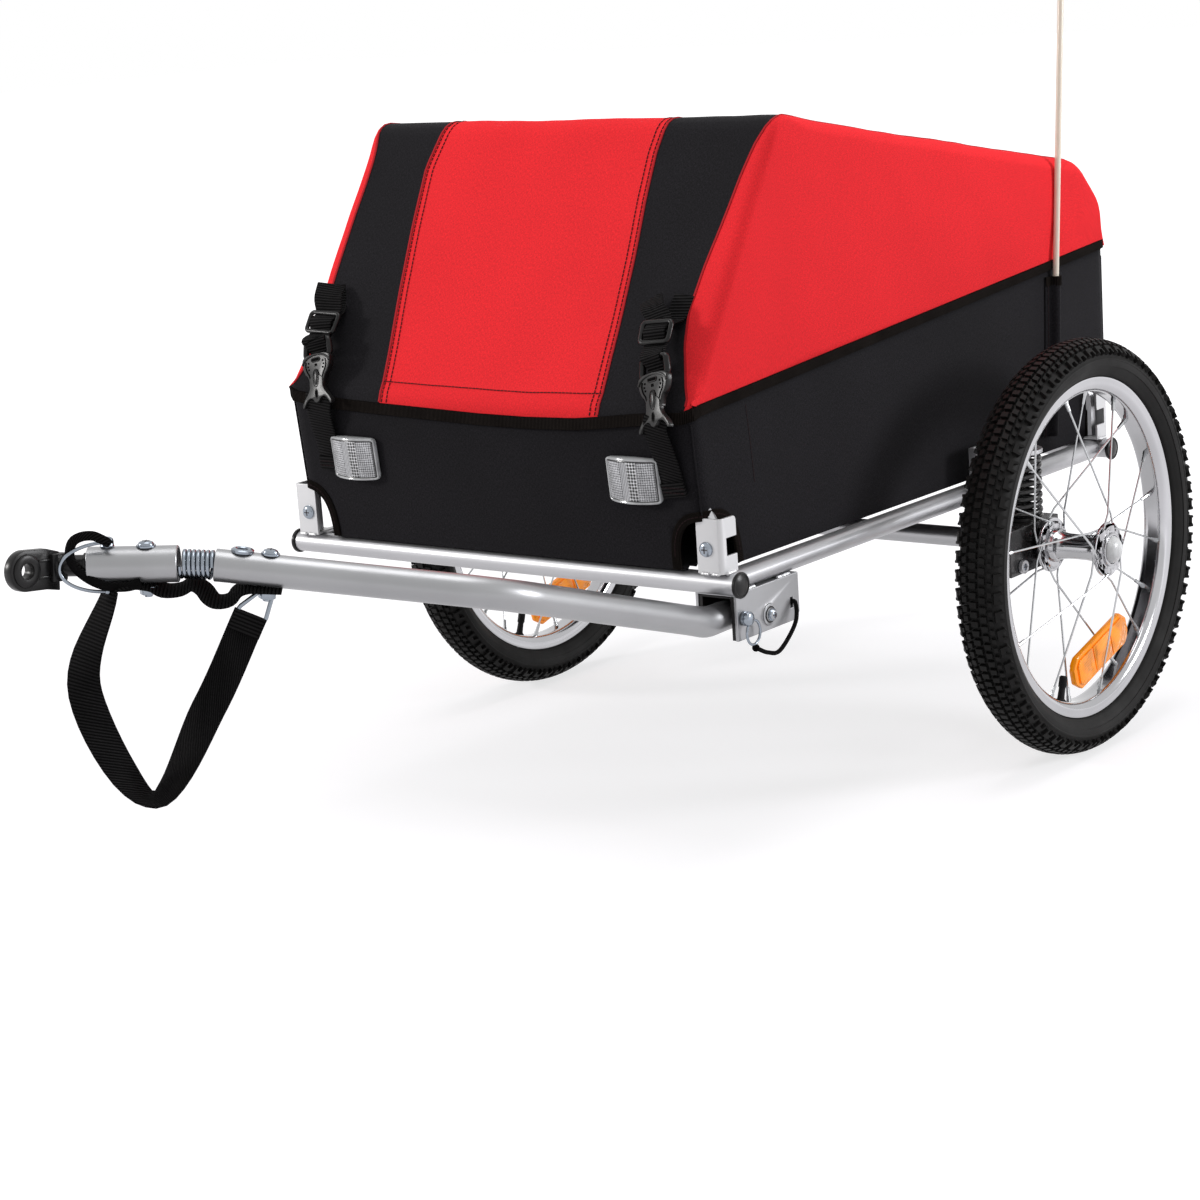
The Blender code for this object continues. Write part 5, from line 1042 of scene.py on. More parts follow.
class TRAILER_OT_tyres(bpy.types.Operator):
    """Two tyres with a block tread, shoulder knobs and ringed side walls"""

    bl_idname = "trailer.tyres"
    bl_label = "Tyres"

    def execute(self, context):
        for side, sign in SIDES:
            bm = bmesh.new()
            self.carcass(bm, wheel_centre(sign), sign, context.scene.trailer_wheels)
            self.tread(bm, wheel_centre(sign), sign, context.scene.trailer_wheels)
            add_piece(f"{side}_treaded_tyre", bm, ["tyre_rubber"], f"{side}_wheel",
                      [f"{side}_tyre"], 32)
        return {"FINISHED"}

    def carcass(self, bm, centre, sign, wheels):
        bead, top, wide = RIM_RADIUS + 0.0002, WHEEL_RADIUS - wheels.tread, 0.0222
        half = [tyre_crown(CROWN_BEND * a, 0.0) for a in (0.0, 0.16, 0.32, 0.48, 0.62, 0.74)]
        wall = ((0.93, 0.0118), (0.97, 0.0142), (1.005, 0.0150), (1.005, 0.0160), (0.985, 0.0166),
                (0.985, 0.0190), (0.96, 0.0215), (0.955, 0.0221), (0.925, 0.0221), (0.87, 0.0248))
        heel = ((0.79, 0.0046), (0.77, 0.0040), (0.73, 0.0024), (0.66, 0.0010), (0.54, 0.0))
        half += [(wide * a, top - drop) for a, drop in wall]
        half += [(wide * a, bead + rise) for a, rise in heel]
        turned(bm, mirrored_profile(half), centre, (sign, 0, 0), wheels.steps)

    def tread(self, bm, centre, sign, wheels):
        rows = wheels.knob_rows
        pitch = math.tau * WHEEL_RADIUS / rows
        part = bmesh.new()

        def blocks(outline, tall, taper=0.84):
            outline = [(a, c * pitch) for a, c in outline]
            tread_block(part, centre, sign, outline, wheels.tread * tall, taper)

        def brick(a0, a1, c0, c1, skew=0.0, tall=1.0):
            blocks([(a0, c0), (a1, c0 + skew), (a1, c1 + skew), (a0, c1)], tall)

        for half in (0.0, 0.5):
            brick(-0.0036, 0.0036, half + 0.04, half + 0.38)
            for hand in (-1, 1):
                brick(hand * 0.0052, hand * 0.0108, half + 0.26, half + 0.60, 0.05)
        shoe = ((0.0172, 0.10), (0.0246, 0.04), (0.0262, 0.16), (0.0214, 0.24), (0.0214, 0.56),
                (0.0262, 0.64), (0.0246, 0.76), (0.0172, 0.70))
        for hand in (-1, 1):
            for half in (0.0, 0.5):
                brick(hand * 0.0122, hand * 0.0160, half + 0.02, half + 0.30, 0.06, 0.95)
            blocks([(hand * a, c) for a, c in shoe], 0.92, 0.9)
        bmesh.ops.spin(
            part, geom=[*part.verts, *part.edges, *part.faces], cent=centre, axis=X,
            angle=math.tau - math.tau / rows, steps=rows - 1, use_duplicate=True,
        )
        absorb(bm, evened(part))


class TRAILER_OT_rims(bpy.types.Operator):
    """Two chromed rims with hooked edges, and their valves"""

    bl_idname = "trailer.rims"
    bl_label = "Rims"

    def execute(self, context):
        half, inner = 0.013, RIM_RADIUS - RIM_DEPTH
        well = ((0.0, 0.0004), (0.35, 0.0), (0.62, 0.0004), (0.80, 0.0020), (0.93, 0.0046), (0.99, 0.0075))
        hook = ((1.0, 0.0024), (1.04, 0.0010), (1.03, 0.0002), (0.92, 0.0), (0.84, 0.0014),
                (0.72, 0.0070), (0.0, 0.0078))
        outside = [(half * a, inner + rise) for a, rise in well]
        outside += [(half * a, RIM_RADIUS - drop) for a, drop in hook]
        profile = outside + [(-a, r) for a, r in reversed(outside[1:-1])]
        for side, sign in SIDES:
            centre, steps = wheel_centre(sign), context.scene.trailer_wheels.steps
            bm = turned(bmesh.new(), profile, centre, (sign, 0, 0), steps)
            self.valve(bm, centre, inner)
            add_piece(f"{side}_chromed_rim", bm, ["chrome", "tyre_rubber", "zinc_plate"],
                      f"{side}_wheel", [f"{side}_rim"], 38)
        return {"FINISHED"}

    def valve(self, bm, centre, inner):
        inward = -Vector((0, math.cos(VALVE_ANGLE), math.sin(VALVE_ANGLE)))
        foot = centre - inward * (inner + 0.003)
        stem = [(0.0, 0.0), (0.0, 0.0058), (0.0035, 0.0052), (0.0055, 0.0034), (0.016, 0.0030),
                (0.016, 0.0036), (0.0165, 0.0038), (0.0255, 0.0038), (0.0268, 0.0026), (0.0268, 0.0)]
        turned(bm, stem, foot, inward, 20, 1)
        ridge = [(0.0, 0.0036), (0.0003, 0.0041), (0.0006, 0.0036)]
        for k in range(5):
            turned(bm, ridge, foot + inward * (0.0175 + 0.0016 * k), inward, 20, 1)


class TRAILER_OT_hubs(bpy.types.Operator):
    """Hubs with pierced flanges, dust caps, crossed spokes and nipples"""

    bl_idname = "trailer.hubs"
    bl_label = "Hubs and spokes"

    def execute(self, context):
        for side, sign in SIDES:
            centre, wheel = wheel_centre(sign), f"{side}_wheel"
            bm = bmesh.new()
            self.shell(bm, centre, sign)
            for hand in (-1, 1):
                self.flange(bm, centre + X * (sign * hand * FLANGE))
            add_piece(f"{side}_hub_shell", bm, ["chrome"], wheel, [f"{side}_hub"], 30)
            dome = [(0.0046, 0.0), (0.0046, 0.0128), (0.0062, 0.0128), (0.0078, 0.0118),
                    (0.0105, 0.0096), (0.0122, 0.0062), (0.0130, 0.0)]
            bm = turned(bmesh.new(), dome, centre + X * (sign * FLANGE), (sign, 0, 0), 40)
            add_piece(f"{side}_dust_cap", bm, ["pearl_cap"], wheel)
            bm = bmesh.new()
            for i in range(SPOKES):
                self.spoke(bm, centre, sign, i, context.scene.trailer_wheels.spoke_radius)
            add_piece(f"{side}_spokes", bm, ["polished_spoke"], wheel)
        return {"FINISHED"}

    def shell(self, bm, centre, sign):
        half = [(0.0, 0.0118), (0.010, 0.0120), (0.0165, 0.0128), (0.0190, 0.0136), (0.0198, 0.0152),
                (0.0215, 0.0156), (0.0255, 0.0160), (0.0290, 0.0172), (0.0305, 0.0172),
                (0.0312, 0.0160), (0.0345, 0.0156), (0.0350, 0.0148),
                (0.0350, 0.0133), (0.0325, 0.0128), (0.0325, 0.0070)]
        turned(bm, mirrored_profile(half), centre, (sign, 0, 0), 56)

    def flange(self, bm, centre):
        """A pressed disc with ten rounded holes and a rolled edge."""
        part, rings, doomed = bmesh.new(), [], []
        for radius in (0.0158, 0.0180, 0.0202, 0.0224, 0.0240, 0.0255):
            made = bmesh.ops.create_circle(part, segments=40, radius=radius, matrix=facing(centre, X))
            rings.append(list({e for v in made["verts"] for e in v.link_edges}))
        for first, second in zip(rings, rings[1:]):
            bmesh.ops.bridge_loops(part, edges=first + second)
        for face in part.faces:
            spot = face.calc_center_median() - centre
            angle = math.atan2(spot.z, spot.y) % (math.tau / 10)
            if 0.0180 < spot.length < 0.0224 and angle < math.tau / 20:
                doomed.append(face)
        bmesh.ops.delete(part, geom=doomed, context="FACES")
        evened(part)
        bmesh.ops.solidify(part, geom=part.faces, thickness=0.0026)
        bmesh.ops.translate(part, verts=part.verts, vec=X * 0.0013)
        absorb(bm, rounded(evened(part), 0.0006, 2, 50))

    def spoke(self, bm, centre, sign, i, thick):
        """One spoke from its head in a flange to its nipple in the rim's well."""
        at_rim = RIM_RADIUS - RIM_DEPTH - 0.0004
        hand, leading = (1 if i % 2 else -1), (1 if (i // 2) % 2 else -1)
        angle = math.tau * (i + 0.5) / SPOKES
        heads, lift = angle + leading * SPOKE_SWEEP, leading * 0.0020
        head = centre + Vector((sign * hand * (FLANGE + lift), HEAD_CIRCLE * math.cos(heads),
                                HEAD_CIRCLE * math.sin(heads)))
        end = centre + Vector((sign * hand * (0.003 + lift * 0.5), at_rim * math.cos(angle),
                               at_rim * math.sin(angle)))
        flat = (Vector((head.x, end.y, end.z)) - head).normalized()
        elbow = head + flat * 0.020
        into = -X * (sign * hand * leading)
        hook = [head + into * 0.0034, head + into * 0.0012, head + flat * 0.0012]
        nipple = end - (end - elbow).normalized() * 0.012
        tube(bm, hook + [elbow.lerp(head, 0.5), elbow, nipple], thick, 8)
        rod(bm, head + into * 0.0030, head + into * 0.0042, thick * 2.1, 10, 0.0003)
        rod(bm, nipple, nipple.lerp(end, 0.75), 0.0017, 8, 0.0, 0.0019)
        rod(bm, nipple.lerp(end, 0.72), end + (end - nipple).normalized() * 0.0015, 0.0024, 8)


class TRAILER_OT_wheel_lenses(bpy.types.Operator):
    """Amber reflectors clipped on the spokes"""

    bl_idname = "trailer.wheel_lenses"
    bl_label = "Wheel reflectors"

    def execute(self, context):
        a, b, c = LENS_LONG, LENS_WIDE, LENS_CUT
        outline = ((a - c, b), (a, b - c), (a, c - b), (a - c, -b),
                   (c - a, -b), (-a, c - b), (-a, b - c), (c - a, b))
        for side, _ in SIDES:
            low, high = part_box(f"{side}_wheel_reflector")
            centre, thick = (low + high) / 2, high.x - low.x
            face = [centre - X * thick * 0.36 + LENS_ALONG * x + LENS_OUT * y for x, y in outline]
            bm = slab(bmesh.new(), face, X * thick * 0.72, 0.0014)
            for hand in (-1, 1):
                self.panels(bm, centre + X * (hand * thick * 0.44), hand)
            add_piece(f"{side}_amber_lens", bm, ["amber_lens"], f"{side}_wheel",
                      [f"{side}_wheel_reflector"], 25)
        return {"FINISHED"}

    def panels(self, bm, centre, hand):
        """The raised face in a frame, cut by two bars into panels of prisms."""
        wide = LENS_WIDE * 0.80
        fields = ((-0.96, -0.36, 0.3, 0.0), (-0.33, 0.33, 0.0, 0.0), (0.36, 0.96, 0.0, 0.3))
        for start, end, lean, tail in fields:
            part = bmesh.new()
            cloth = cloth_map(part)
            a, b = start * LENS_LONG * 0.93, end * LENS_LONG * 0.93
            near, far = a + LENS_CUT * (lean * 2), b - LENS_CUT * (tail * 2)
            corners = [(a, -wide * (1 - lean)), (near, -wide), (far, -wide), (b, -wide * (1 - tail)),
                       (b, wide * (1 - tail)), (far, wide), (near, wide), (a, wide * (1 - lean))]
            rim = [part.verts.new(centre + LENS_ALONG * x + LENS_OUT * y) for x, y in dict.fromkeys(corners)]
            rounded(thickened(part, [part.faces.new(rim)], X * (hand * 0.0012)), 0.0006)
            for face in part.faces:
                for loop in face.loops:
                    away = loop.vert.co - centre
                    loop[cloth].uv = (away.dot(LENS_ALONG), away.dot(LENS_OUT))
            absorb(bm, part)


# Bag
BAG_CORNER = 0.009
BAG_TURN = BAG_CORNER * math.pi / 2
BAG_ENDS = BAG_HALF - BAG_CORNER
BAG_SIDE = BAG_REAR - BAG_FOOT - 2 * BAG_CORNER
FRONT_CORNER = BAG_ENDS + BAG_TURN / 2
REAR_CORNER = BAG_ENDS + BAG_TURN + BAG_SIDE + BAG_TURN / 2
BAG_ROUND = 2 * (REAR_CORNER + BAG_TURN / 2 + BAG_ENDS)
BAG_COLUMNS, BAG_LEVELS = 300, 20
BAG_SPOTS = [-BAG_ROUND / 2 + BAG_ROUND * i / BAG_COLUMNS for i in range(BAG_COLUMNS)]
ARCH_SHIFT, ARCH_EASE = 0.006, 0.35
ARCHES = (FRONT_CORNER + ARCH_SHIFT, REAR_CORNER - ARCH_SHIFT)


def wall_top(y):
    share = (y - BAG_FRONT) / (BAG_REAR - BAG_FRONT)
    return FRONT_TOP + (REAR_TOP - FRONT_TOP) * share


def bag_spot(reach, height):
    """A place on the bag's wall and its outward direction: metres round from the middle of the
    front, left first, and a share of the height."""
    hand = 1.0 if reach >= 0 else -1.0
    s = abs(reach)
    front = BAG_FOOT + (BAG_FRONT - BAG_FOOT) * height
    if s <= BAG_ENDS:
        x, y, normal = s, front, -Y
    elif s <= BAG_ENDS + BAG_TURN:
        t = (s - BAG_ENDS) / BAG_CORNER
        x, y = BAG_ENDS + BAG_CORNER * math.sin(t), front + BAG_CORNER * (1 - math.cos(t))
        normal = Vector((math.sin(t), -math.cos(t), 0))
    elif s <= BAG_ENDS + BAG_TURN + BAG_SIDE:
        t = (s - BAG_ENDS - BAG_TURN) / BAG_SIDE
        x, y = BAG_HALF, (front + BAG_CORNER) * (1 - t) + (BAG_REAR - BAG_CORNER) * t
        normal = X.copy()
    elif s <= BAG_ENDS + 2 * BAG_TURN + BAG_SIDE:
        t = (s - BAG_ENDS - BAG_TURN - BAG_SIDE) / BAG_CORNER
        x, y = BAG_ENDS + BAG_CORNER * math.cos(t), BAG_REAR - BAG_CORNER * (1 - math.sin(t))
        normal = Vector((math.cos(t), math.sin(t), 0))
    else:
        x, y, normal = BAG_ENDS - (s - BAG_ENDS - 2 * BAG_TURN - BAG_SIDE), BAG_REAR, Y.copy()
    spot = Vector((hand * x, y, FLOOR_Z + height * (wall_top(y) - HEM_GAP - FLOOR_Z)))
    normal.x *= hand
    corner = min(abs(s - FRONT_CORNER), abs(s - REAR_CORNER))
    ease = min(1.0, corner / 0.12) * math.sin(math.pi * within(height))
    bulge = 0.0016 * ease + bpy.context.scene.trailer_cloth.wrinkle * wobble(spot, 0.11, 3.0) * ease
    return spot + normal * (bulge - 0.0006), normal


def height_share(reach, rise):
    """The share of the wall's height that a rise in metres is, at a place round the bag."""
    return rise / (bag_spot(reach, 1.0)[0].z - FLOOR_Z)


def bag_line(places, out=0.0):
    """Places on the bag, raised off it, and their outward directions, from (metres round, share)."""
    pairs = [bag_spot(reach, height) for reach, height in places]
    return [spot + normal * out for spot, normal in pairs], [normal for _, normal in pairs]


def arch_edge(centre, hand):
    """A rounded cut-out at a corner of the bag, as (metres round, metres up) from foot to foot."""
    cloth = bpy.context.scene.trailer_cloth
    spots = []
    for share in shares(26):
        c, s = math.cos(math.pi * share), math.sin(math.pi * share)
        across = cloth.arch_width / 2 * math.copysign(abs(c) ** (2 * ARCH_EASE), c)
        spots.append((hand * (centre + across), cloth.arch_height * abs(s) ** (2 * ARCH_EASE)))
    return spots


def in_arch(reach, rise):
    """How far inside a corner's cut-out a place is: below 1 is inside."""
    cloth = bpy.context.scene.trailer_cloth
    across = min(abs(abs(reach) - centre) for centre in ARCHES) / (cloth.arch_width / 2)
    return across ** (1 / ARCH_EASE) + max(rise / cloth.arch_height, 0.0) ** (1 / ARCH_EASE)


class TRAILER_OT_bag(bpy.types.Operator):
    """The woven bag: walls and a sagging floor, bound at its corner cut-outs, with seams up its corners"""

    bl_idname = "trailer.bag"
    bl_label = "Bag"

    def execute(self, context):
        cloth = context.scene.trailer_cloth
        bm = bmesh.new()
        self.walls(bm)
        piece = add_piece(
            "woven_bag", bm, ["black_weave"], "chassis",
            ["bag_left_panel", "bag_right_panel", "bag_front_panel", "bag_rear_panel", "bag_floor"], 60,
        )
        add_modifier(piece, "SOLIDIFY", thickness=cloth.thickness, offset=-1.0)
        self.binding(cloth)
        self.stitching()
        return {"FINISHED"}

    def walls(self, bm):
        loft(bm, [[bag_spot(s, h)[0] for s in BAG_SPOTS] for h in shares(BAG_LEVELS)], closed=True)
        low = {v for v in bm.verts if abs(v.co.z - FLOOR_Z) < 1e-5}
        edges = [e for e in bm.edges if low.issuperset(e.verts)]
        centre = Vector((0, (BAG_FOOT + BAG_REAR) / 2, FLOOR_Z))
        for share in (0.985, 0.95, 0.9, 0.82, 0.7, 0.55, 0.4, 0.25, 0.1):
            made = bmesh.ops.extrude_edge_only(bm, edges=edges)["geom"]
            ring = set(of_kind(made, BMVert))
            edges = [e for e in of_kind(made, BMEdge) if ring.issuperset(e.verts)]
            base = max(abs(v.co.x) for v in ring) / BAG_HALF
            for vert in ring:
                flat = (vert.co - centre) * (share / base)
                sag = 0.0035 * (1 - share**2) + 0.0008 * wobble(vert.co, 0.09, 8.0)
                vert.co = Vector((flat.x, centre.y + flat.y, FLOOR_Z - sag * (share < 0.97)))
        bmesh.ops.contextual_create(bm, geom=edges)
        self.cut_corners(bm)
        for face in bm.faces:
            if abs(face.normal.z) > 0.7 or face.calc_center_median().z < FLOOR_Z:
                for loop in face.loops:
                    loop[cloth_map(bm)].uv = loop.vert.co.xy
        face_out(evened(bm), X)

    def cut_corners(self, bm):
        """Takes the cut-outs out of the walls and draws the cut cloth onto their rounded edges."""

        def key(spot):
            return tuple(round(c, 5) for c in spot)

        around = {}
        for s in BAG_SPOTS:
            for h in shares(BAG_LEVELS):
                spot = bag_spot(s, h)[0]
                around[key(spot)] = (s, spot.z - FLOOR_Z)
        place = {v: around.get(key(v.co)) for v in bm.verts}
        doomed = []
        for face in bm.faces:
            known = [place[v] for v in face.verts]
            if all(known):
                reach, rise = (sum(values) / len(known) for values in zip(*known))
                if in_arch(reach, rise) < 1:
                    doomed.append(face)
            else:
                spot = face.calc_center_median()
                nearest = min(abs(spot.y - BAG_FOOT), abs(spot.y - BAG_REAR))
                if abs(spot.x) > BAG_HALF - 0.030 and nearest < 0.034:
                    doomed.append(face)
        bmesh.ops.delete(bm, geom=doomed, context="FACES")
        for vert in bm.verts:
            known = place.get(vert)
            if known and vert.is_boundary and 0.001 < known[1] < 0.06 and 0.4 < in_arch(*known) < 2.2:
                self.draw_to_arch(vert, *known)

    def draw_to_arch(self, vert, reach, rise):
        centre = min(ARCHES, key=lambda c: abs(abs(reach) - c))
        scale = in_arch(reach, rise) ** -ARCH_EASE
        new_reach = math.copysign(centre + (abs(reach) - centre) * scale, reach)
        vert.co = bag_spot(new_reach, height_share(new_reach, rise * scale))[0]

    def binding(self, cloth):
        bm = bmesh.new()
        tape = [(-0.0042, -0.0011), (-0.0042, 0.0009), (-0.0036, 0.0014),
                (0.0036, 0.0014), (0.0042, 0.0009), (0.0042, -0.0011)]
        for hand in (-1, 1):
            for centre in ARCHES:
                edge = [(s, height_share(s, max(rise, 0.0005))) for s, rise in arch_edge(centre, hand)]
                sweep(bm, tape, frames_along(*bag_line(edge)))
        for hand in (-1, 1):
            for corner in (FRONT_CORNER, REAR_CORNER):
                low = height_share(corner, cloth.arch_height + 0.001)
                line = [(hand * corner, low + (0.95 - low) * share) for share in shares(24)]
                tube(bm, bag_line(line, 0.0003)[0], 0.0007, 8, 1)
        add_piece("bag_binding", bm, ["dark_binding", "black_weave"], "chassis")

    def stitching(self):
        bm = bmesh.new()
        for hand in (-1, 1):
            reach = hand * (FRONT_CORNER + 0.074)
            line = [(reach, height_share(reach, 0.064 + 0.067 * share)) for share in shares(16)]
            stitches(bm, *bag_line(line))
            for centre in ARCHES:
                edge = [(s, height_share(s, rise)) for s, rise in arch_edge(centre, hand) if rise > 0.001]
                stitches(bm, *bag_line(edge, 0.0014))
        add_piece("bag_stitching", bm, ["dark_thread"], "chassis")


# Cover
ROW_STEP, DROOP_REACH, HEM_TURN = 0.0075, 0.055, 0.014
LEFT_LIFT, RIGHT_LIFT = 0.0105, 0.0060
SLOPE_NEAR = [(0.0, 0.2205), (0.05, 0.2195), (0.136, 0.2110), (0.229, 0.2015), (0.339, 0.1960),
              (0.478, 0.1985), (0.677, 0.2051), (0.778, 0.2078), (0.888, 0.2125), (1.0, 0.2235)]
CENTRE_RIGHT = [(0.0, 0.1325), (0.17, 0.1287), (0.305, 0.1262), (0.506, 0.1210), (0.71, 0.1139),
                (0.87, 0.1106), (1.0, 0.1130)]
CENTRE_LEFT = [(0.0, -0.1135), (0.137, -0.1205), (0.384, -0.1328), (0.6, -0.1414), (0.82, -0.1480),
               (1.0, -0.1400)]
FRONT_DROOP = [(-0.233, 0.003), (-0.172, 0.010), (-0.12, 0.0125), (0.0, 0.017), (0.053, 0.0175),
               (0.107, 0.016), (0.144, 0.012), (0.171, 0.0085), (0.233, 0.004)]


def hem_at(y):
    return Vector((0, y, wall_top(y) + HEM_GAP))


def cover_line():
    """The cover's outline in the YZ plane from its front hem over the top to its rear hem."""
    corners = [
        hem_at(BAG_FRONT),
        RIDGE,
        Vector((0, BAG_REAR - 0.042, FLOOR_Z + 0.2740)),
        Vector((0, BAG_REAR - 0.0085, FLOOR_Z + 0.2400)),
        hem_at(BAG_REAR),
    ]
    return evenly(bent_path(corners, [0.022, 0.045, 0.030], 10), ROW_STEP)


# Steps across the sheet: left side, its turn, four fields of the top, right turn, right side
COLUMNS = (16, 7, 4, 11, 26, 14, 7, 16)
COLUMN_FINISH = (0, 0, 0, 1, 0, 1, 0, 0)
COLUMN_ENDS = [sum(COLUMNS[:k]) for k in range(len(COLUMNS) + 1)]


class CoverCloth:
    """The cover's sheet as rows of points, from hem to hem across the trailer."""

    def __init__(self):
        cloth = bpy.context.scene.trailer_cloth
        self.line = cover_line()
        steps = [(b - a).length for a, b in zip(self.line, self.line[1:])]
        self.reach = [0.0] + list(np.cumsum(steps))
        ridge_at = min(range(len(self.line)), key=lambda k: (self.line[k] - RIDGE).length)
        self.slope = self.reach[ridge_at]
        run = [0.0]
        for a, b in zip(self.line, self.line[1:]):
            run.append(run[-1] + abs(b.y - a.y) + 0.15 * abs(b.z - a.z))
        self.hems = [hem_at(BAG_FRONT + (BAG_REAR - BAG_FRONT) * share)
                     for share in (r / run[-1] for r in run)]
        self.radius, self.wrinkle = cloth.edge_radius, cloth.wrinkle
        self.rows = [self.row(i) for i in range(len(self.line))]
        self.normals = self.outward()

    def edge_radius(self, i, drop):
        share = self.reach[i] / self.slope
        tight = math.exp(-((share - 1.0) / 0.10) ** 2)
        return min(self.radius * (1 - 0.62 * tight), 0.45 * drop)

    def row(self, i):
        top, hem = self.line[i], self.hems[i]
        drop = (hem - top).length
        share = min(1.0, self.reach[i] / self.slope)
        radius = self.edge_radius(i, drop)
        down = (hem - top).normalized() if drop > 1e-6 else -Z
        flat = BAG_HALF - radius
        near = min(along_table(SLOPE_NEAR, share), flat - 0.0006)
        right, left = along_table(CENTRE_RIGHT, share), along_table(CENTRE_LEFT, share)
        xs = [flat, near, right, left, -flat + 0.0004]

        def side(hand, t):
            return Vector((hand * BAG_HALF, 0, 0)) + hem.lerp(top + down * radius, t)

        def turn(hand, t):
            a = t * math.pi / 2
            return top + down * radius * (1 - math.sin(a)) + X * hand * (flat + radius * math.cos(a))

        points = [side(1, t) for t in shares(COLUMNS[0])[:-1]]
        points += [turn(1, t) for t in shares(COLUMNS[1])[:-1]]
        for a, b, count in zip(xs, xs[1:], COLUMNS[2:6]):
            points += [top + X * (a + (b - a) * k / count) for k in range(count)]
        points += [turn(-1, 1 - t) for t in shares(COLUMNS[6])[:-1]]
        points += [side(-1, 1 - t) for t in shares(COLUMNS[7])]
        return [self.shaped(p, i) for p in points]

    def shaped(self, point, i):
        """Lets the cloth bow out over its hoops and sag between them, with slow folds."""
        share = self.reach[i] / self.slope
        hem_rise = point.z - wall_top(point.y)
        free = within(hem_rise / 0.03)
        inner = 1 - (abs(point.x) / BAG_HALF) ** 2
        shift = Vector()
        if share < 1.0:
            bow = math.sin(math.pi * share)
            shift += Vector((0, -0.83, 0.55)) * (0.0032 * bow - 0.0055 * bow * inner)
        elif point.z > REAR_RIDGE_Z and share < 2.2:
            top_share = (self.reach[i] - self.slope) / 0.30
            shift -= Z * 0.0045 * inner * math.sin(math.pi * min(1.0, top_share))
        if abs(point.x) > BAG_HALF - 0.001:
            height = self.line[i].z - self.hems[i].z
            bow = math.sin(math.pi * within(hem_rise / max(height, 0.01))) * min(1.0, height / 0.15)
            shift += X * math.copysign(0.0035, point.x) * bow
        fold = wobble(point, 0.075, 1.0) + 0.45 * wobble(point, 0.028, 5.0)
        out = X * math.copysign(1, point.x) if abs(point.x) > BAG_HALF - 0.004 else Z
        return point + self.slide(point, i) + shift * free + out * self.wrinkle * fold * free

    def slide(self, point, i):
        """Moves the cloth near the front hem down along its own outline, on over the front wall."""
        fade = max(0.0, 1 - self.reach[i] / DROOP_REACH) ** 1.5
        if fade <= 0:
            return Vector()
        end = max(0.0, 1 - (BAG_HALF - abs(point.x)) / HEM_TURN)
        lift = LEFT_LIFT if point.x > 0 else RIGHT_LIFT
        to = self.reach[i] - (along_table(FRONT_DROOP, point.x) * (1 - end) - lift * end) * fade
        if to < 0:
            spot = self.line[0] - WALL_DOWN * to
        elif end >= 1:
            return Z * lift * fade
        else:
            k = min(len(self.line) - 2, int(np.searchsorted(self.reach, to, "right")) - 1)
            share = (to - self.reach[k]) / (self.reach[k + 1] - self.reach[k])
            spot = self.line[k].lerp(self.line[k + 1], share)
        stand = 0.0022 * within((HEM_TURN - to) / HEM_TURN)
        return spot - self.line[i] + (WALL_OUT + SLOPE_OUT).normalized() * stand

    def outward(self):
        spots = np.array([[tuple(p) for p in row] for row in self.rows])
        across, along = np.gradient(spots, axis=1), np.gradient(spots, axis=0)
        normal = np.cross(along, across)
        normal /= np.maximum(np.linalg.norm(normal, axis=2, keepdims=True), 1e-9)
        inside = np.array([0, (BAG_FRONT + BAG_REAR) / 2, FLOOR_Z + 0.12])
        flip = np.sum(normal * (spots - inside), axis=2, keepdims=True) < 0
        return np.where(flip, -normal, normal)

    def seam(self, column, offset=0.0):
        """The line of a column, moved along the cloth by an offset, with its outward directions."""
        spots, outs = [], []
        for i, row in enumerate(self.rows):
            a, b = row[column], row[column + (1 if offset >= 0 else -1)]
            step = (b - a).normalized() if (b - a).length > 1e-6 else Vector()
            out = Vector(self.normals[i][column])
            spots.append(a + step * abs(offset) + out * 0.0003)
            outs.append(out)
        return spots, outs

    def across(self, rise):
        """A line across the front slope, a distance up from the hem, with its outward directions."""
        i = min(range(len(self.reach)), key=lambda k: abs(self.reach[k] - rise))
        return self.rows[i], [Vector(n) for n in self.normals[i]]


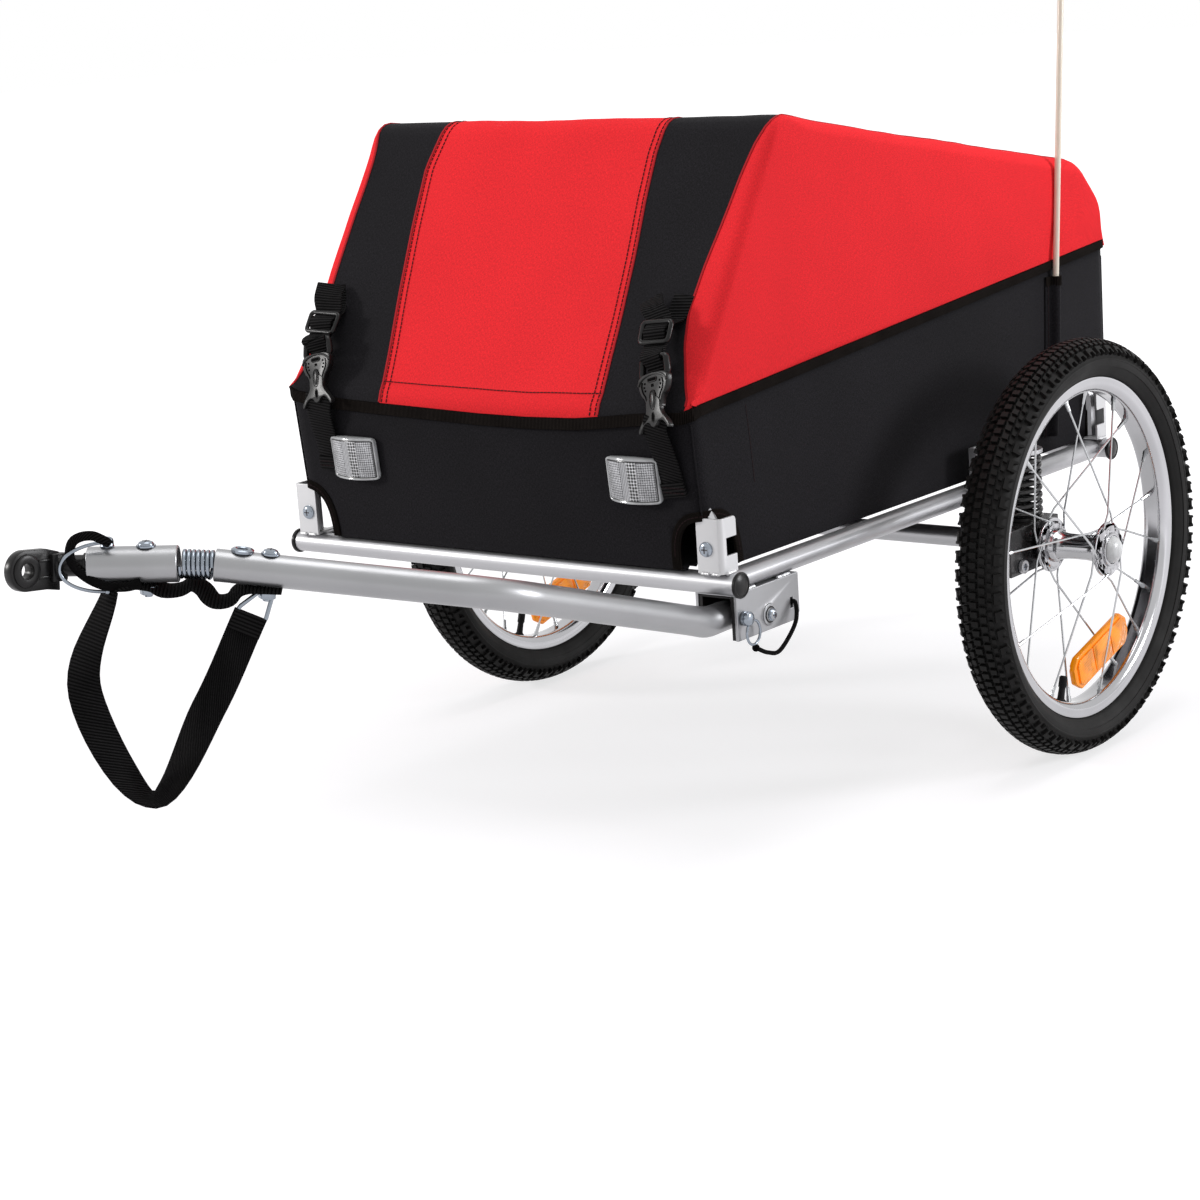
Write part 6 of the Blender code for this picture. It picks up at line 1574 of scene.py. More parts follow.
class TRAILER_OT_cover(bpy.types.Operator):
    """The cover: one sheet of red and black cloth over the hoops, with bound hems and twin stitching"""

    bl_idname = "trailer.cover"
    bl_label = "Cover"

    def execute(self, context):
        sheet = CoverCloth()
        finish_at = [finish for finish, count in zip(COLUMN_FINISH, COLUMNS) for _ in range(count)]
        bm = loft(bmesh.new(), sheet.rows, shade=finish_at.__getitem__)
        bmesh.ops.remove_doubles(bm, verts=bm.verts, dist=2e-5)
        face_out(evened(bm), Z)
        area = sum(face.calc_area() for face in bm.faces)
        piece = add_piece("striped_cover", bm, ["red_weave", "black_weave"], "cover",
                          ["cover"], 70)
        add_modifier(piece, "SOLIDIFY", thickness=context.scene.trailer_cloth.thickness, offset=-1.0)
        binding = self.binding(context.scene.trailer_cloth.binding_height)
        stitching = self.stitching(sheet)
        return {"FINISHED"}

    def binding(self, high):
        """Tape folded over the cover's hem all the way round."""
        spots, outs, scales = [], [], []
        for share in shares(260):
            spot, out = bag_spot(-BAG_ROUND / 2 + BAG_ROUND * share, 1.0)
            wave = 0.0004 * wobble(spot, 0.05, 2.0)
            back = (spot.y - BAG_FRONT) / (BAG_REAR - BAG_FRONT)
            fade = max(0.0, 1 - (spot.y - BAG_FRONT) / 0.008)
            scale = 0.84 if back < 0.012 else 0.76 - 0.06 * back
            droop = WALL_DOWN * along_table(FRONT_DROOP, spot.x) * fade
            lift = Z * (high * scale / 2 - 0.0012) + out * (0.0016 + wave + 0.0022 * fade)
            scales.append(scale)
            spots.append(spot + lift + droop)
            outs.append(out)
        half = high / 2
        section = [(-half, -0.0022), (-half, 0.0006), (-half + 0.0006, 0.0012), (half - 0.0006, 0.0012),
                   (half, 0.0006), (half, -0.0008), (0.0, -0.0010), (-half + 0.0014, -0.0022)]
        places = [place @ Matrix.Diagonal((scale, 1, 1, 1))
                  for place, scale in zip(frames_along(spots, outs), scales)]
        bm = sweep(bmesh.new(), section, places)
        return add_piece("cover_binding", bm, ["dark_binding"], "cover")

    def stitching(self, sheet):
        bm = bmesh.new()
        red_left, red_right = COLUMN_ENDS[4:6]
        stop = len(sheet.rows) - 1
        for column, hand in ((red_left, 1), (red_right, -1)):
            for offset in (0.0028, 0.0085):
                spots, outs = sheet.seam(column, hand * offset)
                stitches(bm, spots[1:stop], outs[1:stop])
        row, outs = (line[red_left : red_right + 1] for line in sheet.across(0.024))
        stitches(bm, [p + n * 0.0003 for p, n in zip(row, outs)], outs)
        lap = [(-0.0011, -0.0002), (-0.0009, 0.0004), (0.0009, 0.0004), (0.0011, -0.0002)]
        for column in (COLUMN_ENDS[3], red_left, red_right, COLUMN_ENDS[6]):
            spots, outs = sheet.seam(column)
            sweep(bm, lap, frames_along(spots[1:stop], outs[1:stop]), 1)
        return add_piece("cover_stitching", bm, ["dark_thread", "red_thread"], "cover")


# Places on the arm and the coupler
ARM_START = Vector((RAIL_X - 0.0123, FRONT_Y + 0.062, RAIL_Z - 0.0323))
BEND_ONE = Vector((RAIL_X - 0.0123, FRONT_Y - 0.010, RAIL_Z - 0.0323))
BEND_TWO = BEND_ONE + Vector((0.0128, -0.268, 0.0848))
ARM_FRONT = BEND_TWO + Vector((-0.1659, -0.1345, 0.0380))
ARM_RADIUS = 0.0125
ARM_HEADING = (ARM_FRONT - BEND_TWO).normalized()
ARM_ACROSS = ARM_HEADING.cross(Z).normalized()
ARM_UP = ARM_ACROSS.cross(ARM_HEADING).normalized()
ARM_BOLT = ARM_FRONT - ARM_HEADING * 0.040
FLEX_HEADING = Vector((-0.789, -0.608, 0.107)).normalized()
FLEX_LENGTH, FLEX_TURNS, FLEX_RADIUS, FLEX_WIRE = 0.0278, 7.0, 0.0098, 0.00165
COUPLER_HEADING = Vector((-0.7845, -0.6186, 0.0476)).normalized()
COUPLER_START, COUPLER_LENGTH = ARM_FRONT + FLEX_HEADING * FLEX_LENGTH, 0.068
COUPLER_END = COUPLER_START + COUPLER_HEADING * COUPLER_LENGTH
COUPLER_RADIUS = 0.014
ACROSS = COUPLER_HEADING.cross(Z).normalized()
UP = ACROSS.cross(COUPLER_HEADING).normalized()
PIN_SPOT = COUPLER_END - COUPLER_HEADING * 0.015
BOLT_SPOT = COUPLER_START + COUPLER_HEADING * 0.024
EYE_RISE = math.radians(6)
EYE_HEADING = Vector((0.0, -math.cos(EYE_RISE), math.sin(EYE_RISE)))
EYE_UP = Vector((0.0, math.sin(EYE_RISE), math.cos(EYE_RISE)))
EYE_CENTRE = COUPLER_END + COUPLER_HEADING * 0.021 + EYE_HEADING * 0.036
STRAP_DROP, STRAP_WIDTH, STRAP_THICK = 0.1787, 0.026, 0.0022
LANYARD_RADIUS = 0.0019
PLATE_FACE = RAIL_X + 0.009
LOCK_PIN = Vector((PLATE_FACE, FRONT_Y + 0.015, RAIL_Z - 0.0323))
PULL_RING = LOCK_PIN + Vector((0.005, 0.006, -0.013))


# Webbing, straps and cords
class TRAILER_OT_cords(bpy.types.Operator):
    """The safety strap and the lock pin's lanyard, each held at both ends"""

    bl_idname = "trailer.cords"
    bl_label = "Strap and lanyard"

    def execute(self, context):
        self.strap()
        self.lanyard()
        return {"FINISHED"}

    def strap(self):
        drops = [(0.0819, 0.0360, -0.1075), (0.0231, -0.1151, -0.5188), (0.2324, 0.0080, -1.0),
                 (0.3980, 0.2318, -0.6307)]
        knots = [COUPLER_END + STRAP_DROP * Vector(d) for d in drops]
        knots.append(ARM_FRONT + STRAP_DROP * Vector((0.1254, 0.0532, -0.2098)))
        path = smooth_path(knots, 39)
        outs = self.twisted(path)
        bm = webbing(bmesh.new(), path, outs, STRAP_WIDTH, STRAP_THICK)
        strap = add_piece("hanging_strap", bm, ["black_webbing"], "tow_arm",
                          ["safety_strap"], 50)
        ends = self.sewn_end(path, outs)

    def lanyard(self):
        hang = PLATE_FACE + 0.0080
        slot_y, slot_z = FRONT_Y + 0.086, RAIL_Z - 0.0345
        path = smooth_path([
            (PLATE_FACE - 0.003, slot_y, slot_z),
            (PLATE_FACE + 0.0035, slot_y, slot_z),
            (hang, slot_y - 0.008, slot_z - 0.0155),
            (hang, slot_y - 0.032, slot_z - 0.0335),
            (hang, LOCK_PIN.y + 0.021, LOCK_PIN.z - 0.0337),
            (PLATE_FACE + 0.005, LOCK_PIN.y + 0.008, LOCK_PIN.z - 0.0269),
        ], 36)
        bm = tube(bmesh.new(), path, LANYARD_RADIUS, 12)
        for end in (path[0], path[-1]):
            knot, place = bmesh.new(), Matrix.Translation(end)
            bmesh.ops.create_icosphere(knot, subdivisions=3, radius=0.0033, matrix=place)
            absorb(bm, knot)
        cord = add_piece("pin_cord", bm, ["lanyard_cord"], "chassis",
                         ["lock_pin_lanyard"], 60)

    def sewn_end(self, path, outs):
        """The doubled end of the strap and the zinc ring that holds it on the arm's bolt."""
        lift = [p + o * 0.0023 for p, o in zip(path[-3:], outs[-3:])]
        bm = webbing(bmesh.new(), lift, outs[-3:], STRAP_WIDTH, 0.0018)
        root = smooth_path([path[1], path[0], (0.0132, -0.5310, 0.3258), (0.0215, -0.5212, 0.3272)], 14)
        turns = [outs[0].lerp(UP, min(1.0, i / 9)).normalized() for i in range(len(root))]
        webbing(bm, root, turns, 0.0235, STRAP_THICK)
        along = heading(path, len(path) - 1)
        side = along.cross(outs[-1])
        hold = ARM_BOLT - ARM_UP * (ARM_RADIUS + 0.004)
        foot = path[-1] - along * 0.003
        ring = [foot - side * 0.0125, foot + side * 0.0125, hold + side * 0.0045, hold - side * 0.0045]
        ring_of(bm, rounded_outline(ring, 0.0035), outs[-1], circle(0.0017, 10), 1)
        return add_piece("strap_end", bm, ["black_webbing", "zinc_plate"], "tow_arm",
                         smooth=50)

    def twisted(self, path):
        """The way that the strap's flat faces: edge on at its upper end and its lowest fold."""
        turns = [(0.0, 70.0), (0.12, 48.0), (0.28, 5.0), (0.40, -30.0), (0.50, -74.0), (0.60, -50.0),
                 (0.74, -8.0), (1.0, 0.0)]
        toward, outs = Vector((0.77, -0.62, 0.1)).normalized(), []
        for i, share in enumerate(shares(len(path) - 1)):
            along, turn = heading(path, i), math.radians(along_table(turns, share))
            face = square_to(along, toward)
            outs.append(face * math.cos(turn) + along.cross(face) * math.sin(turn))
        return outs


class TRAILER_OT_tether(bpy.types.Operator):
    """The short looped strap under the coupler's spring"""

    bl_idname = "trailer.tether"
    bl_label = "Spring tether"

    def execute(self, context):
        path = smooth_path([
            (0.0196, -0.5226, 0.3272), (0.0226, -0.5202, 0.3269), (0.0302, -0.5142, 0.3245),
            (0.0364, -0.5093, 0.3196), (0.0457, -0.5019, 0.3196), (0.0529, -0.4963, 0.3231),
            (0.0585, -0.4919, 0.3194), (0.0631, -0.4882, 0.3113), (0.0672, -0.4850, 0.3082),
            (0.0740, -0.4796, 0.3092), (0.0798, -0.4751, 0.3158), (0.0865, -0.4698, 0.3181),
            (0.0949, -0.4632, 0.3174), (0.1058, -0.4545, 0.3159),
        ], 44)
        bm = webbing(bmesh.new(), path, UP * 0.96 + Vector((0.17, -0.21, 0.0)), 0.022, STRAP_THICK)
        add_piece("looped_tether", bm, ["black_webbing"], "tow_arm", ["spring_tether"], 50)
        return {"FINISHED"}


# Arm, coupler and hitch
NUT_RADIUS, NUT_HEIGHT = 0.0068, 0.0065
BAIL_REACH, BAIL_WIRE = 0.034, 0.0014


def through_bolt(spot, up, over, under, step, head):
    """A bolt through a tube: a washer and screw head above, a nut below."""
    top = spot + up * over
    bm = bmesh.new()
    washer(bm, top, up, head + 0.0014, step)
    cross_head(bm, facing(top + up * step, up), head, 0.0030)
    hex_nut(bm, spot - up * under, -up, NUT_RADIUS, NUT_HEIGHT)
    return bm


class TRAILER_OT_arm(bpy.types.Operator):
    """The bent tow arm, pinched a little at its bends, with its bolt and its eyelet"""

    bl_idname = "trailer.arm"
    bl_label = "Tow arm"

    def execute(self, context):
        bends = bent_path([ARM_START, BEND_ONE, BEND_TWO, ARM_FRONT], [0.050, 0.075], 16)
        path, places = evenly(bends, 0.004), []
        for place in frames_along(path, [Z] * len(path)):
            one, two = (math.exp(-((place.translation - bend).length / reach) ** 2)
                        for bend, reach in ((BEND_ONE, 0.016), (BEND_TWO, 0.030)))
            places.append(place @ Matrix.Diagonal((1 - 0.07 * one - 0.03 * two, 1 + 0.05 * one, 1, 1)))
        bm = sweep(bmesh.new(), circle(ARM_RADIUS, 36), places)
        mouth = [(-0.010, 0.0108), (0.0002, 0.0108), (0.0006, 0.0116), (0.0003, 0.0124), (-0.001, 0.0126)]
        turned(bm, mouth, ARM_FRONT, ARM_HEADING, 36)
        add_piece("bent_tow_arm", bm, ["arm_coat"], "tow_arm", ["tow_arm"], 40)
        bm = through_bolt(ARM_BOLT, ARM_UP, ARM_RADIUS - 0.0002, ARM_RADIUS + 0.0026, 0.0012, 0.0058)
        add_piece("arm_bolt", bm, ["zinc_plate", "screw_recess"], "tow_arm", ["arm_end_bolt"])
        eyelet = [(0, 0.0042), (0, 0.0085), (0.0020, 0.0088), (0.0030, 0.0074), (0.0032, 0.0056),
                  (0.0024, 0.0042)]
        spot = ARM_FRONT - ARM_HEADING * 0.019 + ARM_UP * (ARM_RADIUS - 0.0006)
        bm = turned(bmesh.new(), eyelet, spot, ARM_UP, 24)
        add_piece("arm_eyelet", bm, ["zinc_plate"], "tow_arm")
        return {"FINISHED"}


class TRAILER_OT_coupler(bpy.types.Operator):
    """The coupler's spring and tube, its bolt, the hitch pin with its bail and the moulded eye"""

    bl_idname = "trailer.coupler"
    bl_label = "Coupler"

    def execute(self, context):
        self.spring()
        self.body()
        self.eye()
        self.pin()
        return {"FINISHED"}

    def spring(self):
        """Two halves of one coil, one on each side of the joint's middle."""
        start, end = ARM_FRONT + FLEX_HEADING * 0.0016, COUPLER_START - FLEX_HEADING * 0.0016
        centre, half = (start + end) / 2, FLEX_TURNS / 2
        for name, first, last, bodies, ends in (
            ("rear_flex_coil", 0.0, half, ("tow_arm", "flex_link"), (start, centre)),
            ("front_flex_coil", half, FLEX_TURNS, ("flex_link", "coupler"), (centre, end)),
        ):
            points = coil_points(start, end, FLEX_RADIUS, FLEX_TURNS, Z, 30, 0.0, first, last)
            piece = add_piece(name, tube(bmesh.new(), points, FLEX_WIRE, 12), ["zinc_plate"], bodies[0],
                              ["flex_spring"], 60, ride=False)
            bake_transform(piece)

    def body(self):
        r, long = COUPLER_RADIUS, COUPLER_LENGTH
        profile = [(0.0, r - 0.0016), (0.0, r - 0.0006), (0.0006, r), (long - 0.0006, r), (long, r - 0.0006),
                   (long, 0.0094), (long - 0.0010, 0.0086), (long - 0.020, 0.0086), (long - 0.020, 0.0078),
                   (0.006, 0.0120), (0.0, 0.0122)]
        bm = turned(bmesh.new(), profile, COUPLER_START, COUPLER_HEADING, 40)
        add_piece("coupler_sleeve", bm, ["arm_coat"], "coupler", ["coupler_tube"], 38)
        bm = through_bolt(BOLT_SPOT, UP, r - 0.0004, r + 0.0024, 0.0013, 0.0060)
        add_piece("coupler_bolt", bm, ["zinc_plate", "screw_recess"], "coupler")

    def eye(self):
        rise, back, half, radius = EYE_UP, -EYE_HEADING * 0.032, 0.004, 0.0155
        start = EYE_CENTRE - X * half
        outline = [start + radius * (math.cos(a) * EYE_HEADING + math.sin(a) * rise)
                   for a in (math.pi * (0.5 - share) for share in shares(24))]
        tail = ((0.62, -1.02, 0.0), (1.0, -0.95, 0.003), (1.0, 0.95, 0.003), (0.62, 0.96, 0.0))
        outline += [start + back * share + rise * (radius * up - drop) for share, up, drop in tail]
        bm = slab(bmesh.new(), outline, X * 2 * half, 0.0009, 2, [(start, 0.0058)])
        rim = [(0.0016, 0.0062), (0.0018, 0.0075), (0.0018, 0.0112), (0.0012, 0.0124), (-0.001, 0.0130)]
        ring = [(-half - a, r) for a, r in rim] + [(half + a, r) for a, r in reversed(rim)]
        turned(bm, ring + [(half, 0.0058), (-half, 0.0058)], EYE_CENTRE, X, 40)
        ribs = basis(X, EYE_HEADING, -rise, EYE_CENTRE - EYE_HEADING * 0.030)
        block(bm, ribs, (0.0150, 0.0150, 0.0215), 0.0018)
        for lift in (-0.0062, 0.0062):
            block(bm, ribs @ Matrix.Translation((0, 0.012, lift)), (0.0105, 0.014, 0.0022), 0.0007)
        tube(bm, [COUPLER_END + COUPLER_HEADING * t for t in (-0.016, 0.021, 0.027)], 0.0082, 28)
        turned(bm, [(0, 0.0080), (0, 0.0096), (0.0016, 0.0096), (0.0022, 0.0080)],
               COUPLER_END + COUPLER_HEADING * 0.0012, COUPLER_HEADING, 28)
        add_piece("moulded_eye", bm, ["black_plastic"], "coupler", ["hitch_eye"], 32)

    def pin(self):
        r = COUPLER_RADIUS
        profile = [(-r - 0.009, 0.0), (-r - 0.009, 0.0016), (-r - 0.0078, 0.0028), (-r - 0.0070, 0.0032),
                   (r + 0.0003, 0.0032), (r + 0.0003, 0.0050), (r + 0.0008, 0.0055), (r + 0.0016, 0.0050),
                   (r + 0.0042, 0.0050), (r + 0.0060, 0.0046), (r + 0.0072, 0.0032), (r + 0.0076, 0.0)]
        bm = turned(bmesh.new(), profile, PIN_SPOT, UP, 28)
        add_piece("lock_pin_body", bm, ["zinc_plate"], "hitch_pin", ["hitch_pin"])
        near = ACROSS if ACROSS.x > 0 else -ACROSS
        points = [PIN_SPOT + COUPLER_HEADING * (BAIL_REACH * math.sin(a)) + UP * ((r + 0.0048) * math.cos(a))
                  + near * (0.0069 + 0.0085 * math.sin(a)) for a in (math.pi * t for t in shares(40))]
        bm = tube(bmesh.new(), points, BAIL_WIRE, 12)
        for end in (points[0], points[-1]):
            turned(bm, [(-0.0024, 0), (-0.0024, 0.0021), (0.0018, 0.0021), (0.0024, 0.0012), (0.0024, 0)],
                   end, near, 16)
        add_piece("pin_bail", bm, ["zinc_plate"], "hitch_pin", ["hitch_pin_lock_wire"], 60)
        path = smooth_path([
            PIN_SPOT + UP * (r + 0.0055) + near * 0.0075,
            (0.0149, -0.5415, 0.3614), (0.0106, -0.5449, 0.3648), (0.0063, -0.5483, 0.3673),
            (-0.0001, -0.5534, 0.3672), (-0.0056, -0.5577, 0.3637), (-0.0081, -0.5597, 0.3555),
            (-0.0070, -0.5588, 0.3470), (-0.0025, -0.5553, 0.3390), (0.0047, -0.5496, 0.3320),
            (0.0134, -0.5427, 0.3278), (0.0237, -0.5346, 0.3269), (0.0317, -0.5283, 0.3293),
        ], 40)
        bm = webbing(bmesh.new(), path, Vector((0.6192, -0.7852, 0.0)), 0.0075, 0.0020)
        add_piece("pin_keeper", bm, ["black_webbing"], "coupler", smooth=50)


class TRAILER_OT_hitch(bpy.types.Operator):
    """The arm's bracket with its welds, its liner and pivot bolt, and the arm's lock pin"""

    bl_idname = "trailer.hitch"
    bl_label = "Hitch bracket"

    def execute(self, context):
        refined("hitch_bracket", "welded_hitch_bracket", "arm_coat", 0.0009)
        refined("hitch_liner", "arm_liner", "black_plastic", 0.0006)
        low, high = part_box("hitch_bracket")
        bm, top = bmesh.new(), high.z + 0.0002
        for x in (low.x + 0.004, PLATE_FACE - 0.0025):
            for start, end in ((0.012, 0.030), (0.062, 0.082)):
                weld_bead(bm, (x, low.y + start, top), (x, low.y + end, top), 0.0018)
        add_piece("hitch_welds", bm, ["arm_coat"], "chassis")
        pivot = Vector((PLATE_FACE, FRONT_Y + 0.051, RAIL_Z - 0.037))
        seat = [(0, 0), (0, 0.0071), (0.0005, 0.0075), (0.0017, 0.0075), (0.0022, 0.0071), (0.0022, 0)]
        bm = turned(bmesh.new(), seat, pivot + X * 0.0001, X, 32, 2)
        cross_head(bm, facing(pivot + X * 0.0023, X), 0.0055, 0.0042)
        add_piece("arm_pivot_bolt", bm, ["zinc_plate", "screw_recess", "black_plastic"], "chassis")
        profile = [(-0.0088, 0.0), (-0.0088, 0.003), (-0.0078, 0.004), (0.0003, 0.004), (0.0003, 0.0056),
                   (0.0008, 0.0062), (0.0030, 0.0062), (0.0034, 0.0054), (0.0040, 0.0054), (0.0044, 0.0062),
                   (0.0062, 0.0062), (0.0074, 0.0052), (0.0081, 0.0034), (0.0083, 0.0)]
        bm = turned(bmesh.new(), profile, LOCK_PIN, X, 28)
        ring = [PULL_RING + Vector((0.0, 0.0095 * y, 0.0105 * z)) for y, z in circle(1.0, 48)]
        ring_of(bm, ring, X, circle(0.0012, 10))
        add_piece("pull_pin", bm, ["zinc_plate"], "arm_lock", ["arm_lock_pin"], 40)
        return {"FINISHED"}


# Corners and suspension
SPRING_RADIUS, SPRING_WIRE, SPRING_TURNS, SPRING_CLOSE = 0.0185, 0.0025, 8.5, 0.0062


class TRAILER_OT_corners(bpy.types.Operator):
    """Folded corner uprights with rounded tops, their bolts and welds, and the rails' end caps"""

    bl_idname = "trailer.corners"
    bl_label = "Corners"

    def execute(self, context):
        for end, rail_y, forward in (("front", FRONT_Y, -1.0), ("rear", REAR_Y, 1.0)):
            for side, sign in SIDES:
                self.upright(f"{end}_{side}", rail_y + forward * 0.011, forward, sign)
                self.cap(f"{end}_{side}", rail_y, sign)
        return {"FINISHED"}

    def upright(self, name, face, forward, sign):
        outer, low = RAIL_X + RAIL_RADIUS, RAIL_Z + RAIL_RADIUS + 0.0003
        high, wide, deep, cut = low + 0.047, 0.0256, 0.022, 0.0030
        corner = Vector((sign * outer, face, 0))
        inner, back = corner - X * sign * wide, corner - Y * forward * deep
        plan = bent_path([inner, corner, back], [0.0045], 5)
        plan.insert(1, inner + X * sign * cut)
        plan.insert(-1, corner - Y * forward * 0.0075)
        plan.insert(-1, back + Y * forward * cut)
        rises = [low, low + 0.015, low + 0.0165, low + 0.0285, low + 0.030, high - cut, high]
        rows = [[p + Z * z for p in plan] for z in rises]
        for end, step in ((0, 1), (-1, -1)):
            toward = (plan[end + step] - plan[end]) * 0.32
            rows[-1][end] = plan[end] + toward + Z * (high - cut * 0.32)
        bm = loft(bmesh.new(), rows)
        middles = {part: part.calc_center_median() for part in bm.faces}
        doomed = [part for part, spot in middles.items()
                  if (face - spot.y) * forward > 0.0074 and low + 0.015 < spot.z < low + 0.030]
        bmesh.ops.delete(bm, geom=doomed, context="FACES")
        piece = add_piece(f"{name}_upright", face_out(bm, Y * forward), ["bracket_coat"], "chassis",
                          [f"{name}_corner_bracket"], 40)
        add_modifier(piece, "SOLIDIFY", thickness=0.0025, offset=-1.0)
        add_modifier(piece, "BEVEL", width=0.0005, segments=2, limit_method="ANGLE", harden_normals=True)
        centre, seam = sign * (outer - wide / 2), low + 0.0004
        base = Matrix.Translation((centre - sign * 0.001, face - forward * (deep / 2 + 0.001), low + 0.0012))
        bm = block(bmesh.new(), base, (wide - 0.004, deep - 0.003, 0.0022))
        for a, b in ((-0.010, -0.001), (0.001, 0.010)):
            y = face + forward * 0.0004
            weld_bead(bm, (centre + a, y, seam), (centre + b, y, seam), 0.0013)
        weld_bead(bm, (sign * outer, face - forward * 0.005, seam),
                  (sign * outer, face - forward * 0.019, seam), 0.0015)
        bolt = Vector((sign * (outer - wide * 0.62), face, low + 0.021))
        cross_head(bm, facing(bolt, Y * forward), 0.0064, 0.0030, 1, 2)
        add_piece(f"{name}_bolt", bm, ["bracket_coat", "zinc_plate", "screw_recess"], "chassis")

    def cap(self, name, rail_y, sign):
        profile = [(-0.004, 0.0), (-0.004, 0.0076), (0.0002, 0.0076), (0.0002, 0.0104), (0.0012, 0.0112),
                   (0.0030, 0.0112), (0.0038, 0.0106), (0.0040, 0.0096), (0.0034, 0.0090), (0.0042, 0.0070),
                   (0.0049, 0.0036), (0.0051, 0.0)]
        bm = turned(bmesh.new(), profile, (sign * RAIL_HALF, rail_y, RAIL_Z), X * sign, 36)
        add_piece(f"{name}_end_cap", bm, ["black_plastic"], "chassis", [f"{name}_plug"])


class TRAILER_OT_suspension(bpy.types.Operator):
    """Coil springs with closed ends, their brackets and cups, carriers and stub axles"""

    bl_idname = "trailer.suspension"
    bl_label = "Suspension"

    def execute(self, context):
        for side, sign in SIDES:
            refined(f"{side}_spring_bracket", f"{side}_sprung_bracket", "silver_coat",
                    0.0007)
            refined(f"{side}_axle_carrier", f"{side}_pressed_carrier", "black_enamel", 0.0012)
            dress(f"{side}_axle", "zinc_plate")
            low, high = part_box(f"{side}_suspension_spring")
            foot = Vector((*middle(f"{side}_suspension_spring").xy, low.z + SPRING_WIRE))
            head = Vector((foot.x, foot.y, high.z - SPRING_WIRE))
            points = coil_points(foot, head, SPRING_RADIUS, SPRING_TURNS, Y, 28, SPRING_CLOSE)
            bm = tube(bmesh.new(), points, SPRING_WIRE, 12)
            coil = add_piece(f"{side}_coil", bm, ["black_enamel"], "chassis",
                             [f"{side}_suspension_spring"], 60, ride=False)
            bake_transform(coil)
            cup = [(0, 0.0), (0, 0.0150), (0.0030, 0.0150), (0.0042, 0.0138), (0.0042, 0)]
            bm = turned(bmesh.new(), cup, (foot.x, foot.y, low.z - 0.0003), Z, 36)
            add_piece(f"{side}_spring_cup", bm, ["black_plastic"], f"{side}_carrier")
            pivot = Vector((sign * (HALF_TRACK - 0.0385), AXLE_Y - 0.0412, WHEEL_RADIUS - 0.0132))
            bm = bmesh.new()
            cross_head(bm, facing(pivot + X * sign * 0.0004, X * sign), 0.0063, 0.0042)
            add_piece(f"{side}_pivot_screw", bm, ["zinc_plate", "screw_recess"], "chassis")
        return {"FINISHED"}


# Buckles and front lenses
BUCKLES = {
    "left": {
        "tip": (0.2028, -0.0140, 0.006), "head": (0.1894, 0.0488, 0.024), "yaw": -15.0,
        "size": (0.95, 0.85, 0.9, 1), "glide": (0.1831, 0.0658, 0.020), "across": 0.84, "tilt": 0.10,
        "tail": (0.1600, 0.0990, 0.010), "sewn": (0.1870, 0.1075), "wide": 0.0215,
        "free": (0.94, -0.28, 0.0), "strap": (0.1955, 0.2047, 0.0235),
    },
    "right": {
        "tip": (-0.1792, -0.0111, 0.006), "head": (-0.1917, 0.0470, 0.024), "yaw": -5.0,
        "size": (0.92, 0.84, 0.9, 1), "glide": (-0.1960, 0.0637, 0.018), "across": 1.0, "tilt": -0.04,
        "tail": (-0.2060, 0.1040, 0.012), "sewn": (-0.2120, 0.1040), "wide": 0.0265,
        "free": (0.72, 0.69, 0.0), "strap": (-0.1850, -0.1855, 0.0310),
    },
}


def laid(place, spots, up, hand=1):
    """Places at one height over a part, from (across, along) pairs."""
    return [place @ Vector((hand * a, b, up)) for a, b in spots]


def mirrored(half, place, up):
    """The outline whose right side is given as (across, along) points from its top to its foot."""
    fine = smooth_path([(a, b, 0) for a, b in half], len(half) * 4)
    left = [(-p.x, p.y) for p in reversed(fine) if p.x > 1e-5]
    return laid(place, [(p.x, p.y) for p in fine] + left, up)


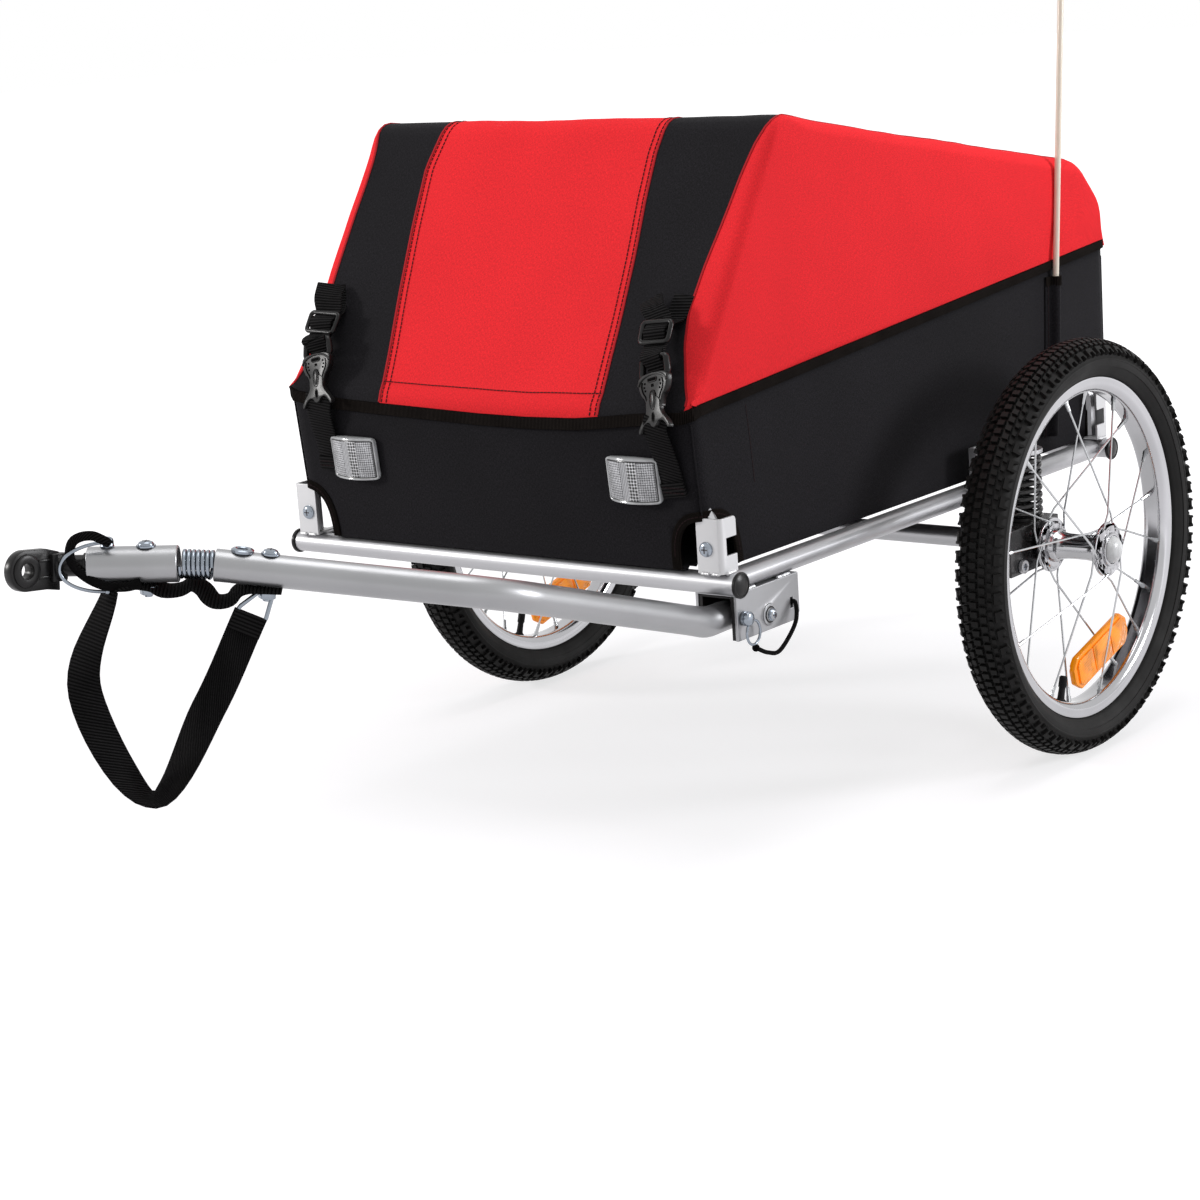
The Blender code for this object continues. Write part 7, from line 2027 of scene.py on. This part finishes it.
class TRAILER_OT_buckles(bpy.types.Operator):
    """Side-release buckles with tri-glides, ribbed webbing and the sewn straps below them"""

    bl_idname = "trailer.buckles"
    bl_label = "Buckles"

    def execute(self, context):
        for side, spots in BUCKLES.items():
            tip, head = on_slope(*spots["tip"]), on_slope(*spots["head"])
            rise = (head - tip).normalized()
            across = square_to(rise, X)
            out = across.cross(rise)
            place = basis(across, rise, out, tip - out * 0.0055)
            place = place @ Matrix.Rotation(math.radians(spots["yaw"]), 4, "Y")
            place = place @ Matrix.Diagonal(spots["size"])
            self.plug(side, spots, place)
            self.socket(side, spots, place)
        return {"FINISHED"}

    def plug(self, side, spots, place):
        bm, out = bmesh.new(), place.to_3x3() @ Z
        bar = laid(place, ((-0.0178, 0.0525), (0.0178, 0.0525), (0.0158, 0.0705), (-0.0158, 0.0705)), 0.0042)
        section = [(x * 1.25, y * 1.5) for x, y in circle(0.0021, 12)]
        ring_of(bm, rounded_outline(bar, 0.0034, 5), out, section)
        half = [(0.0, 0.0560), (0.0120, 0.0550), (0.0188, 0.0520), (0.0197, 0.0470), (0.0186, 0.0410),
                (0.0166, 0.0365), (0.0150, 0.0340), (0.0128, 0.0318), (0.0108, 0.0280), (0.0096, 0.0235),
                (0.0086, 0.0200), (0.0, 0.0190)]
        slab(bm, mirrored(half, place, 0.0014), out * 0.0068, 0.0014, 3)
        turns = [math.pi * (share - 0.5) * 0.9 for share in shares(24)]
        arch = [(0.0192 * math.sin(a), 0.0435 + 0.0108 * math.cos(a)) for a in turns]
        tube(bm, laid(place, arch, 0.0082), 0.0011, 8)
        ridge = ((0.0150, 0.0445), (0.0142, 0.0400), (0.0118, 0.0355), (0.0090, 0.0310), (0.0078, 0.0250))
        groove = ((0.0138, 0.0480), (0.0146, 0.0430), (0.0130, 0.0375), (0.0104, 0.0335), (0.0088, 0.0290))
        # painted shade: the grooves, dots and slots given shade 1 are raised marks in a dark finish that
        # stand in for hollows
        for hand in (-1, 1):
            tube(bm, smooth_path(laid(place, ridge, 0.0080, hand), 16), 0.0006, 8)
            for a, b in ((0.0102, 0.0462), (0.0112, 0.0425), (0.0100, 0.0390)):
                spot = place @ Matrix.Translation((hand * a, b, 0.0083))
                block(bm, spot, (0.0020, 0.0020, 0.0006), 0.0003, 1)
            tube(bm, smooth_path(laid(place, groove, 0.0083, hand), 16), 0.0006, 8, 1)
        block(bm, place @ Matrix.Translation((0, 0.0487, 0.0082)), (0.0110, 0.0032, 0.0008), 0.0004, 1)
        slot = laid(place, ((-0.0062, 0.0467), (0.0062, 0.0467), (0.0062, 0.0507), (-0.0062, 0.0507)), 0.0083)
        ring_of(bm, rounded_outline(slot, 0.0019), out, circle(0.0006, 8))
        block(bm, place @ Matrix.Translation((0, 0.0430, 0.0082)), (0.0034, 0.0030, 0.0008), 0.0003, 1)
        add_piece(f"{side}_buckle_body", bm, ["black_plastic", "dark_hollow"], "cover",
                  [f"{side}_buckle_plug"], 34)
        self.glide(side, spots, place)

    def glide(self, side, spots, place):
        """The tri-glide and the webbing through it, which ends in a loose tail."""
        glide = basis(X, SLOPE_UP, SLOPE_OUT, on_slope(*spots["glide"]))
        glide = glide @ Matrix.Rotation(spots["tilt"], 4, "Z") @ Matrix.Diagonal((spots["across"], 1, 1, 1))
        rim = laid(glide, ((-0.0165, -0.0092), (0.0165, -0.0092), (0.0172, 0.0092), (-0.0172, 0.0092)), 0.0)
        section = [(a * 1.2, b * 1.1) for a, b in circle(0.0018, 12)]
        bm = ring_of(bmesh.new(), rounded_outline(rim, 0.0034, 5), SLOPE_OUT, section)
        rod(bm, *laid(glide, ((-0.016, 0.0), (0.016, 0.0)), -0.0004), 0.0016, 10)
        add_piece(f"{side}_tri_glide", bm, ["black_plastic"], "cover")
        tail, low = on_slope(*spots["tail"]), glide @ Vector((0, 0.0110, -0.0030))
        under = on_slope(spots["glide"][0] * 0.5 + spots["sewn"][0] * 0.5, 0.086, 0.0026)
        front = [place @ Vector((0, 0.0575, 0.0006)), place @ Vector((0, 0.0640, 0.0050)),
                 place @ Vector((0, 0.0705, 0.0092)), glide @ Vector((0, -0.0100, -0.0026)),
                 glide @ Vector((0, 0.0, 0.0026)), low, low.lerp(tail, 0.5) + SLOPE_OUT * 0.0030, tail]
        back = [place @ Vector((0, 0.0590, 0.0)), place @ Vector((0, 0.0720, 0.0018)),
                glide @ Vector((0, -0.0060, -0.0050)), glide @ Vector((0, 0.0080, -0.0062)), under,
                on_slope(*spots["sewn"], 0.0016)]
        first, then, free = place.to_3x3() @ X, glide.to_3x3() @ X, Vector(spots["free"])
        bm = bmesh.new()
        for knots, thick, curl in ((front, 0.0020, 1.0), (back, 0.0018, 0.0)):
            path, outs = smooth_path(knots, 44), []
            for i, share in enumerate(shares(len(path) - 1)):
                across = first.lerp(then, within(share * 5 - 1.0))
                across = across.lerp(free, curl * within(share * 3 - 2.0))
                outs.append(heading(path, i).cross(across).normalized())
            webbing(bm, path, outs, spots["wide"], thick)
        add_piece(f"{side}_strap_tail", bm, ["black_webbing"], "cover", smooth=50)

    def socket(self, side, spots, place):
        bm, out = bmesh.new(), place.to_3x3() @ Z
        half = [(0.0, 0.0322), (0.0055, 0.0310), (0.0088, 0.0280), (0.0094, 0.0230), (0.0096, 0.0180),
                (0.0122, 0.0130), (0.0164, 0.0082), (0.0202, 0.0025), (0.0204, -0.0012), (0.0186, -0.0010),
                (0.0160, 0.0030), (0.0124, 0.0064), (0.0084, 0.0076), (0.0052, 0.0062), (0.0030, 0.0034),
                (0.0, 0.0018)]
        slab(bm, mirrored(half, place, 0.0036), out * 0.0056, 0.0011, 3)
        # painted shade: the smaller boss is dark, standing in for a hollow
        for b, long, wide, slot in ((0.0285, 0.0088, 0.0034, 0), (0.0115, 0.0046, 0.0016, 1)):
            boss = bmesh.new()
            spot = place @ Matrix.Translation((0, b, 0.0086)) @ Matrix.Diagonal((wide, long, 0.0014, 1))
            bmesh.ops.create_uvsphere(boss, u_segments=20, v_segments=12, radius=1.0, matrix=spot)
            absorb(bm, boss, slot)
            rim = [(wide * 1.15 * x, b + long * 1.1 * y) for x, y in circle(1.0, 24)]
            ring_of(bm, laid(place, rim, 0.0091), out, circle(0.0005, 8))
        block(bm, place @ Matrix.Translation((0, 0.0095, 0.0042)), (0.0215, 0.0032, 0.0030), 0.0009)
        add_piece(f"{side}_buckle_end", bm, ["black_plastic", "dark_hollow"], "chassis",
                  [f"{side}_buckle_socket"], 34)
        self.lower_strap(side, spots, place)

    def lower_strap(self, side, spots, place):
        """The webbing that is sewn to the bag below the buckle, its end doubled."""
        x_top, x_low, wide = spots["strap"]
        sewn = 0.0235
        knots = [place @ Vector((0, 0.0105, 0.0062)), on_wall(x_top + 0.002, 0.0085, 0.0105)]
        knots += [on_wall(x_top + (x_low - x_top) * t, 0.004 + 0.064 * t, out)
                  for t, out in ((0.3, 0.0070), (0.55, 0.0042), (0.78, 0.0028), (1.0, 0.0022))]
        path, flat = smooth_path(knots, 40), 0.0240
        places = [spot @ Matrix.Diagonal(((wide + (sewn - wide) * i / 39) / flat, 1, 1, 1))
                  for i, spot in enumerate(frames_along(path, [WALL_OUT] * len(path)))]
        bm = sweep(bmesh.new(), strap_section(flat, 0.0018), places)
        webbing(bm, [p + WALL_OUT * 0.0018 for p in path[-8:]], WALL_OUT, flat, 0.0016)
        for lift in (0.004, 0.008):
            foot = path[-1] + WALL_OUT * 0.0029 - WALL_DOWN * lift
            stitches(bm, [foot + X * 0.0105, foot, foot - X * 0.0105], [WALL_OUT] * 3, 1)
        add_piece(f"{side}_lower_strap", bm, ["black_webbing", "dark_thread"], "chassis",
                  smooth=50)


LENSES = {"left": (0.1640, 0.0555, 0.0540, 0.0395), "right": (-0.1525, 0.0548, 0.0530, 0.0390)}


class TRAILER_OT_front_lenses(bpy.types.Operator):
    """Clear front reflectors: a curved face of prisms in zones, in a pale rim on a base"""

    bl_idname = "trailer.front_lenses"
    bl_label = "Front reflectors"

    def execute(self, context):
        finishes = ["lens_rim", "clear_prism", "clear_bars", "dark_prism", "black_enamel"]
        for side, (x, below, wide, high) in LENSES.items():
            bm, place = bmesh.new(), basis(X, -WALL_DOWN, WALL_OUT, on_wall(x, below, 0.0018))
            self.base(bm, place, wide, high)
            for zone in ((-0.46, -0.17, 1), (-0.165, -0.04, 2), (-0.035, 0.14, 3), (0.145, 0.43, 1)):
                self.zone(bm, place, wide, high, *zone)
            add_piece(f"{side}_clear_lens", bm, finishes, "chassis",
                      [f"{side}_front_reflector"], 30)
        return {"FINISHED"}

    def spot(self, place, wide, high, across, up, lift=0.0):
        """A place on the bulging face, with across and up from -0.5 to 0.5, its corners rounded."""
        corner, end = 0.0042, wide * (0.5 - abs(across))
        cut = corner - math.sqrt(max(0.0, corner**2 - max(0.0, corner - end) ** 2))
        height = high * (1 - 0.03 * (2 * across) ** 2) - 2 * cut
        bulge = 0.0022 + 0.0058 * (1 - (2 * across) ** 2)
        return place @ Vector((wide * across, height * up, bulge + lift))

    def base(self, bm, place, wide, high):
        rows, out = [], place.to_3x3() @ Z
        for share in shares(28):
            across = -0.5 * math.cos(math.pi * share)
            top, foot = (self.spot(place, wide, high, across, up) for up in (0.5, -0.5))
            deep = out * ((place.inverted() @ top).z - 0.0004)
            rows.append([foot - deep, *(foot.lerp(top, up) for up in shares(4)), top - deep])
        part = evened(loft(bmesh.new(), rows, closed=True, caps=True))
        absorb(bm, rounded(part, 0.0006, 2, 50))
        # the second ring is a thin black line just inside the rim, a painted shade for the crevice between
        # the rim and the face
        for inset, radius, shade in ((0.0011, 0.0011, 0), (0.0026, 0.0005, 4)):
            half_x, half_y = 0.5 * (1 - 2 * inset / wide), 0.5 * (1 - 2 * inset / high)
            steps = [half_x * math.cos(math.pi * share) for share in shares(24)]
            rim = [self.spot(place, wide, high, a, half_y, 0.0003) for a in steps]
            rim += [self.spot(place, wide, high, a, -half_y, 0.0003) for a in reversed(steps)]
            ring_of(bm, rim, out, circle(radius, 8), shade)

    def zone(self, bm, place, wide, high, first, last, shade):
        """One field of the lens, from one place across it to another, in a finish of its own."""
        steps = shares(max(2, round((last - first) * 24)))
        rows = [[self.spot(place, wide, high, first + (last - first) * t, 0.84 * up - 0.42, 0.0001)
                 for t in steps] for up in shares(12)]
        part = face_out(evened(loft(bmesh.new(), rows)), WALL_OUT)
        bmesh.ops.solidify(part, geom=part.faces, thickness=-0.0008)
        absorb(bm, evened(part), shade)


# Flag pole
POLE_LENGTH, POLE_RADIUS, POLE_LEAN = 0.70, 0.003, math.radians(5.7)
POCKET_HEIGHT = 0.155


class TRAILER_OT_pole(bpy.types.Operator):
    """The flag pole and the stitched pocket that holds it on the side wall"""

    bl_idname = "trailer.pole"
    bl_label = "Flag pole"

    def execute(self, context):
        low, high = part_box("flag_pole")
        along = Vector((0, math.sin(POLE_LEAN), math.cos(POLE_LEAN)))
        foot = Vector(((low.x + high.x) / 2, low.y + POLE_RADIUS, low.z + 0.0003))
        bm = rod(bmesh.new(), foot, foot + along * POLE_LENGTH, POLE_RADIUS, 20, 0.0006)
        add_piece("cream_pole", bm, ["cream_fibreglass"], "chassis", ["flag_pole"])
        half = [(0.0020, 0.0092), (0.0038, 0.0070), (0.0047, 0.0042), (0.0060, 0.0018), (0.0085, 0.0009),
                (0.0130, 0.0007)]
        section = [(-a, out) for a, out in reversed(half)] + [(0.0, 0.0099)] + half
        rows = []
        for share in shares(26):
            centre = foot + along * (-0.006 + POCKET_HEIGHT * share)
            rows.append([self.side_wall(centre.y + a, centre.z) + X * out for a, out in section])
        pocket = add_piece("pole_pocket", face_out(loft(bmesh.new(), rows), X), ["black_weave"],
                           "chassis", ["pole_sleeve"], 60)
        add_modifier(pocket, "SOLIDIFY", thickness=0.001, offset=-1.0)
        bm = bmesh.new()
        for column in (1, 11):
            line = [row[column] + X * 0.0004 for row in rows]
            stitches(bm, line, [X] * len(line))
        tape = [(-0.0045, -0.0006), (-0.0045, 0.0007), (0.0045, 0.0007), (0.0045, -0.0006)]
        edge = evenly([p + X * 0.0003 - Z * 0.0045 for p in rows[-1]], 0.0012)
        sweep(bm, tape, frames_along(edge, [X] * len(edge)), 1)
        add_piece("pocket_stitching", bm, ["dark_thread", "dark_binding"], "chassis")
        return {"FINISHED"}

    def side_wall(self, y, z):
        """The place on the left wall at a height, seen from the side."""
        share = (z - FLOOR_Z) / (wall_top(y) - HEM_GAP - FLOOR_Z)
        front = BAG_FOOT + (BAG_FRONT - BAG_FOOT) * share + BAG_CORNER
        t = within((y - front) / (BAG_REAR - BAG_CORNER - front))
        spot = bag_spot(BAG_ENDS + BAG_TURN + BAG_SIDE * t, share)[0]
        return Vector((spot.x + 0.0006, y, z))


# Plain frame parts
class TRAILER_OT_framework(bpy.types.Operator):
    """Finishes for the rails, axle beam, hoops and bars that show as the frame gives them"""

    bl_idname = "trailer.framework"
    bl_label = "Framework"

    def execute(self, context):
        for node in ("front_rail", "rear_rail", "left_side_rail", "right_side_rail", "axle_beam",
                     "left_side_hoop", "right_side_hoop", "ridge_bar", "rear_bar"):
            dress(node, "silver_coat")
        return {"FINISHED"}


OPERATORS = (
    TRAILER_OT_studio,
    TRAILER_OT_cords,
    TRAILER_OT_framework,
    TRAILER_OT_corners,
    TRAILER_OT_suspension,
    TRAILER_OT_arm,
    TRAILER_OT_coupler,
    TRAILER_OT_tether,
    TRAILER_OT_hitch,
    TRAILER_OT_tyres,
    TRAILER_OT_rims,
    TRAILER_OT_hubs,
    TRAILER_OT_wheel_lenses,
    TRAILER_OT_bag,
    TRAILER_OT_cover,
    TRAILER_OT_buckles,
    TRAILER_OT_front_lenses,
    TRAILER_OT_pole,
)


class TRAILER_PT_panel(bpy.types.Panel):
    """Lists the trailer's pieces and their settings"""

    bl_idname = "TRAILER_PT_panel"
    bl_label = "Trailer finish"
    bl_space_type = "VIEW_3D"
    bl_region_type = "UI"
    bl_category = "Trailer"

    def draw(self, context):
        for operator in OPERATORS:
            self.layout.operator(operator.bl_idname)
        for name, group in SETTINGS.items():
            box = self.layout.box()
            for key in group.__annotations__:
                box.prop(getattr(context.scene, name), key)


CLASSES = tuple(SETTINGS.values()) + OPERATORS + (TRAILER_PT_panel,)


def register():
    for cls in CLASSES:
        bpy.utils.register_class(cls)
    for name, group in SETTINGS.items():
        setattr(bpy.types.Scene, name, bpy.props.PointerProperty(type=group))


def unregister():
    for name in SETTINGS:
        delattr(bpy.types.Scene, name)
    for cls in reversed(CLASSES):
        bpy.utils.unregister_class(cls)


def main():
    register()
    for operator in OPERATORS:
        group, name = operator.bl_idname.split(".")
        getattr(getattr(bpy.ops, group), name)()


if __name__ == "__main__":
    main()
